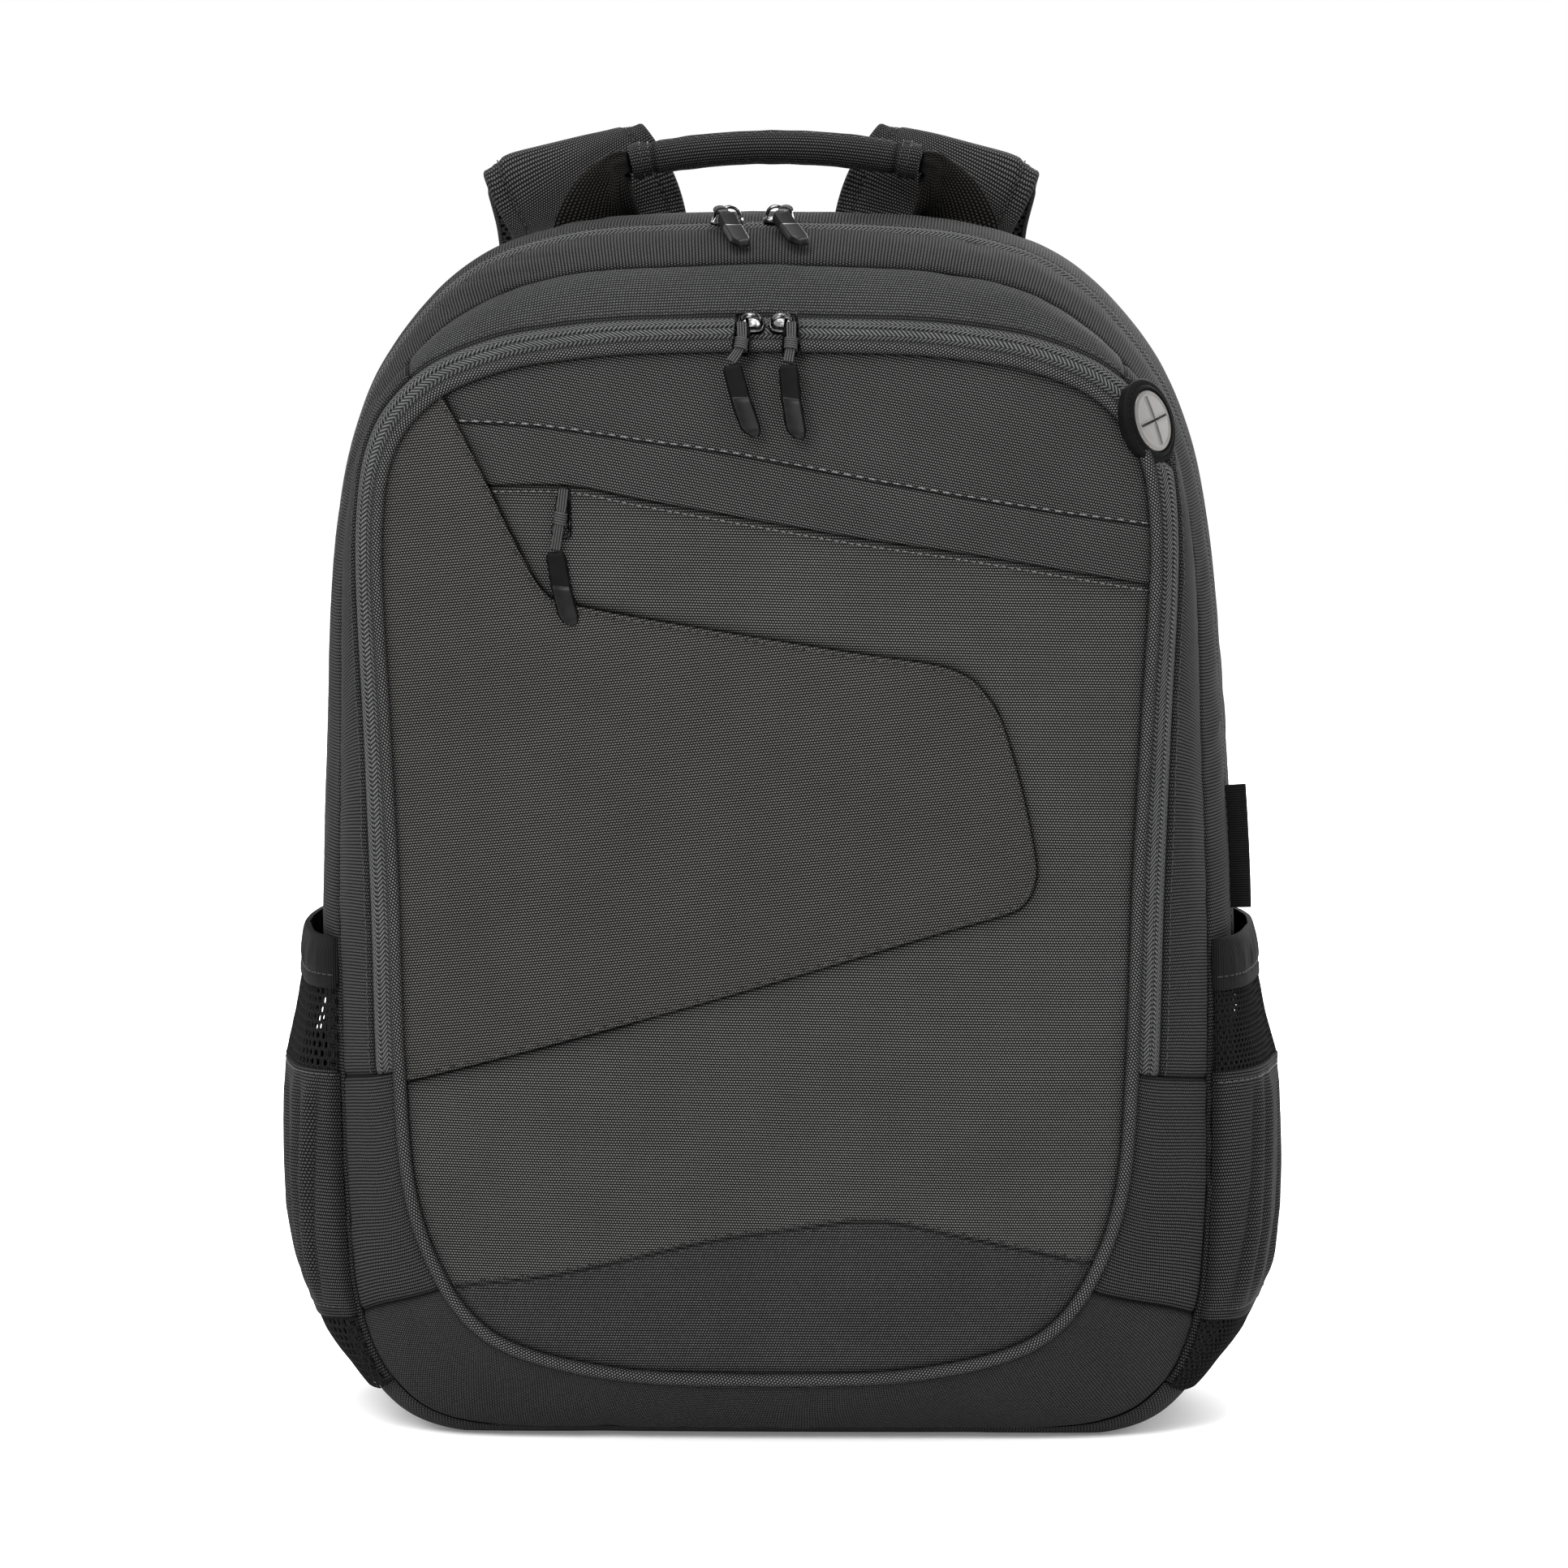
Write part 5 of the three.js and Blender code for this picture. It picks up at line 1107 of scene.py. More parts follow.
def strip(name, ends, places, finishes, slot, node, seams=(0.9, 0.9, 0.9, 0.9), puff=0.6, pucker=(0.25, 0.25),
          wave=0.35, step=2.2, extra=None, rows=(), rotate=False, marks=None, tuck=2.0, crease=0.0):
    """A strip of the body's skin with its seams sunk and its cloth swelling between them."""
    middle = (places[0] + places[1]) / 2
    turns = np.linspace(ends[0](np.array(middle)), ends[1](np.array(middle)), 400)
    line = skin(np.full(400, middle), turns)
    run = run_of(line)
    count = max(int(run[-1] / step), 6) + 1
    near_end = np.array([0, 0.4, 0.8, 1.3, 1.9, 2.6, 3.5])
    stops_at = np.concatenate([near_end, np.linspace(5, run[-1] - 5, count), run[-1] - near_end])
    count = len(stops_at)
    shares = np.interp(np.sort(stops_at), run, np.linspace(0, 1, 400))
    crossing = np.linspace(*places, 160)
    across = skin(crossing, np.full(160, float(turns[200])))
    width = run_of(across)
    if marks is None:
        inner = np.linspace(5, width[-1] - 5, max(int((width[-1] - 10) / step), 1) + 1)
        marks = np.sort(np.concatenate([near_end, inner, width[-1] - near_end])) / width[-1]
    stations = np.interp(marks * width[-1], width, crossing)
    starts, stops = ends[0](stations), ends[1](stations)
    turn = starts[None] + shares[:, None] * (stops - starts)[None]
    place = np.broadcast_to(stations, turn.shape)
    points = skin(place, turn)
    normals = skin_normal(place, turn)
    u = np.broadcast_to(np.interp(shares, np.linspace(0, 1, 400), run)[:, None], turn.shape)
    spans = np.linalg.norm(np.diff(points, axis=1), axis=2)
    v = np.concatenate([np.zeros((count, 1)), np.cumsum(spans, axis=1)], axis=1)
    far = v[:, -1:] - v
    tail = u[-1:] - u
    lift = np.zeros(turn.shape)
    shade = np.ones(turn.shape)
    for depth, distance in zip(seams, (v, far, u, tail)):
        lift -= depth * bell(distance, 1.6)
        shade *= 1 - 0.8 * min(depth, 0.9) / 0.9 * bell(distance, 0.9) - 0.18 * bell(distance, 3.5)
    inner = np.minimum(np.minimum(v, far), np.minimum(u + 4, tail + 4))
    lift += puff * (1 - np.exp(-inner / 11))
    flat = np.stack([u / 5.5, v / 26], axis=-1)
    for depth, distance, seed in ((pucker[0], v, 11), (pucker[1], far, 12)):
        lift += depth * noise(flat, 1, seed) * np.exp(-distance / 9) * (1 - bell(distance, 1.5))
    lift += wave * noise(points, 34, 21) + 0.3 * wave * noise(points, 11, 22)
    if crease:
        slant = u + 0.5 * v
        folds = noise(np.stack([slant / 9, v / 34 + slant / 90], axis=-1), 1, 23) \
            * ramp(noise(np.stack([slant / 40, v / 30], axis=-1), 1, 25), -0.1, 0.5)
        lift += crease * folds
        shade *= 1 + 0.1 * crease * folds
    if extra is not None:
        lift += extra(points, u, v, far)
    points = points + lift[..., None] * normals
    shape = Shape()
    coords = np.stack([v, u] if rotate else [u, v], axis=-1)
    wide = skirt(points, tuck, normals)
    shape.grid(wide, np.pad(coords, ((1, 1), (1, 1), (0, 0)), mode="edge"), shade=np.pad(shade, 1, mode="edge"))
    for side, aside, colour in rows:
        index = np.argmin(np.abs((v if side == 0 else far).mean(axis=0) - aside))
        stitches(shape, points[:, index], normals[:, index], finish=colour)
    hand_over(shape, name, finishes, slot, node)


def fixed(turn):
    return lambda place: np.full(np.shape(place), float(turn))


def sloped(heights):
    return lambda place: turn_at_height(place, lerp(*heights, np.clip((np.asarray(place) - 1) / 3, 0, 1)))


def through_foot(end):
    return lambda place: RING_TURNS - end(place)


def zip_relief(points, u, v, far):
    """Two tapes folded over the coil, meeting at the middle."""
    off = (v - far) / 2
    return 1.0 * bell(off, 3.4) - 1.1 * bell(off, 0.42) + 0.05 * np.sin(u * 2 * math.pi / 1.6) * bell(off, 0.9)


def front_zip_relief(points, u, v, far):
    return zip_relief(points, u, v, far) + port_seat(points, u, v, far)


ZIP_MARKS = np.unique(np.concatenate([
    np.linspace(0, 0.4, 9), np.linspace(0.4, 0.6, 17), np.linspace(0.6, 1, 9)]))


def side_ripples(points, u, v, far):
    """Soft slanting folds where the gusset is squeezed beside the pocket."""
    x, z = points[..., 0], points[..., 2]
    low = ramp(z, 150, 200) * ramp(z, 400, 330)
    phase = z / 15 + v / 34 + 0.8 * noise(points, 30, 31)
    left = np.where(x < 0, 1.0, 0.35)
    return 0.75 * low * left * np.sin(phase) * np.exp(-v / 30) * (1 - bell(v, 4))


def port_plane():
    """Middle and facing of the cable port, on the cloth that it pulls flat."""
    turn = turn_at_height(np.array(2.0), PORT_UP * FRONT_TOP)
    return skin(np.array(2.0), turn) + np.array([-4.9, -2.6, 3.2]), unit([0.79, -0.53, 0.25])


def port_seat(points, u, v, far):
    """Sinks the cloth under the cable port to the port's plane, and shelves it up round it."""
    middle, facing = port_plane()
    away = points - middle
    high = away @ facing
    ring = np.linalg.norm(away - high[..., None] * facing, axis=-1)
    radius = millimetres("port_radius")
    room = high + 0.9 - 0.75 * np.maximum(ring - radius + 1, 0)
    return -np.maximum(room, 0) * (ring < 2.2 * radius) * (points[..., 0] > 0)


def main_folds(points, u, v, far):
    """The ripples beside the pockets, deep creases at the left shoulder, and room for the cable port."""
    x, z = points[..., 0], points[..., 2]
    shoulder = ramp(-x, 60, 100) * ramp(z, 330, 370)
    wave = np.abs(np.sin(u / 7.5 + v / 9 + 1.5 * noise(points, 22, 33)))
    return side_ripples(points, u, v, far) + port_seat(points, u, v, far) \
        - 0.9 * shoulder * (1 - wave) ** 3 * (1 - bell(v, 4))


def boot_folds(points, u, v, far):
    """Small folds that fan out where the cloth turns the lower corners."""
    corner = ramp(np.abs(points[..., 0]), 70, 120)
    folds = noise(np.stack([u / 5.5, v / 30], axis=-1), 1, 41)
    return 0.55 * corner * folds * np.exp(-v / 14) * (1 - bell(v, 2))


def make_body():
    coarse = "coarse_side dark_thread"
    strip("front_gusset_top_cloth", (fixed(-4.45), fixed(4.45)), (2, 4), "twill dark_thread", "fine_cloth",
          "front_gusset_top", puff=0.9, rows=[(0, 2.6, 1)], crease=0.35)
    zip_end, boot_top = sloped(ZIP_END), sloped(BOOT_TOP)
    for tag, side in (("right", 1), ("left", -1)):
        pair = lambda a, b: (a, b) if side > 0 else (lambda p: -b(p), lambda p: -a(p))
        strip(f"front_gusset_{tag}_cloth", pair(fixed(4.45), zip_end), (2, 4), coarse, "cloth",
              f"front_gusset_{tag}", puff=1.0, rows=[(0, 2.6, 1)], rotate=True, crease=0.3, extra=port_seat)
        strip(f"lower_side_{tag}_cloth", pair(zip_end, boot_top), (0.7, 4), coarse, "cloth",
              f"lower_side_{tag}", puff=0.9, rotate=True, crease=0.25)
        strip(f"zip_foot_{tag}_cloth", pair(fixed(10.2), fixed(14)), (6, 7), coarse, "cloth",
              f"zip_foot_{tag}", rotate=True)
    strip("boot_cloth", (boot_top, through_foot(boot_top)), (0.7, 4), "fine_dark dark_thread", "fine_cloth",
          "boot", puff=0.8, pucker=(0.55, 0.3), extra=boot_folds, crease=0.3)
    strip("main_gusset_cloth", (fixed(-14), fixed(14)), (4, 6), coarse, "cloth", "main_gusset", puff=1.4,
          extra=main_folds, rotate=True, rows=[(1, 2.6, 1)], crease=0.6)
    strip("rear_gusset_cloth", (fixed(-14), fixed(14)), (7, 10), coarse, "cloth", "rear_gusset", puff=1.2,
          rotate=True, rows=[(0, 2.6, 1)], crease=0.4)
    strip("base_cloth_panel", (fixed(14), fixed(20)), (4, 10), "coarse_dark dark_thread", "base_cloth",
          "base_panel", puff=0.0, wave=0.0, seams=(0.3, 0.3, 0.3, 0.3), pucker=(0, 0))


def make_zips():
    zip_end = sloped(ZIP_END)
    strip("front_zip_tape", (lambda p: -zip_end(p), zip_end), (0.75, 2), "tape", "zip_tape", "front_zip",
          seams=(1.2, 0.7, 0.5, 0.5), puff=0.2, pucker=(0, 0.05), wave=0.1, extra=front_zip_relief, marks=ZIP_MARKS,
          step=1.2)
    strip("main_zip_tape", (fixed(-10.2), fixed(10.2)), (6, 7), "tape", "zip_tape", "main_zip",
          seams=(0.9, 0.9, 0.5, 0.5), puff=0.2, pucker=(0.05, 0.05), wave=0.1, extra=zip_relief, marks=ZIP_MARKS,
          step=1.2)


def make_piping():
    turns = np.linspace(0, RING_TURNS, 3000)
    path = resample(beside_piping(turns, 0.0), 1.5)[:-1]
    count = 16
    ahead = np.array([0, -1.0, 0])
    tangent = unit(np.roll(path, -1, axis=0) - np.roll(path, 1, axis=0))
    outward = unit(np.cross(tangent, ahead))
    ahead = np.cross(outward, tangent)
    angle = circle(count)
    run = run_of(np.vstack([path, path[:1]]))
    swell = 1 + 0.03 * noise(np.column_stack([run[:-1], 0 * run[:-1]]), 9, 51)
    radius = PIPING_RADIUS * swell[:, None, None]
    points = path[:, None] + radius * (np.cos(angle)[None, :, None] * outward[:, None]
                                       + np.sin(angle)[None, :, None] * ahead[:, None])
    points = np.concatenate([points, points[:1]])
    around = np.linspace(0, 2 * math.pi * PIPING_RADIUS, count + 1)
    slant = 1 / math.sqrt(2)
    coords = np.stack([(run[:, None] + around[None]) * slant, (run[:, None] - around[None]) * slant], axis=-1)
    shape = Shape()
    # painted shade: the piping keeps its colour where it faces forward and is painted dark on its flanks and behind
    facing = 0.08 + 0.92 * np.clip(np.sin(angle), 0, 1) ** 1.1
    shape.grid(points, coords, around=True, shade=facing)
    inner = beside_piping(turns, -PIPING_RADIUS - 0.6)
    inner = resample(inner, 1.5)
    sheet = FrontSheet()
    inner[:, 1] = sheet.depth(inner[:, [0, 2]]) + 0.9
    stitches(shape, inner, np.array([0, -1.0, 0]), finish=1, radius=0.26, length=2.4)
    hand_over(shape, "piping_cord", "piping dark_thread", "fine_cloth", "piping")


# Back panel

def make_back():
    edge_turns = np.linspace(0, RING_TURNS, 2000)
    rim = resample(skin(np.full(2000, 10.0), edge_turns)[:, [0, 2]], 2.8)[:-1]
    plane_y = skin(np.array(10.0), np.array(0.0))[1] + 0.4
    centre = np.array([0, rim[:, 1].mean()])
    shares = np.concatenate([np.linspace(1, 0.9, 12), np.linspace(0.885, 0.012, 60), [0]])
    flat = centre + shares[:, None, None] * (rim - centre)[None]
    half, top, foot = np.abs(rim[:, 0]).max(), rim[:, 1].max(), rim[:, 1].min()
    x, z = flat[..., 0], flat[..., 1]
    edge = np.minimum(half - np.abs(x), np.minimum(top - z, z - foot))
    near = distance_to_line(flat.reshape(-1, 2), np.vstack([rim, rim[:1]])).reshape(x.shape)
    rise = np.interp(np.minimum(near, edge + 2), [0, 8, 22, 60], [BACK_EDGE, 7.2, BACK_PAD, BACK_PAD])
    dip = 1 - 0.42 * ramp(np.abs(x), 24, 10)
    cross = sum(bell(z - level, 3.2) for level in (130, 330)) * ramp(np.abs(x), 20, 30)
    groove = np.maximum(cross, bell(np.abs(x) - 25, 2.2)) * ramp(near, 6, 16)
    pad = rise * dip * (1 - 0.3 * groove)
    pad += 0.25 * noise(flat, 30, 61) * ramp(near, 4, 20)
    points = np.stack([x, plane_y + pad, z], axis=-1)
    wall = points[:1].copy()
    wall[..., 1] = plane_y - 0.6
    shade = 1 - 0.5 * np.concatenate([groove[:1], groove])
    shape = Shape()
    points = np.concatenate([wall, points])
    coords = np.concatenate([flat[:1], flat])
    coords = np.concatenate([coords, coords[:, :1]], axis=1)
    shape.grid(points, coords, around=True, flip=True, shade=shade)
    band = np.column_stack([rim[:, 0], np.full(len(rim), plane_y + 1.4), rim[:, 1]])
    band = np.vstack([band, band[:1]])
    sweep(shape, band, oval(4.4, 4.4, 12), np.array([0, 1.0, 0]), finish=1, closed_ends=False)
    inset = centre + 0.972 * (rim - centre)
    high = np.interp(distance_to_line(inset, np.vstack([rim, rim[:1]])), [0, 8, 22], [BACK_EDGE, 7.2, BACK_PAD])
    stitches(shape, np.column_stack([inset[:, 0], plane_y + high, inset[:, 1]]), np.array([0, 1.0, 0]), finish=2)
    hand_over(shape, "back_pad", "air_mesh binding dark_thread", "netting", "back_panel", fill=0.7)


# Side pockets

def pocket_sheet(side, top, foot, step=2.4, outside=0.0, columns=None):
    """Points, normals and cloth coordinates of a pocket between two heights."""
    stations = np.linspace(*POCKET_PLACES, columns or 90)
    rows = max(int((top - foot) / step), 4) + 1
    heights = np.linspace(top, foot, rows)
    place = np.broadcast_to(stations, (rows, len(stations)))
    turn = turn_at_height(place, np.broadcast_to(heights[:, None], place.shape))
    base = skin(place, turn * side)
    normal = skin_normal(place, turn * side)
    down = np.clip((POCKET_TOP - base[..., 2]) / (POCKET_TOP - POCKET_FOOT), 0, 1)
    out = np.interp(down, *POCKET_LEVELS.T)
    share = (place - POCKET_PLACES[0]) / (POCKET_PLACES[1] - POCKET_PLACES[0])
    swell = np.sin(math.pi * np.clip(share, 0, 1)) ** 0.6
    reach = CLEARANCE + POCKET_WALL + millimetres("pocket_bulge") * out * swell + outside
    points = base + reach[..., None] * normal
    v = np.concatenate([[0], np.cumsum(np.linalg.norm(np.diff(points[rows // 2], axis=0), axis=1))])
    u = np.concatenate([[0], np.cumsum(np.linalg.norm(np.diff(points[:, len(stations) // 2], axis=0), axis=1))])
    coords = spread(v[None], -u[:, None])
    return points, normal, coords, swell


def net(shape, points, normals, coords, pitch, hole, rise=0.35):
    """Open mesh: a sheet of rounded cells, each with a hole, laid on a sheet of points."""
    v, u = coords[0, :, 0], -coords[:, 0, 1]
    columns, rows = int(v[-1] / pitch[0]), int(u[-1] / (pitch[1] * 0.75))
    angle = np.radians([30, 90, 150, 210, 270, 330])
    hexagon = np.stack([np.cos(angle) / math.cos(math.radians(30)), np.sin(angle)], axis=1) * 0.5
    fine = np.linspace(0, 6, 12, endpoint=False)
    closed = np.vstack([hexagon, hexagon[:1]])
    outer = np.stack([np.interp(fine, np.arange(7), closed[:, k]) for k in (0, 1)], axis=1)
    inner = unit(outer) * 0.5 * hole
    rings = [(outer, rise), (inner, 0.0), (inner * 0.98, -0.35)]
    i, j = np.meshgrid(np.arange(columns + 1), np.arange(rows + 1))
    cx = (i + 0.5 * (j % 2)) / columns
    cy = (j + 0.0) / rows
    local = np.concatenate([ring * np.array([1 / columns, 1 / (rows * 0.75)]) for ring, _ in rings])
    high = np.concatenate([np.full(len(ring), z) for ring, z in rings])
    sx = np.clip(cx.ravel()[:, None] + local[None, :, 0], 0, 1) * v[-1]
    sy = np.clip(cy.ravel()[:, None] + local[None, :, 1], 0, 1) * u[-1]
    column = np.interp(sx, v, np.arange(len(v)))
    row = np.interp(sy, u, np.arange(len(u)))
    c0 = np.clip(column.astype(int), 0, len(v) - 2)
    r0 = np.clip(row.astype(int), 0, len(u) - 2)
    fc, fr = (column - c0)[..., None], (row - r0)[..., None]
    pick = lambda table: (lerp(lerp(table[r0, c0], table[r0, c0 + 1], fc),
                               lerp(table[r0 + 1, c0], table[r0 + 1, c0 + 1], fc), fr))
    placed = pick(points) + high[None, :, None] * pick(normals)
    count = 12
    ids = np.arange(len(rings) * count).reshape(len(rings), count)
    nxt = np.roll(ids, -1, axis=1)
    quads = np.stack([ids[:-1], nxt[:-1], nxt[1:], ids[1:]], axis=-1).reshape(-1, 4)
    cells = len(cx.ravel())
    faces = (quads[None] + (np.arange(cells) * len(local))[:, None, None]).reshape(-1, 4)
    shape.add(placed, faces, np.stack([sx, sy], axis=-1).reshape(-1, 2))


def slab(shape, points, normals, coords, thick, finish_index=0, flip=False, shade=1.0):
    """A sheet with a thickness and closed edges."""
    back = points - thick * normals
    outer = np.concatenate([back[:1], points, back[-1:]], axis=0)
    outer = np.concatenate([np.concatenate([back[:1, :1], back[:, :1], back[-1:, :1]]), outer,
                            np.concatenate([back[:1, -1:], back[:, -1:], back[-1:, -1:]])], axis=1)
    wide = np.pad(coords, ((1, 1), (1, 1), (0, 0)), mode="edge")
    wide[0, :, 1] += thick
    wide[-1, :, 1] -= thick
    wide[:, 0, 0] -= thick
    wide[:, -1, 0] += thick
    shade = np.pad(np.broadcast_to(shade, points.shape[:2]), 1, mode="edge")
    shape.grid(outer, wide, finish=finish_index, flip=flip, shade=shade)
    shape.grid(back, coords, finish=finish_index, flip=not flip)


# Folds of the pocket bands: start, width and depth
POCKET_FOLDS = {
    "left": ((11, 2.2, 1.9), (27, 2.8, 1.5), (58, 4, 1.2)),
    "right": ((15, 2.6, 1.4), (31, 3, 1.6), (70, 4, 1.2)),
}


def make_pockets():
    for tag, side in (("right", 1), ("left", -1)):
        flip = side < 0
        points, normals, coords, swell = pocket_sheet(side, POCKET_TOP, POCKET_HEM_FOOT, step=1.3, columns=150)
        v = coords[..., 0]
        down = (POCKET_TOP - points[..., 2]) / (POCKET_TOP - POCKET_HEM_FOOT)
        arch = np.sin(math.pi * np.clip(down, 0, 1))
        gather = 0.5 * noise(np.stack([v / 3.4, down * 1.5], axis=-1), 1, 71) * arch
        roll = 1.1 * arch ** 0.5
        groove = -0.7 * bell((down - 0.72) * 20, 1.0)
        points = points + ((gather + roll + groove) * ramp(swell, 0, 0.4))[..., None] * normals
        shape = Shape()
        slab(shape, points, normals, coords, 2.0, flip=flip)
        row = int(0.72 * len(points))
        stitches(shape, points[row], normals[row] * 1.0, finish=1)
        hand_over(shape, f"pocket_hem_{tag}_band", "binding dark_thread", "netting", f"pocket_hem_{tag}")

        pitch, hole = ((2.6, 2.6), 0.56) if side > 0 else ((3.3, 4.5), 0.6)
        for part, top, foot in (("mesh", POCKET_HEM_FOOT + 2, POCKET_BAND_TOP - 1),
                                ("foot", POCKET_BAND_FOOT + 1, POCKET_FOOT)):
            points, normals, coords, swell = pocket_sheet(side, top, foot, step=2.0, outside=-0.9)
            points = points + (0.5 * noise(points, 14, 72))[..., None] * normals
            shape = Shape()
            net(shape, points, normals, coords, pitch, hole)
            hand_over(shape, f"pocket_{part}_{tag}_net", "net", "netting", f"pocket_{part}_{tag}")

        points, normals, coords, swell = pocket_sheet(side, POCKET_BAND_TOP, POCKET_BAND_FOOT, step=2.0)
        z, v = points[..., 2], coords[..., 0]
        edge = np.minimum(POCKET_BAND_TOP - z, z - POCKET_BAND_FOOT)
        sway = 5 * noise(np.stack([z / 40, z * 0], axis=-1), 1, 75)
        folds = POCKET_FOLDS[tag]
        lift, shade = 0, 1
        for start, wide, deep in folds:
            off = v - start - sway - (0.12 * side) * (z - 90)
            strength = ramp(edge, -1, 16)
            lift = lift + strength * (deep * bell(off - 2.4 * wide, 1.7 * wide) - deep * bell(off, wide))
            shade = shade * (1 - 0.35 * strength * bell(off, wide))
        lift = lift * ramp(v, 3, 14) + 0.5 * noise(points, 22, 73) - 0.5 * bell(edge - 3.2, 0.9)
        points = points + (lift * ramp(swell, 0, 0.4))[..., None] * normals
        shape = Shape()
        shade = shade * (1 - 0.5 * bell(edge - 0.4, 0.8)) * (1 - 0.4 * bell(v, 2.5))
        slab(shape, points, normals, coords, 1.6, flip=flip, shade=shade)
        for target, colour in ((POCKET_BAND_TOP - 3.2, 1), (POCKET_BAND_FOOT + 3.2, 2)):
            row = np.argmin(np.abs(z.mean(axis=1) - target))
            stitches(shape, points[row], normals[row], finish=colour)
        hand_over(shape, f"pocket_band_{tag}_cloth", "coarse_side grey_thread dark_thread", "cloth",
                  f"pocket_band_{tag}")


# Label and cable port

def make_label():
    heights = np.linspace(246, 198, 40)
    turn = turn_at_height(np.full(40, 5.93), heights)
    root = skin(np.full(40, 5.93), turn)
    normal = skin_normal(np.full(40, 5.93), turn)
    side = unit(np.cross(normal, np.array([0, 0, 1.0])))
    curl = 0.5 * np.sin(np.linspace(0, 3.4, 40))
    profile = np.array([(0.2, -0.7), (4, -0.75), (7.2, -0.7), (8.3, -0.45), (8.6, 0), (8.3, 0.45), (7.2, 0.7),
                        (4, 0.75), (0.2, 0.7)])
    points = root[:, None] + profile[None, :, :1] * normal[:, None] \
        + (profile[None, :, 1:] + curl[:, None, None] * profile[None, :, :1] / 8.6) * side[:, None]
    coords = spread(heights[:, None], run_of(profile)[None])
    shape = Shape()
    shape.grid(points, coords, flip=True)
    for row in (0, -1):
        rim = points[row]
        faces = np.array([(0, k, k + 1) for k in range(1, len(rim) - 1)])
        shape.add(rim, faces if row == 0 else faces[:, ::-1], coords[row])
    hand_over(shape, "label_fold", "binding", "webbing", "label_tab")


def lathe(shape, profile, place):
    angle = circle(64)
    profile = np.asarray(profile, float)
    ring = np.stack([np.cos(angle), np.sin(angle)], axis=1)
    flat = profile[:, None, :1] * ring[None]
    points = np.concatenate([flat, np.broadcast_to(profile[:, None, 1:], flat.shape[:2] + (1,))], axis=-1)
    coords = spread(angle[None] * 12, run_of(profile)[:, None])
    shape.grid(place(points), np.concatenate([coords, coords[:, :1]], axis=1), around=True)


def make_port():
    middle, facing = port_plane()
    place = laid(middle, np.array([0, 0, 1.0]), facing)
    shape = Shape()
    r, d = millimetres("port_radius"), millimetres("disc_radius")
    lathe(shape, [(r - 0.6, -4), (r + 0.3, -1.2), (r + 0.4, 0.1), (r, 0.6), (0.94 * r, 0.9), (0.9 * r, 0.6),
                  (0.87 * r, 0.9), (d + 1.3, 1.7), (d + 0.7, 1.8), (d + 0.4, 1.4), (d + 0.3, 0.4), (0.4, 0.4)], place)
    turn = np.arange(61) * 2 * math.pi / 60
    seam = place(np.column_stack([0.9 * r * np.cos(turn), 0.9 * r * np.sin(turn), np.full(61, 0.6)]))
    stitches(shape, seam, facing, finish=1, length=1.9, pitch=2.6, radius=0.25)
    hand_over(shape, "port_rubber", "port_rubber binding", "rubber", "port_surround")
    shape = Shape()
    dome = lambda rr: 2.2 - 0.6 * (rr / (d - 1)) ** 2
    slit = lambda x, y: np.minimum(np.abs(x) + 8 * np.maximum(np.abs(y) - 9.6, 0),
                                   np.abs(y) + 8 * np.maximum(np.abs(x) - 9.6, 0))
    radii = np.concatenate([[0.02], np.arange(0.25, d - 0.9, 0.25), [d - 0.8, d - 0.4, d - 0.1, d]])
    angle = circle(200)
    x, y = radii[:, None] * np.cos(angle), radii[:, None] * np.sin(angle)
    turned = math.radians(12)
    xs, ys = x * math.cos(turned) + y * math.sin(turned), -x * math.sin(turned) + y * math.cos(turned)
    high = np.broadcast_to(dome(np.minimum(radii, d - 1))[:, None], x.shape).copy()
    high += 0.35 * bell(slit(xs, ys), 1.1) - 1.2 * bell(slit(xs, ys), 0.32)
    high += 0.25 * bell(radii[:, None] - 10.4, 0.4)
    high[-3:] -= np.array([0.1, 0.4, 1.2])[:, None]
    points = np.stack([x, y, high], axis=-1)
    # painted shade inside the sunken cross-shaped slit of the disc
    dark = 1 - 0.85 * bell(slit(xs, ys), 0.5)
    shape.grid(place(points), None, around=True, flip=True, shade=dark)
    hand_over(shape, "port_cover", "disc", "port_disc", "port_disc")


# Handle

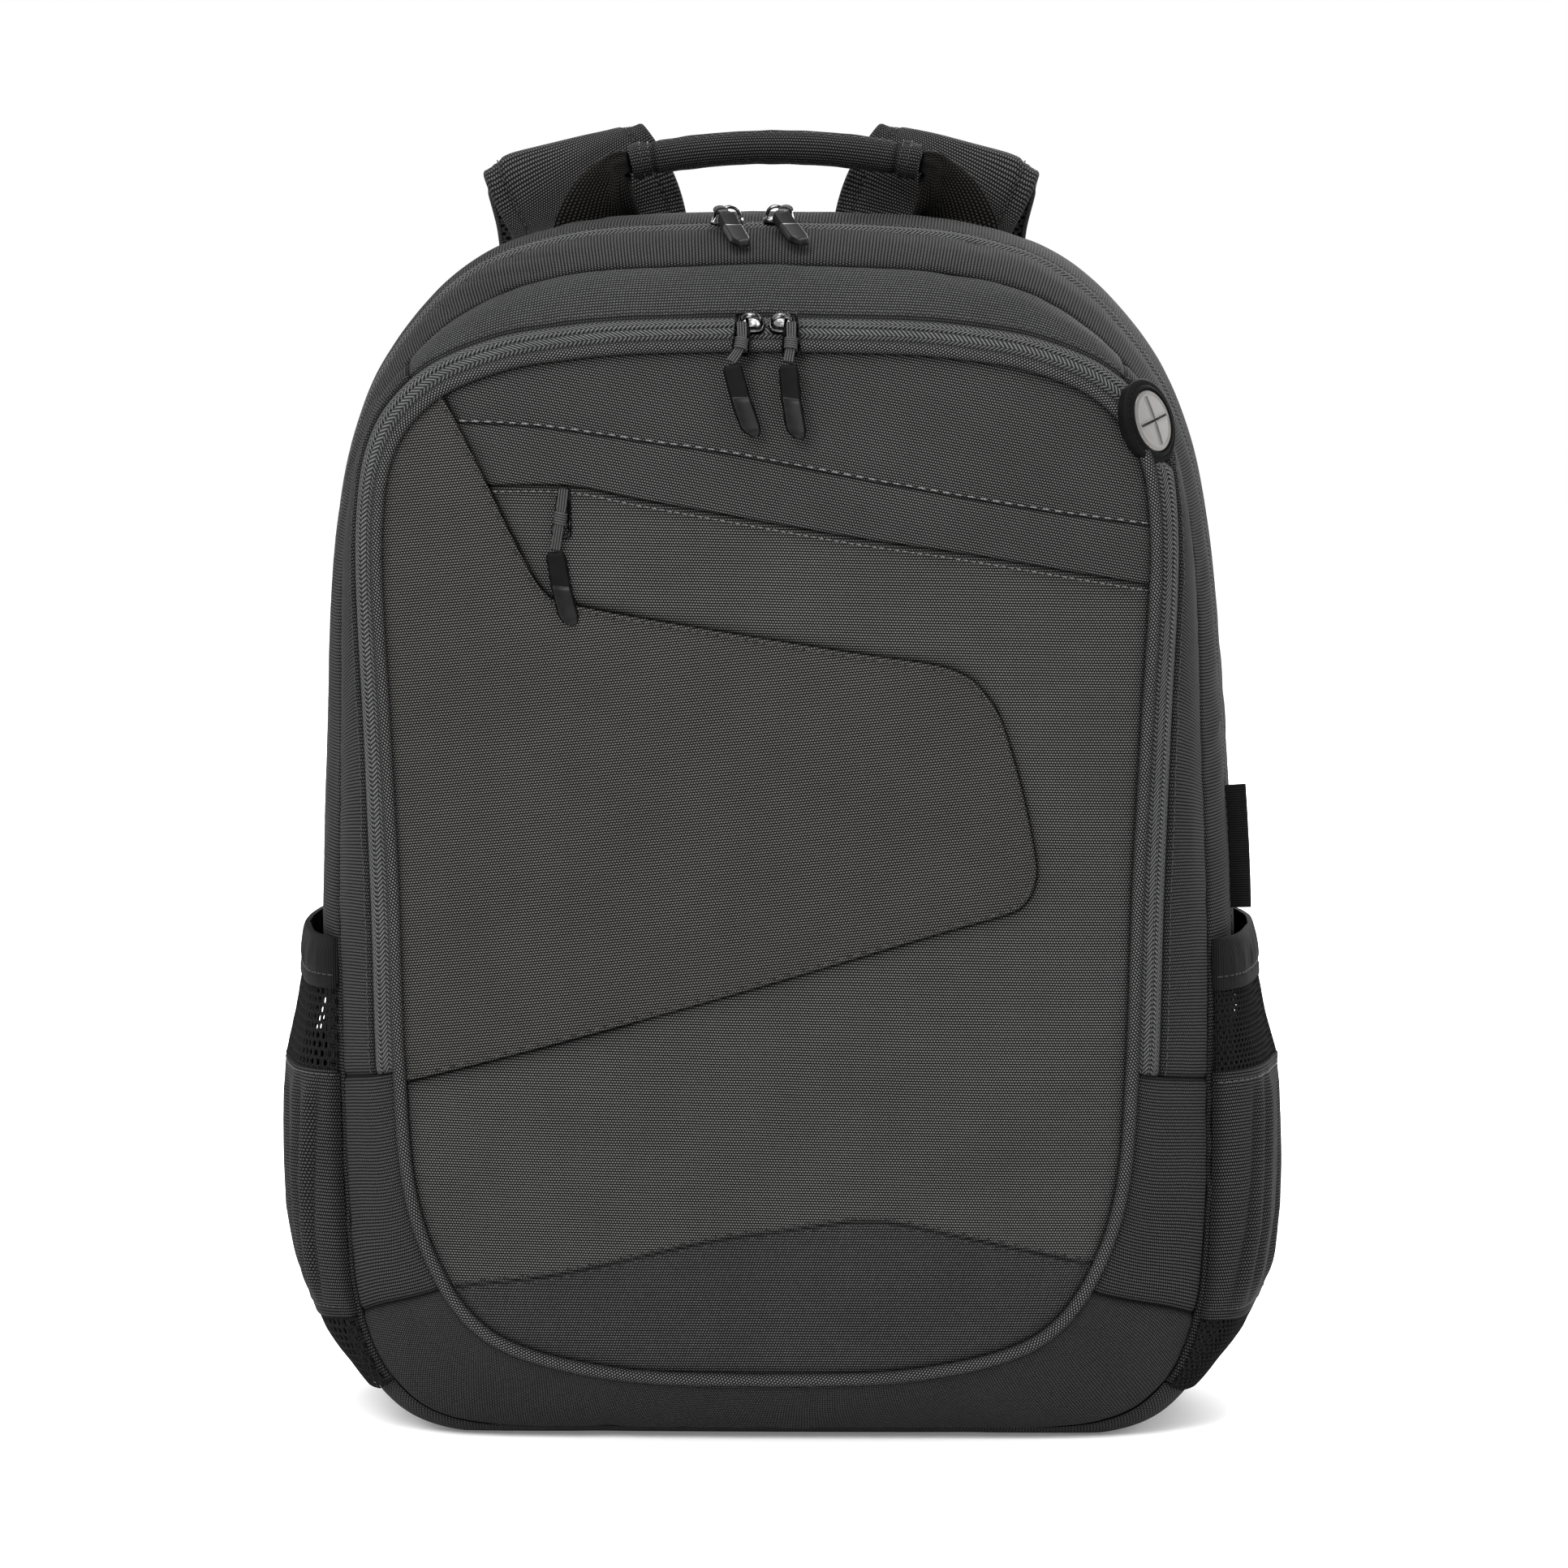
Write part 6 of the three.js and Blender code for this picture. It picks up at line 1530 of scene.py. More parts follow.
def make_handle():
    plane_y = skin(np.array(10.0), np.array(0.0))[1] + 0.4
    back = plane_y - 0.5 * HANDLE_DEEP
    top = BODY_HEIGHT + HANDLE_RISE
    share = np.linspace(-1, 1, 110)
    path = np.column_stack([share * HANDLE_HALF, np.full(110, back), top - HANDLE_SAG * share ** 2])
    count = 44
    base = oval(1, 1, count, 0.86)
    tab = ramp(np.abs(share), 0.85, 0.88)
    swell = 1 + 0.05 * tab - 0.12 * bell((np.abs(share) - 0.84) * HANDLE_HALF, 1.2)
    sections = base[None] * np.stack([HANDLE_DEEP * swell, HANDLE_THICK * swell], axis=-1)[:, None]
    angle = circle(count)
    grain = lambda along, around: spread(share[:, None] * along, np.cos(angle) * around)
    wrinkle = 0.25 * noise(grain(9, 2), 1, 81)
    wrinkle += 0.5 * noise(grain(22, 1), 1, 82) * ramp(np.abs(share), 0.6, 0.95)[:, None]
    groove = -0.8 * bell((angle[None] - math.radians(112)) * 7, 1.1) * ramp(np.abs(share), 0.97, 0.9)[:, None]
    sections = sections * (1 + (wrinkle + groove)[..., None] / 8)
    shape = Shape()
    # painted shade in the ring grooves near the ends and in the groove along the handle
    dark = 1 - 0.6 * bell((np.abs(share) - 0.84) * HANDLE_HALF, 0.9)[:, None] - 0.4 * bell(groove + 0.8, 0.5)
    points = sweep(shape, path, sections, np.array([0, 1.0, 0]), shade=dark)
    normals = sheet_normals(points, around=True)
    outward = unit(points - points.mean(axis=1, keepdims=True))
    normals *= np.sign((normals * outward).sum(-1, keepdims=True))
    column = int(round(math.radians(124) / (2 * math.pi) * count))
    stitches(shape, points[8:-8, column], normals[8:-8, column], finish=1)
    for row in (4, 7, -8, -5):
        stitches(shape, points[row], normals[row], finish=1, length=2.2, pitch=2.8)
    hand_over(shape, "handle_sleeve", "coarse_side dark_thread", "cloth", "handle_grip", fill=0.8)
    for tag, side in (("left", -1), ("right", 1)):
        make_handle_web(tag, side, back, plane_y)


def pad_section(count):
    """A flat rounded strip's outline, one wide and one thick."""
    return oval(1, 1, count, 0.35)


def make_handle_web(tag, side, back, plane_y):
    seam_back = plane_y + 0.8 * BACK_PAD + 3 * CLEARANCE + WEB_THICK / 2
    rows = along_rows(WEB_ROUTE, np.linspace(0, len(WEB_ROUTE) - 1, 60))
    out, behind, down, turned, wide, thick = rows.T
    path = np.column_stack([side * lerp(HANDLE_HALF, HANDLE_WEB_OUT, out), lerp(back, seam_back, behind),
                            lerp(BODY_HEIGHT + HANDLE_RISE - HANDLE_SAG, 463 - 8, down)])
    angle = np.radians(turned)
    across = np.column_stack([side * np.cos(angle), 0 * angle, np.sin(angle)])
    section = pad_section(32)
    sections = section[None] * np.stack([wide * HANDLE_WEB_WIDTH, thick * WEB_THICK], axis=-1)[:, None]
    down, place = np.linspace(0, 1, 60)[:, None], section[None, :, 0]
    ridge, hollow = bell(place - lerp(-0.36, 0.42, down), 0.12), bell(place - lerp(-0.12, 0.7, down), 0.13)
    sections[..., 1] += 2.6 * (hollow - ridge) * np.sin(math.pi * np.minimum(1.25 * down, 1)) * -side
    shade = (1 + 0.5 * ridge - 0.6 * hollow) * (1 - 0.7 * ramp(down, 0.12, 0.0))
    shape = Shape()
    sweep(shape, path, sections, across, shade=shade)
    hand_over(shape, f"handle_webbing_{tag}", "webbing", "webbing", f"handle_web_{tag}")


# Straps

def strap_line(side, count):
    rows = along_rows(STRAP_ROUTE, np.linspace(0, len(STRAP_ROUTE) - 1, count * 3))
    root = back_face() + CLEARANCE + STRAP_THICK / 2
    out, back, up, wide, tilt = rows.T
    path = np.column_stack([side * (out * BODY_HALF + STRAP_ASIDE[side]), root + back * STRAP_REACH,
                            up * BODY_HEIGHT])
    run = run_of(path)
    marks = np.linspace(0, run[-1], count)
    pick = lambda table: np.stack([np.interp(marks, run, column) for column in table.T], axis=1)
    across = np.column_stack([np.ones(len(rows)), 0 * tilt, -side * np.tan(np.radians(tilt))])
    return pick(path), pick(across), np.interp(marks, run, wide) * STRAP_WIDTH, marks


def back_face():
    return skin(np.array(10.0), np.array(0.0))[1] + 0.4 + BACK_PAD


def make_straps():
    for tag, side in (("left", -1), ("right", 1)):
        count = 260
        path, across, width, run = strap_line(side, count)
        tangents = unit(np.gradient(path, axis=0))
        wide = unit(across - (across * tangents).sum(-1, keepdims=True) * tangents)
        off = np.cross(tangents, wide)
        off *= np.sign(off[count // 2] @ np.array([0, 1.0, 0]))
        x = np.sin(np.linspace(-math.pi / 2, math.pi / 2, 41))
        plain = path[:, None] + x[None, :, None] * (width / 2)[:, None, None] * wide[:, None]
        wing = np.exp(-np.linspace(-2.2, 2.2, 9) ** 2)
        soft = np.pad(plain, ((4, 4), (0, 0), (0, 0)), mode="edge")
        soft = sum(share * soft[start:start + count] for start, share in enumerate(wing / wing.sum()))
        soft[:12], soft[-12:] = plain[:12], plain[-12:]
        plain = lerp(plain, soft, (np.abs(x) ** 6)[None, :, None])
        edge = (1 - np.abs(x)) * width[:, None] / 2
        puff = 1.9 + (STRAP_THICK / 2 - 1.9) * (1 - np.exp(-np.maximum(edge - 2.5, 0) / 5.5))
        seam = -0.9 * bell(edge - 5.4, 1.0)
        crest = run_of(path)
        bend = np.linalg.norm(np.gradient(tangents, crest, axis=0), axis=1)
        folded = np.clip(bend * 30, 0, 1)[:, None]
        fold = noise(spread(run[:, None] / 5, x[None] * 1.4), 1, 91 + side)
        long = noise(spread(run[:, None] / 26, x[None] * 1.2), 1, 93 + side)
        shape = Shape()
        for face, key in ((1, 0), (-1, 1)):
            body = puff * (1.0 if face > 0 else 0.92) + seam
            body += (0.45 * long + 0.55 * folded * fold) * ramp(edge, 3, 12)
            body = np.minimum(body, STRAP_THICK / 2 + 0.8)
            points = plain + face * body[..., None] * off[:, None]
            coords = spread(x[None] * width[:, None] / 2, run[:, None])
            flip = (face > 0) == (np.dot(np.cross(tangents[0], wide[0]), off[0]) > 0)
            shape.grid(points, coords, finish=key, flip=not flip, shade=1 - 0.6 * bell(edge - 5.4, 0.7))
            if face > 0:
                for at in (-1, 1):
                    mark = at * (1 - 5.4 / (width / 2))
                    column = np.array([np.interp(mark[k], x, body[k]) for k in range(count)])
                    line = path + (mark * width / 2)[:, None] * wide + column[:, None] * off
                    stitches(shape, line, off, finish=3)
        for at in (-1, 1):
            lap = np.linspace(0, math.pi, 11)
            rim = np.stack([1.7 * np.sin(lap), 2.0 * np.cos(lap)], axis=1)
            edges = plain[:, :1 if at < 0 else None][:, -1:] + at * rim[None, :, :1] * wide[:, None] \
                + rim[None, :, 1:] * off[:, None]
            lap = spread(3 * lap[None], run[:, None])
            shape.grid(edges, lap, finish=0, flip=(at > 0) == flip)
        for row in (0, -1):
            cap = path[row] + np.stack([x * width[row] / 2, 0 * x], axis=1) @ np.stack([wide[row], off[row]])
            ends = np.stack([cap + 3.5 * off[row], cap - 3.5 * off[row]])
            shape.grid(ends, None, finish=2, flip=row == 0)
        hand_over(shape, f"strap_{tag}_pad", "coarse_strap air_mesh binding dark_thread", "cloth",
                  f"strap_{tag}", fill=0.7)
        make_lock(tag, side, path[-1])
        make_lower_web(tag, side, path[-1])


def make_lock(tag, side, end):
    """Moulded ladder lock: a frame with two slots and rounded bars."""
    shape = Shape()
    half = millimetres("lock_width") / 2
    z_top = end[2] - CLEARANCE
    slot_high = (LOCK_HEIGHT - 3 * LOCK_BAR) / 2
    bars = [z_top - LOCK_BAR / 2, z_top - LOCK_BAR * 1.5 - slot_high, z_top - LOCK_HEIGHT + LOCK_BAR / 2]
    for z in bars:
        xs = np.linspace(-half + 1.2, half - 1.2, 20)
        path = np.column_stack([end[0] + xs, np.full(20, end[1]), np.full(20, z)])
        sweep(shape, path, oval(LOCK_BAR, LOCK_THICK, 16, 0.7), np.array([0, 0, 1.0]))
    for at in (-1, 1):
        zs = np.linspace(z_top - 0.3, z_top - LOCK_HEIGHT + 0.3, 24)
        path = np.column_stack([np.full(24, end[0] + at * (half - LOCK_BAR / 2)), np.full(24, end[1]), zs])
        sweep(shape, path, oval(LOCK_BAR, LOCK_THICK + 0.3, 16, 0.7), np.array([1.0, 0, 0]))
    hand_over(shape, f"ladder_lock_{tag}_moulding", "plastic", "plastic", f"ladder_lock_{tag}")


def make_lower_web(tag, side, end):
    bar_foot = end[2] - CLEARANCE - LOCK_HEIGHT
    bar_middle, bar_top = bar_foot + LOCK_BAR / 2, bar_foot + LOCK_BAR
    inner = end[1] - LOCK_THICK / 2 - CLEARANCE - LOWER_WEB_THICK / 2
    outer = end[1] + LOCK_THICK / 2 + CLEARANCE + LOWER_WEB_THICK / 2
    bend = bar_top + 2 * CLEARANCE + LOWER_WEB_THICK / 2
    corner = np.array([side * 0.8 * BODY_HALF, back_face() + CLEARANCE + LOWER_WEB_THICK / 2, 0.09 * BODY_HEIGHT])
    x = end[0]
    rows = np.array([
        corner, corner + (-side * 3, 1, 14),
        (lerp(corner[0], x, 0.65), lerp(corner[1], inner, 0.65), lerp(corner[2], bar_middle, 0.6)),
        (x, inner, bar_middle - 9), (x, inner, bar_top), (x, lerp(inner, outer, 0.2), bend),
        (x, lerp(inner, outer, 0.8), bend), (x, outer, bar_top), (x, outer + 0.5, bar_middle - 9),
        (x + side * 2, outer + 1, bar_foot - millimetres("web_tail")),
    ])
    lean = (x - corner[0]) / (bar_middle - corner[2])
    across = np.array([(1, 0, -lean)] * 3 + [(1, 0, 0)] * 7)
    places = np.linspace(0, len(rows) - 1, 200)
    fine, wide = along_rows(rows, places), along_rows(across, places)
    run = run_of(fine)
    marks = np.linspace(0, run[-1], 160)
    pick = lambda table: np.stack([np.interp(marks, run, column) for column in table.T], axis=1)
    shape = Shape()
    width = millimetres("web_width")
    section = pad_section(28) * np.array([width, LOWER_WEB_THICK])
    sweep(shape, pick(fine), section, pick(wide))
    tail = pick(fine)[-1]
    hem = np.array([tail + (0, 0.6, 9), tail + (0, 0.6, 0.2)])
    sweep(shape, resample(hem, 1.5), pad_section(24) * np.array([width - 0.4, 1.8]), np.array([1.0, 0, 0]))
    hand_over(shape, f"lower_webbing_{tag}", "webbing", "webbing", f"lower_web_{tag}")


# Zip pulls

ARCH_ROOM = SLIDER_THICK + CLEARANCE + (ARCH_RISE - ARCH_BAR) / 2
FRAME_ABOVE = ARCH_WIDTH / 2 + CLEARANCE + 1.5


def make_slider(name, place):
    shape = Shape()
    body = oval(SLIDER_LENGTH, SLIDER_WIDTH, 40, 0.6)
    prism(shape, body, SLIDER_THICK, 0.6, place, crown=0.15)
    angle = np.linspace(0, math.pi, 28)
    mid_half, mid_rise = 0.44 * SLIDER_LENGTH - ARCH_BAR / 2, ARCH_RISE - ARCH_BAR / 2
    x, z = mid_half * np.cos(angle), mid_rise * np.sin(angle) ** 0.7 + SLIDER_THICK - 0.2
    path = place(np.column_stack([x, 0 * x, z]))
    wide = place(np.array([[0, 1.0, 0]]))[0] - place(np.zeros((1, 3)))[0]
    sweep(shape, path, oval(ARCH_WIDTH, ARCH_BAR, 14, 0.75), wide)
    hand_over(shape, f"{name}_body", "gunmetal", "dark_metal", name)


def make_frame(name, place):
    """A flat wire frame, narrow at the slider and wider at the cord."""
    half = FRAME_BAR / 2
    top, foot = FRAME_TOP_WIDTH / 2 - half, FRAME_FOOT_WIDTH / 2 - half
    high, low = FRAME_ABOVE - half, FRAME_ABOVE - FRAME_LENGTH + half
    rows = np.array([
        (-top * 0.8, high), (top * 0.8, high), (top, high - 0.9),
        (lerp(top, foot, 0.5), lerp(high, low, 0.45)),
        (foot, low + 0.5 * foot), (0.6 * foot, low + 0.3), (0, low), (-0.6 * foot, low + 0.3),
        (-foot, low + 0.5 * foot),
        (-lerp(top, foot, 0.5), lerp(high, low, 0.45)), (-top, high - 0.9),
    ])
    line = smooth_line(rows, 0.5, closed=True)
    line = np.vstack([line, line[:1]])
    path = place(np.column_stack([line, 0 * line[:, 0]]))
    off = place(np.array([[0, 0, 1.0]]))[0] - place(np.zeros((1, 3)))[0]
    shape = Shape()
    tangents = unit(np.gradient(path, axis=0))
    wide = np.cross(tangents, off)
    sweep(shape, path, oval(FRAME_BAR, FRAME_THICK, 12), wide, closed_ends=False)
    hand_over(shape, f"{name}_wire", "wire", "dark_metal", name)


def make_cord(name, points, knot, across):
    """Four strands side by side, wrapped by a knot."""
    rows = np.asarray(points)
    path = smooth_line(rows, 0.45)
    tangents = unit(np.gradient(path, axis=0))
    wide = unit(across - (across * tangents).sum(-1, keepdims=True) * tangents)
    off = np.cross(tangents, wide)
    shape = Shape()
    near = bell(np.linalg.norm(path - knot, axis=1), 3.0)[:, None]
    # painted shade: each strand, and each wrap of the knot, is painted dark along its flanks
    for strand in (-1.5, -0.5, 0.5, 1.5):
        shift = strand * (0.95 - 0.2 * near)
        strand_path = path + shift * wide + (0.2 if abs(strand) < 1 else 0) * off
        sweep(shape, strand_path, oval(0.98, 1.25, 10), wide, uv_scale=1.6, flank_shade=0.05)
    for loop in range(5):
        centre = knot + (loop - 2) * 0.95 * tangents[np.argmin(np.linalg.norm(path - knot, axis=1))]
        at = np.argmin(np.linalg.norm(path - knot, axis=1))
        angle = np.linspace(0, 2 * math.pi, 30)
        wrap = centre + 2.2 * np.cos(angle)[:, None] * wide[at] + 1.25 * np.sin(angle)[:, None] * off[at] \
            + (0.45 * np.cos(angle / 2))[:, None] * tangents[at]
        sweep(shape, wrap, oval(0.92, 0.95, 8), tangents[at], uv_scale=1.6, closed_ends=False, flank_shade=0.1)
    hand_over(shape, f"{name}_strands", "cord", "webbing", name)


def make_grip(name, place):
    """A moulded grip: a flat upper half, a crease, and a bent lower half with bevelled edges."""
    right = np.array([(0, 0.34), (0.06, 0.44), (0.45, 0.5), (0.88, 0.66), (0.96, 0.6), (1, 0.5)])
    left = np.array([(0, -0.34), (0.06, -0.44), (0.5, -0.4), (0.85, -0.26), (0.93, -0.1), (1, 0.2)])
    across = np.array([0, 0.04, 0.08, 0.11, 0.14, 0.17, 0.5, 0.83, 0.86, 0.89, 0.92, 0.96, 1])
    rise = np.array([0.35, 0.7, 0.9, 1, 1.02, 1, 1, 1, 1.02, 1, 0.9, 0.7, 0.35])
    # painted light across the grip's face: a painted highlight along the bevel near one edge and painted shade at both
    # outer edges; reversed for all but the left-hand grips
    painted_shading = np.array([0.7, 0.8, 1, 1.6, 3.4, 1.4, 1, 1, 1, 1, 1, 0.8, 0.7])
    painted_shading = painted_shading if name.endswith("left_grip") else painted_shading[::-1]
    length, width, thickness = (millimetres("grip_" + side) for side in ("length", "width", "thick"))
    shape = Shape()
    halves = ((np.linspace(0, 0.46, 14), [(0, 0.5), (0.03, 0.78), (0.46, 0.86)], 0),
              (np.linspace(0.46, 1, 18), [(0.46, 0.86), (0.5, 1.0), (0.94, 0.72), (0.98, 0.6), (1, 0.3)], 1))
    for downs, body, key in halves:
        low, high = np.interp(downs, *left.T), np.interp(downs, *right.T)
        x = lerp(low[:, None], high[:, None], across) * width
        y = np.broadcast_to(-downs[:, None] * length, x.shape)
        if key:
            y = y + 1.6 * (0.5 - across) * ramp(downs, 0.9, 0.46)[:, None]
        else:
            y = y + 1.6 * (0.5 - across) * ramp(downs, 0.2, 0.46)[:, None]
        thick = np.interp(downs, *np.array(body).T)[:, None] * thickness
        front = np.stack([x, y, thick * rise], axis=-1)
        behind = np.stack([x, y, 0.06 * thick * (1 - rise)], axis=-1)
        coords = front[..., :2]
        shape.grid(place(front), coords, finish=key, shade=painted_shading[None])
        shape.grid(place(behind), coords, finish=key, flip=True)
        for column in (0, -1):
            shape.grid(place(np.stack([behind[:, column], front[:, column]], axis=1)),
                       np.stack([coords[:, column]] * 2, axis=1), finish=key, flip=column == 0)
        row = 0 if not key else -1
        shape.grid(place(np.stack([behind[row], front[row]])), np.stack([coords[row]] * 2), finish=key,
                   flip=bool(key))
    hand_over(shape, f"{name}_moulding", "rubber rubber_worn", "rubber", name)


def make_pulls():
    grip_length, grip_thick = millimetres("grip_length"), millimetres("grip_thick")
    ahead_of = FRAME_THICK / 2 + CLEARANCE + CORD_THICK / 2
    for name, (zip_name, across, side, grip_across, grip_lean) in PULLS.items():
        place, slope, knot_down, drop, forward, grip_slope = ZIPS[zip_name]
        turn = np.sign(across) * turn_at_across(np.array(place), abs(across))
        off = skin_normal(np.array(place), turn)
        along = np.array([1.0, 0, 0])
        seat = skin(np.array(place), turn) + CLEARANCE * off
        room = seat + (ARCH_ROOM - CLEARANCE + 0.3) * off
        slope = math.radians(slope)
        frame_up = np.array([0, math.cos(slope), math.sin(slope)])
        frame_off = np.array([0, -math.sin(slope), math.cos(slope)])
        bar = 0.44 * SLIDER_LENGTH - ARCH_BAR - FRAME_BAR - 3 * CLEARANCE
        frame_at = room + np.array([side * (bar + FRAME_TOP_WIDTH / 2), 0, 0])
        angle = math.radians(grip_slope)
        grip_up = np.array([-math.sin(math.radians(grip_lean)), math.cos(angle), math.sin(angle)])
        grip_off = np.array([0, -math.sin(angle), math.cos(angle)])
        grip_top = room + np.array([0, -forward, -drop])
        grip_top[0] = grip_across
        on_frame = lambda down: frame_at - down * frame_up + ahead_of * frame_off
        cord_end = grip_top + grip_thick / 2 * grip_off + CORD_END_GAP * unit(grip_up)
        make_slider(f"{name}_slider", laid(seat, np.cross(off, along), off))
        make_frame(f"{name}_frame", laid(frame_at, frame_up, frame_off))
        make_cord(f"{name}_cord", [on_frame(2.4), on_frame(knot_down), cord_end], on_frame(knot_down - 0.5), along)
        make_grip(f"{name}_grip", laid(grip_top, grip_up, grip_off))

    across, grip_across, lean = POCKET_PULL
    edge = lerp(FRONT_FOOT, FRONT_TOP, 0.8665)
    sheet = FrontSheet()
    lie = lambda x, z, lift: np.array([x, sheet.depth(np.array([[x, z]]))[0] - lift, z])
    frame_top = lie(across, edge - 0.4 - 3.5, CLEARANCE + FRAME_THICK / 2 + 0.6)
    frame_foot = lie(across - 1, edge - 0.4 - FRAME_LENGTH, CLEARANCE + FRAME_THICK / 2 + 0.6)
    frame_up = unit(frame_top - frame_foot)
    right = np.array([1.0, 0, 0])
    grip_top = lie(grip_across, edge - 25, 1.2)
    grip_up = unit(grip_top - lie(grip_across, edge - 25 - grip_length, 0.6))
    grip_up[0] -= math.sin(math.radians(lean))
    ahead = FRAME_THICK + CLEARANCE + CORD_THICK / 2 + 1.1
    cord = [lie(across, edge - 1.2, ahead + 0.2), lie(across - 1.2, edge - 12, ahead),
            lie(grip_across, edge - 25 + CORD_END_GAP, 1.2 + grip_thick / 2)]
    make_frame("pocket_pull_frame", laid(frame_top, frame_up, np.cross(right, frame_up)))
    make_cord("pocket_pull_cord", cord, cord[1], right)
    make_grip("pocket_pull_grip", laid(grip_top, grip_up, np.cross(right, grip_up)))


# Stage

def power(label, description, watts):
    """A light's power property."""
    return FloatProperty(name=label, description=description, unit="POWER", min=0, default=watts)


class BackpackLights(bpy.types.PropertyGroup):
    """Powers of the studio lights"""
    key: power("Key light", "Large light ahead on the left", 90)
    fill: power("Fill light", "Weak light ahead on the right", 9)
    top: power("Top light", "Light above the handle", 60)
    back: power("Back light", "Light on the padded back", 70)
    side: power("Side lights", "Light on each side, from behind", 13)


def add_light(name, place, aim, size, power):
    light = bpy.data.lights.new(name, "AREA")
    light.shape = "RECTANGLE"
    light.size, light.size_y = size
    light.energy = power
    lamp = bpy.data.objects.new(name, light)
    lamp.location = place
    lamp.rotation_euler = (Vector(aim) - Vector(place)).to_track_quat("-Z", "Y").to_euler()
    bpy.context.scene.collection.objects.link(lamp)


def make_stage():
    scene = bpy.context.scene
    shape = Shape()
    reach = 6000
    corners = [(-reach, -reach, 0), (reach, -reach, 0), (reach, reach, 0), (-reach, reach, 0)]
    shape.add(corners, [(0, 1, 2, 3)])
    floor = shape.build("studio_floor", [finish("floor")], smooth=False)
    world = bpy.data.worlds.new("studio")
    world.use_nodes = True
    backdrop = world.node_tree.nodes["Background"]
    backdrop.inputs["Color"].default_value = (1, 1, 1, 1)
    backdrop.inputs["Strength"].default_value = 1.0
    scene.world = world
    lights = scene.backpack_lights
    add_light("key", (-0.9, -2.2, 1.7), (0, 0, 0.25), (1.4, 1.4), lights.key)
    add_light("fill", (1.6, -2.0, 0.9), (0, 0, 0.25), (1.2, 1.2), lights.fill)
    add_light("top", (0.0, -0.2, 2.3), (0, 0, 0.3), (1.6, 1.0), lights.top)
    add_light("back", (0.7, 2.4, 1.3), (0, 0, 0.25), (1.6, 1.4), lights.back)
    add_light("right", (2.5, 1.2, 1.0), (0, 0, 0.25), (1.2, 1.2), lights.side)
    add_light("left", (-2.5, 1.2, 1.0), (0, 0, 0.25), (1.2, 1.2), lights.side)
    scene.view_settings.view_transform = "Standard"

    target = Vector((0.00507, 0, 0.2461))
    azimuth, elevation, reach = math.radians(1.2), math.radians(5.5), 3.0
    ahead = Vector((math.sin(azimuth) * math.cos(elevation), -math.cos(azimuth) * math.cos(elevation),
                    math.sin(elevation)))
    lens = bpy.data.cameras.new("camera")
    lens.sensor_width = 36
    lens.lens = 176.35
    lens.clip_end = 50
    camera = bpy.data.objects.new("camera", lens)
    camera.location = target + reach * ahead
    camera.rotation_euler = (-ahead).to_track_quat("-Z", "Y").to_euler()
    scene.collection.objects.link(camera)
    scene.camera = camera


# Operators, the panel and the run

class BACKPACK_OT_front(bpy.types.Operator):
    """Sews the five panels inside the piping"""
    bl_idname = "backpack.front"
    bl_label = "Front panel"

    def execute(self, context):
        make_front()
        return {"FINISHED"}


class BACKPACK_OT_piping(bpy.types.Operator):
    """Lays the piping round the front panel"""
    bl_idname = "backpack.piping"
    bl_label = "Piping"

    def execute(self, context):
        make_piping()
        return {"FINISHED"}


class BACKPACK_OT_zips(bpy.types.Operator):
    """Lays the tapes of both zips"""
    bl_idname = "backpack.zips"
    bl_label = "Zips"

    def execute(self, context):
        make_zips()
        return {"FINISHED"}


class BACKPACK_OT_body(bpy.types.Operator):
    """Sews the gussets, the boot and the base"""
    bl_idname = "backpack.body"
    bl_label = "Body"

    def execute(self, context):
        make_body()
        return {"FINISHED"}


class BACKPACK_OT_back(bpy.types.Operator):
    """Pads the back panel"""
    bl_idname = "backpack.back"
    bl_label = "Back panel"

    def execute(self, context):
        make_back()
        return {"FINISHED"}


class BACKPACK_OT_pockets(bpy.types.Operator):
    """Sews both side pockets"""
    bl_idname = "backpack.pockets"
    bl_label = "Side pockets"

    def execute(self, context):
        make_pockets()
        return {"FINISHED"}


class BACKPACK_OT_label(bpy.types.Operator):
    """Folds the label into its seam"""
    bl_idname = "backpack.label"
    bl_label = "Label"

    def execute(self, context):
        make_label()
        return {"FINISHED"}


class BACKPACK_OT_port(bpy.types.Operator):
    """Sets the cable port"""
    bl_idname = "backpack.port"
    bl_label = "Cable port"

    def execute(self, context):
        make_port()
        return {"FINISHED"}


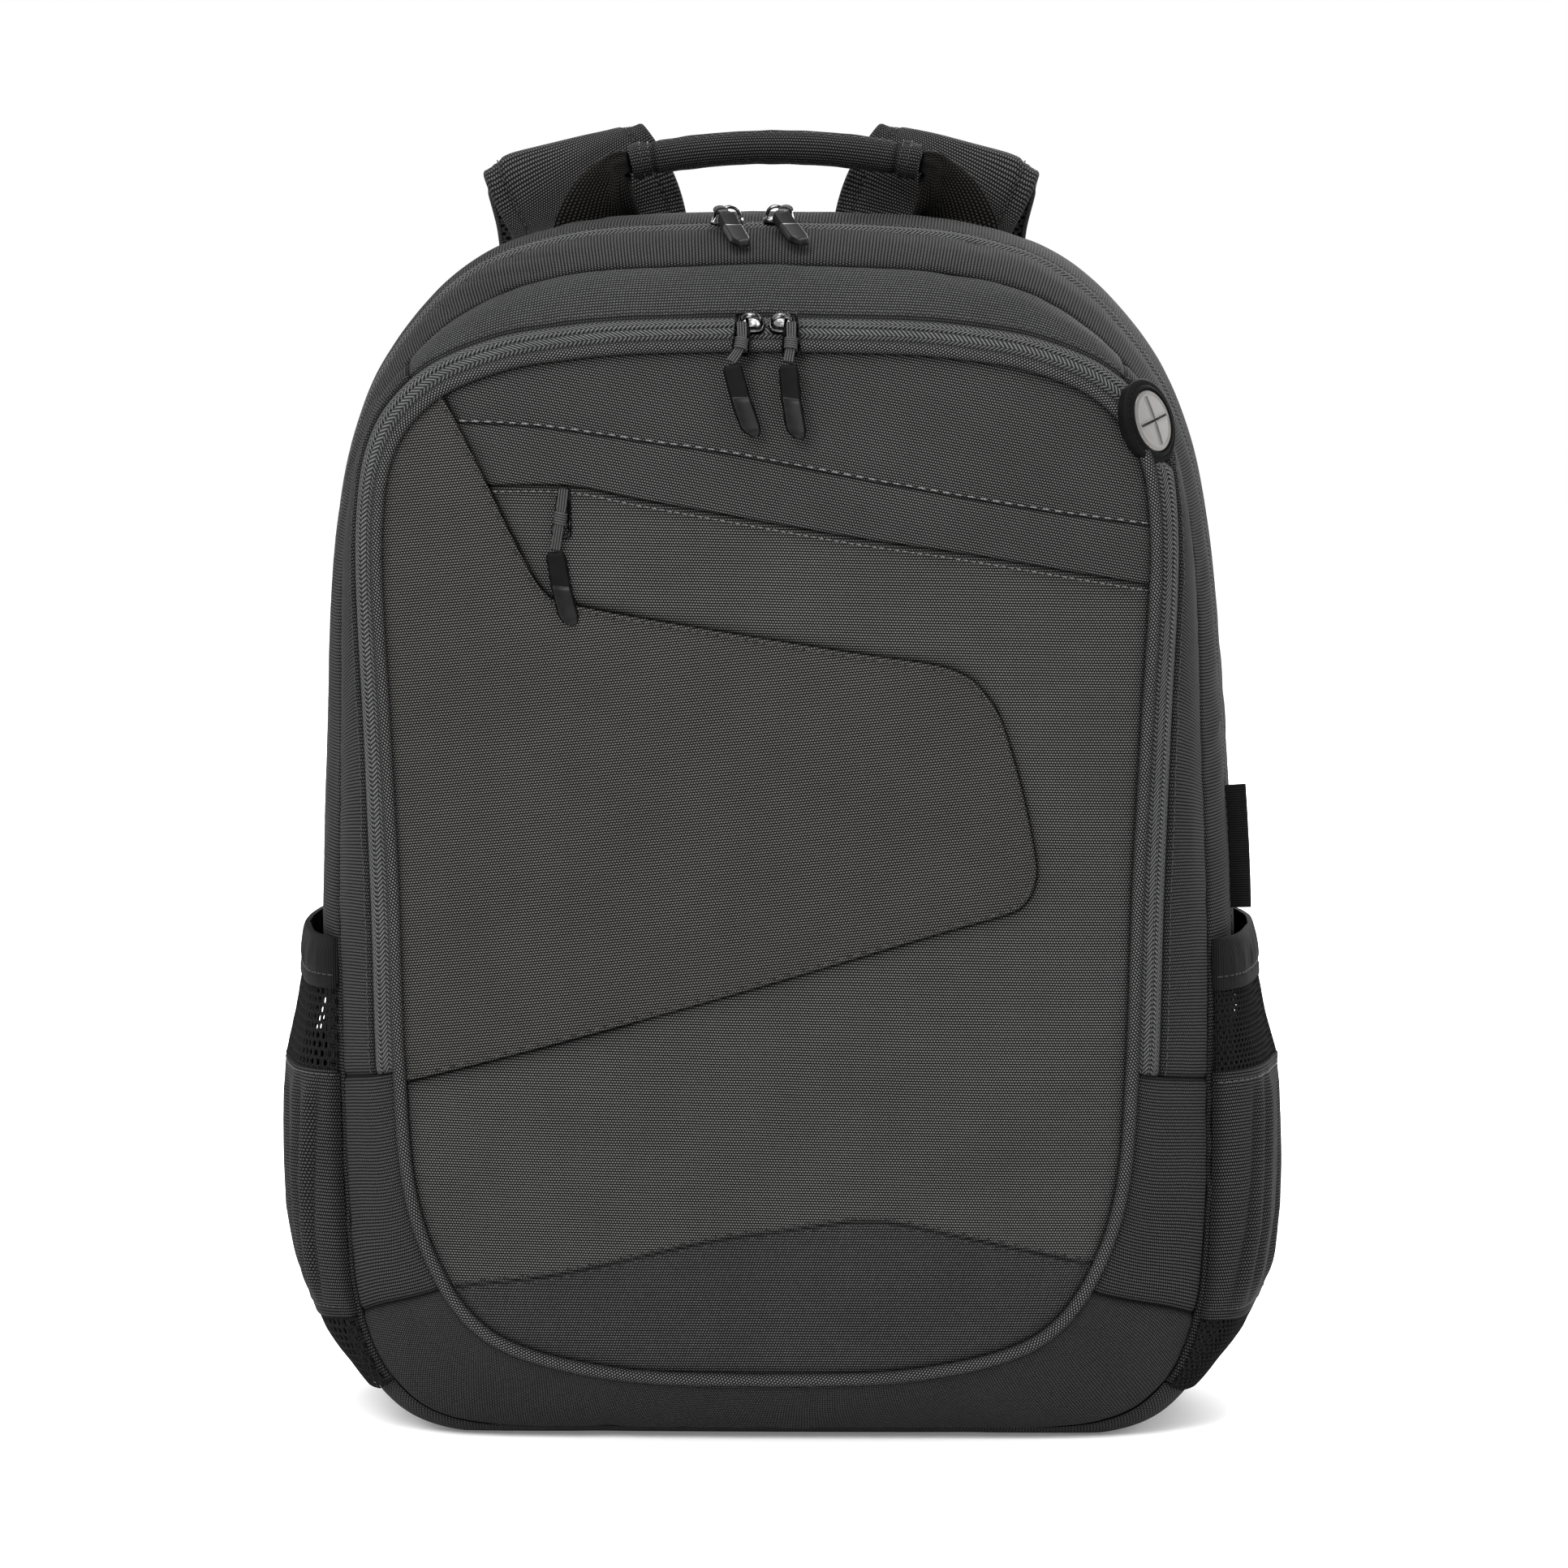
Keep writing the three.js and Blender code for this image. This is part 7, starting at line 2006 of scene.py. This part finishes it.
class BACKPACK_OT_handle(bpy.types.Operator):
    """Pads the handle and lays its webbing"""
    bl_idname = "backpack.handle"
    bl_label = "Handle"

    def execute(self, context):
        make_handle()
        return {"FINISHED"}


class BACKPACK_OT_straps(bpy.types.Operator):
    """Pads the straps and threads their webbing"""
    bl_idname = "backpack.straps"
    bl_label = "Shoulder straps"

    def execute(self, context):
        make_straps()
        return {"FINISHED"}


class BACKPACK_OT_pulls(bpy.types.Operator):
    """Hangs the five zip pulls"""
    bl_idname = "backpack.pulls"
    bl_label = "Zip pulls"

    def execute(self, context):
        make_pulls()
        return {"FINISHED"}


class BACKPACK_OT_stage(bpy.types.Operator):
    """Sets the floor, the lights and the camera"""
    bl_idname = "backpack.stage"
    bl_label = "Stage"

    def execute(self, context):
        make_stage()
        return {"FINISHED"}


STEPS = (
    BACKPACK_OT_front, BACKPACK_OT_piping, BACKPACK_OT_zips,
    BACKPACK_OT_body, BACKPACK_OT_back, BACKPACK_OT_pockets,
    BACKPACK_OT_label, BACKPACK_OT_port, BACKPACK_OT_handle,
    BACKPACK_OT_straps, BACKPACK_OT_pulls, BACKPACK_OT_stage,
)


class BACKPACK_PT_steps(bpy.types.Panel):
    """Lists the steps that make the backpack"""
    bl_label = "Backpack"
    bl_space_type = "VIEW_3D"
    bl_region_type = "UI"
    bl_category = "Backpack"

    def draw(self, context):
        for step in STEPS:
            self.layout.operator(step.bl_idname)
        for label, settings in GROUPS.items():
            box = self.layout.box()
            for name in settings.__annotations__:
                box.prop(getattr(context.scene, label), name)


GROUPS = {
    "backpack_sizes": BackpackSizes, "backpack_colours": BackpackColours, "backpack_lights": BackpackLights,
}
CLASSES = (*GROUPS.values(), *STEPS, BACKPACK_PT_steps)


def register():
    for kind in CLASSES:
        bpy.utils.register_class(kind)
    for name, settings in GROUPS.items():
        setattr(bpy.types.Scene, name, PointerProperty(type=settings))


def unregister():
    for name in GROUPS:
        delattr(bpy.types.Scene, name)
    for kind in reversed(CLASSES):
        bpy.utils.unregister_class(kind)


def main():
    register()
    for step in STEPS:
        getattr(bpy.ops.backpack, step.bl_idname.split(".")[1])()


if __name__ == "__main__":
    main()
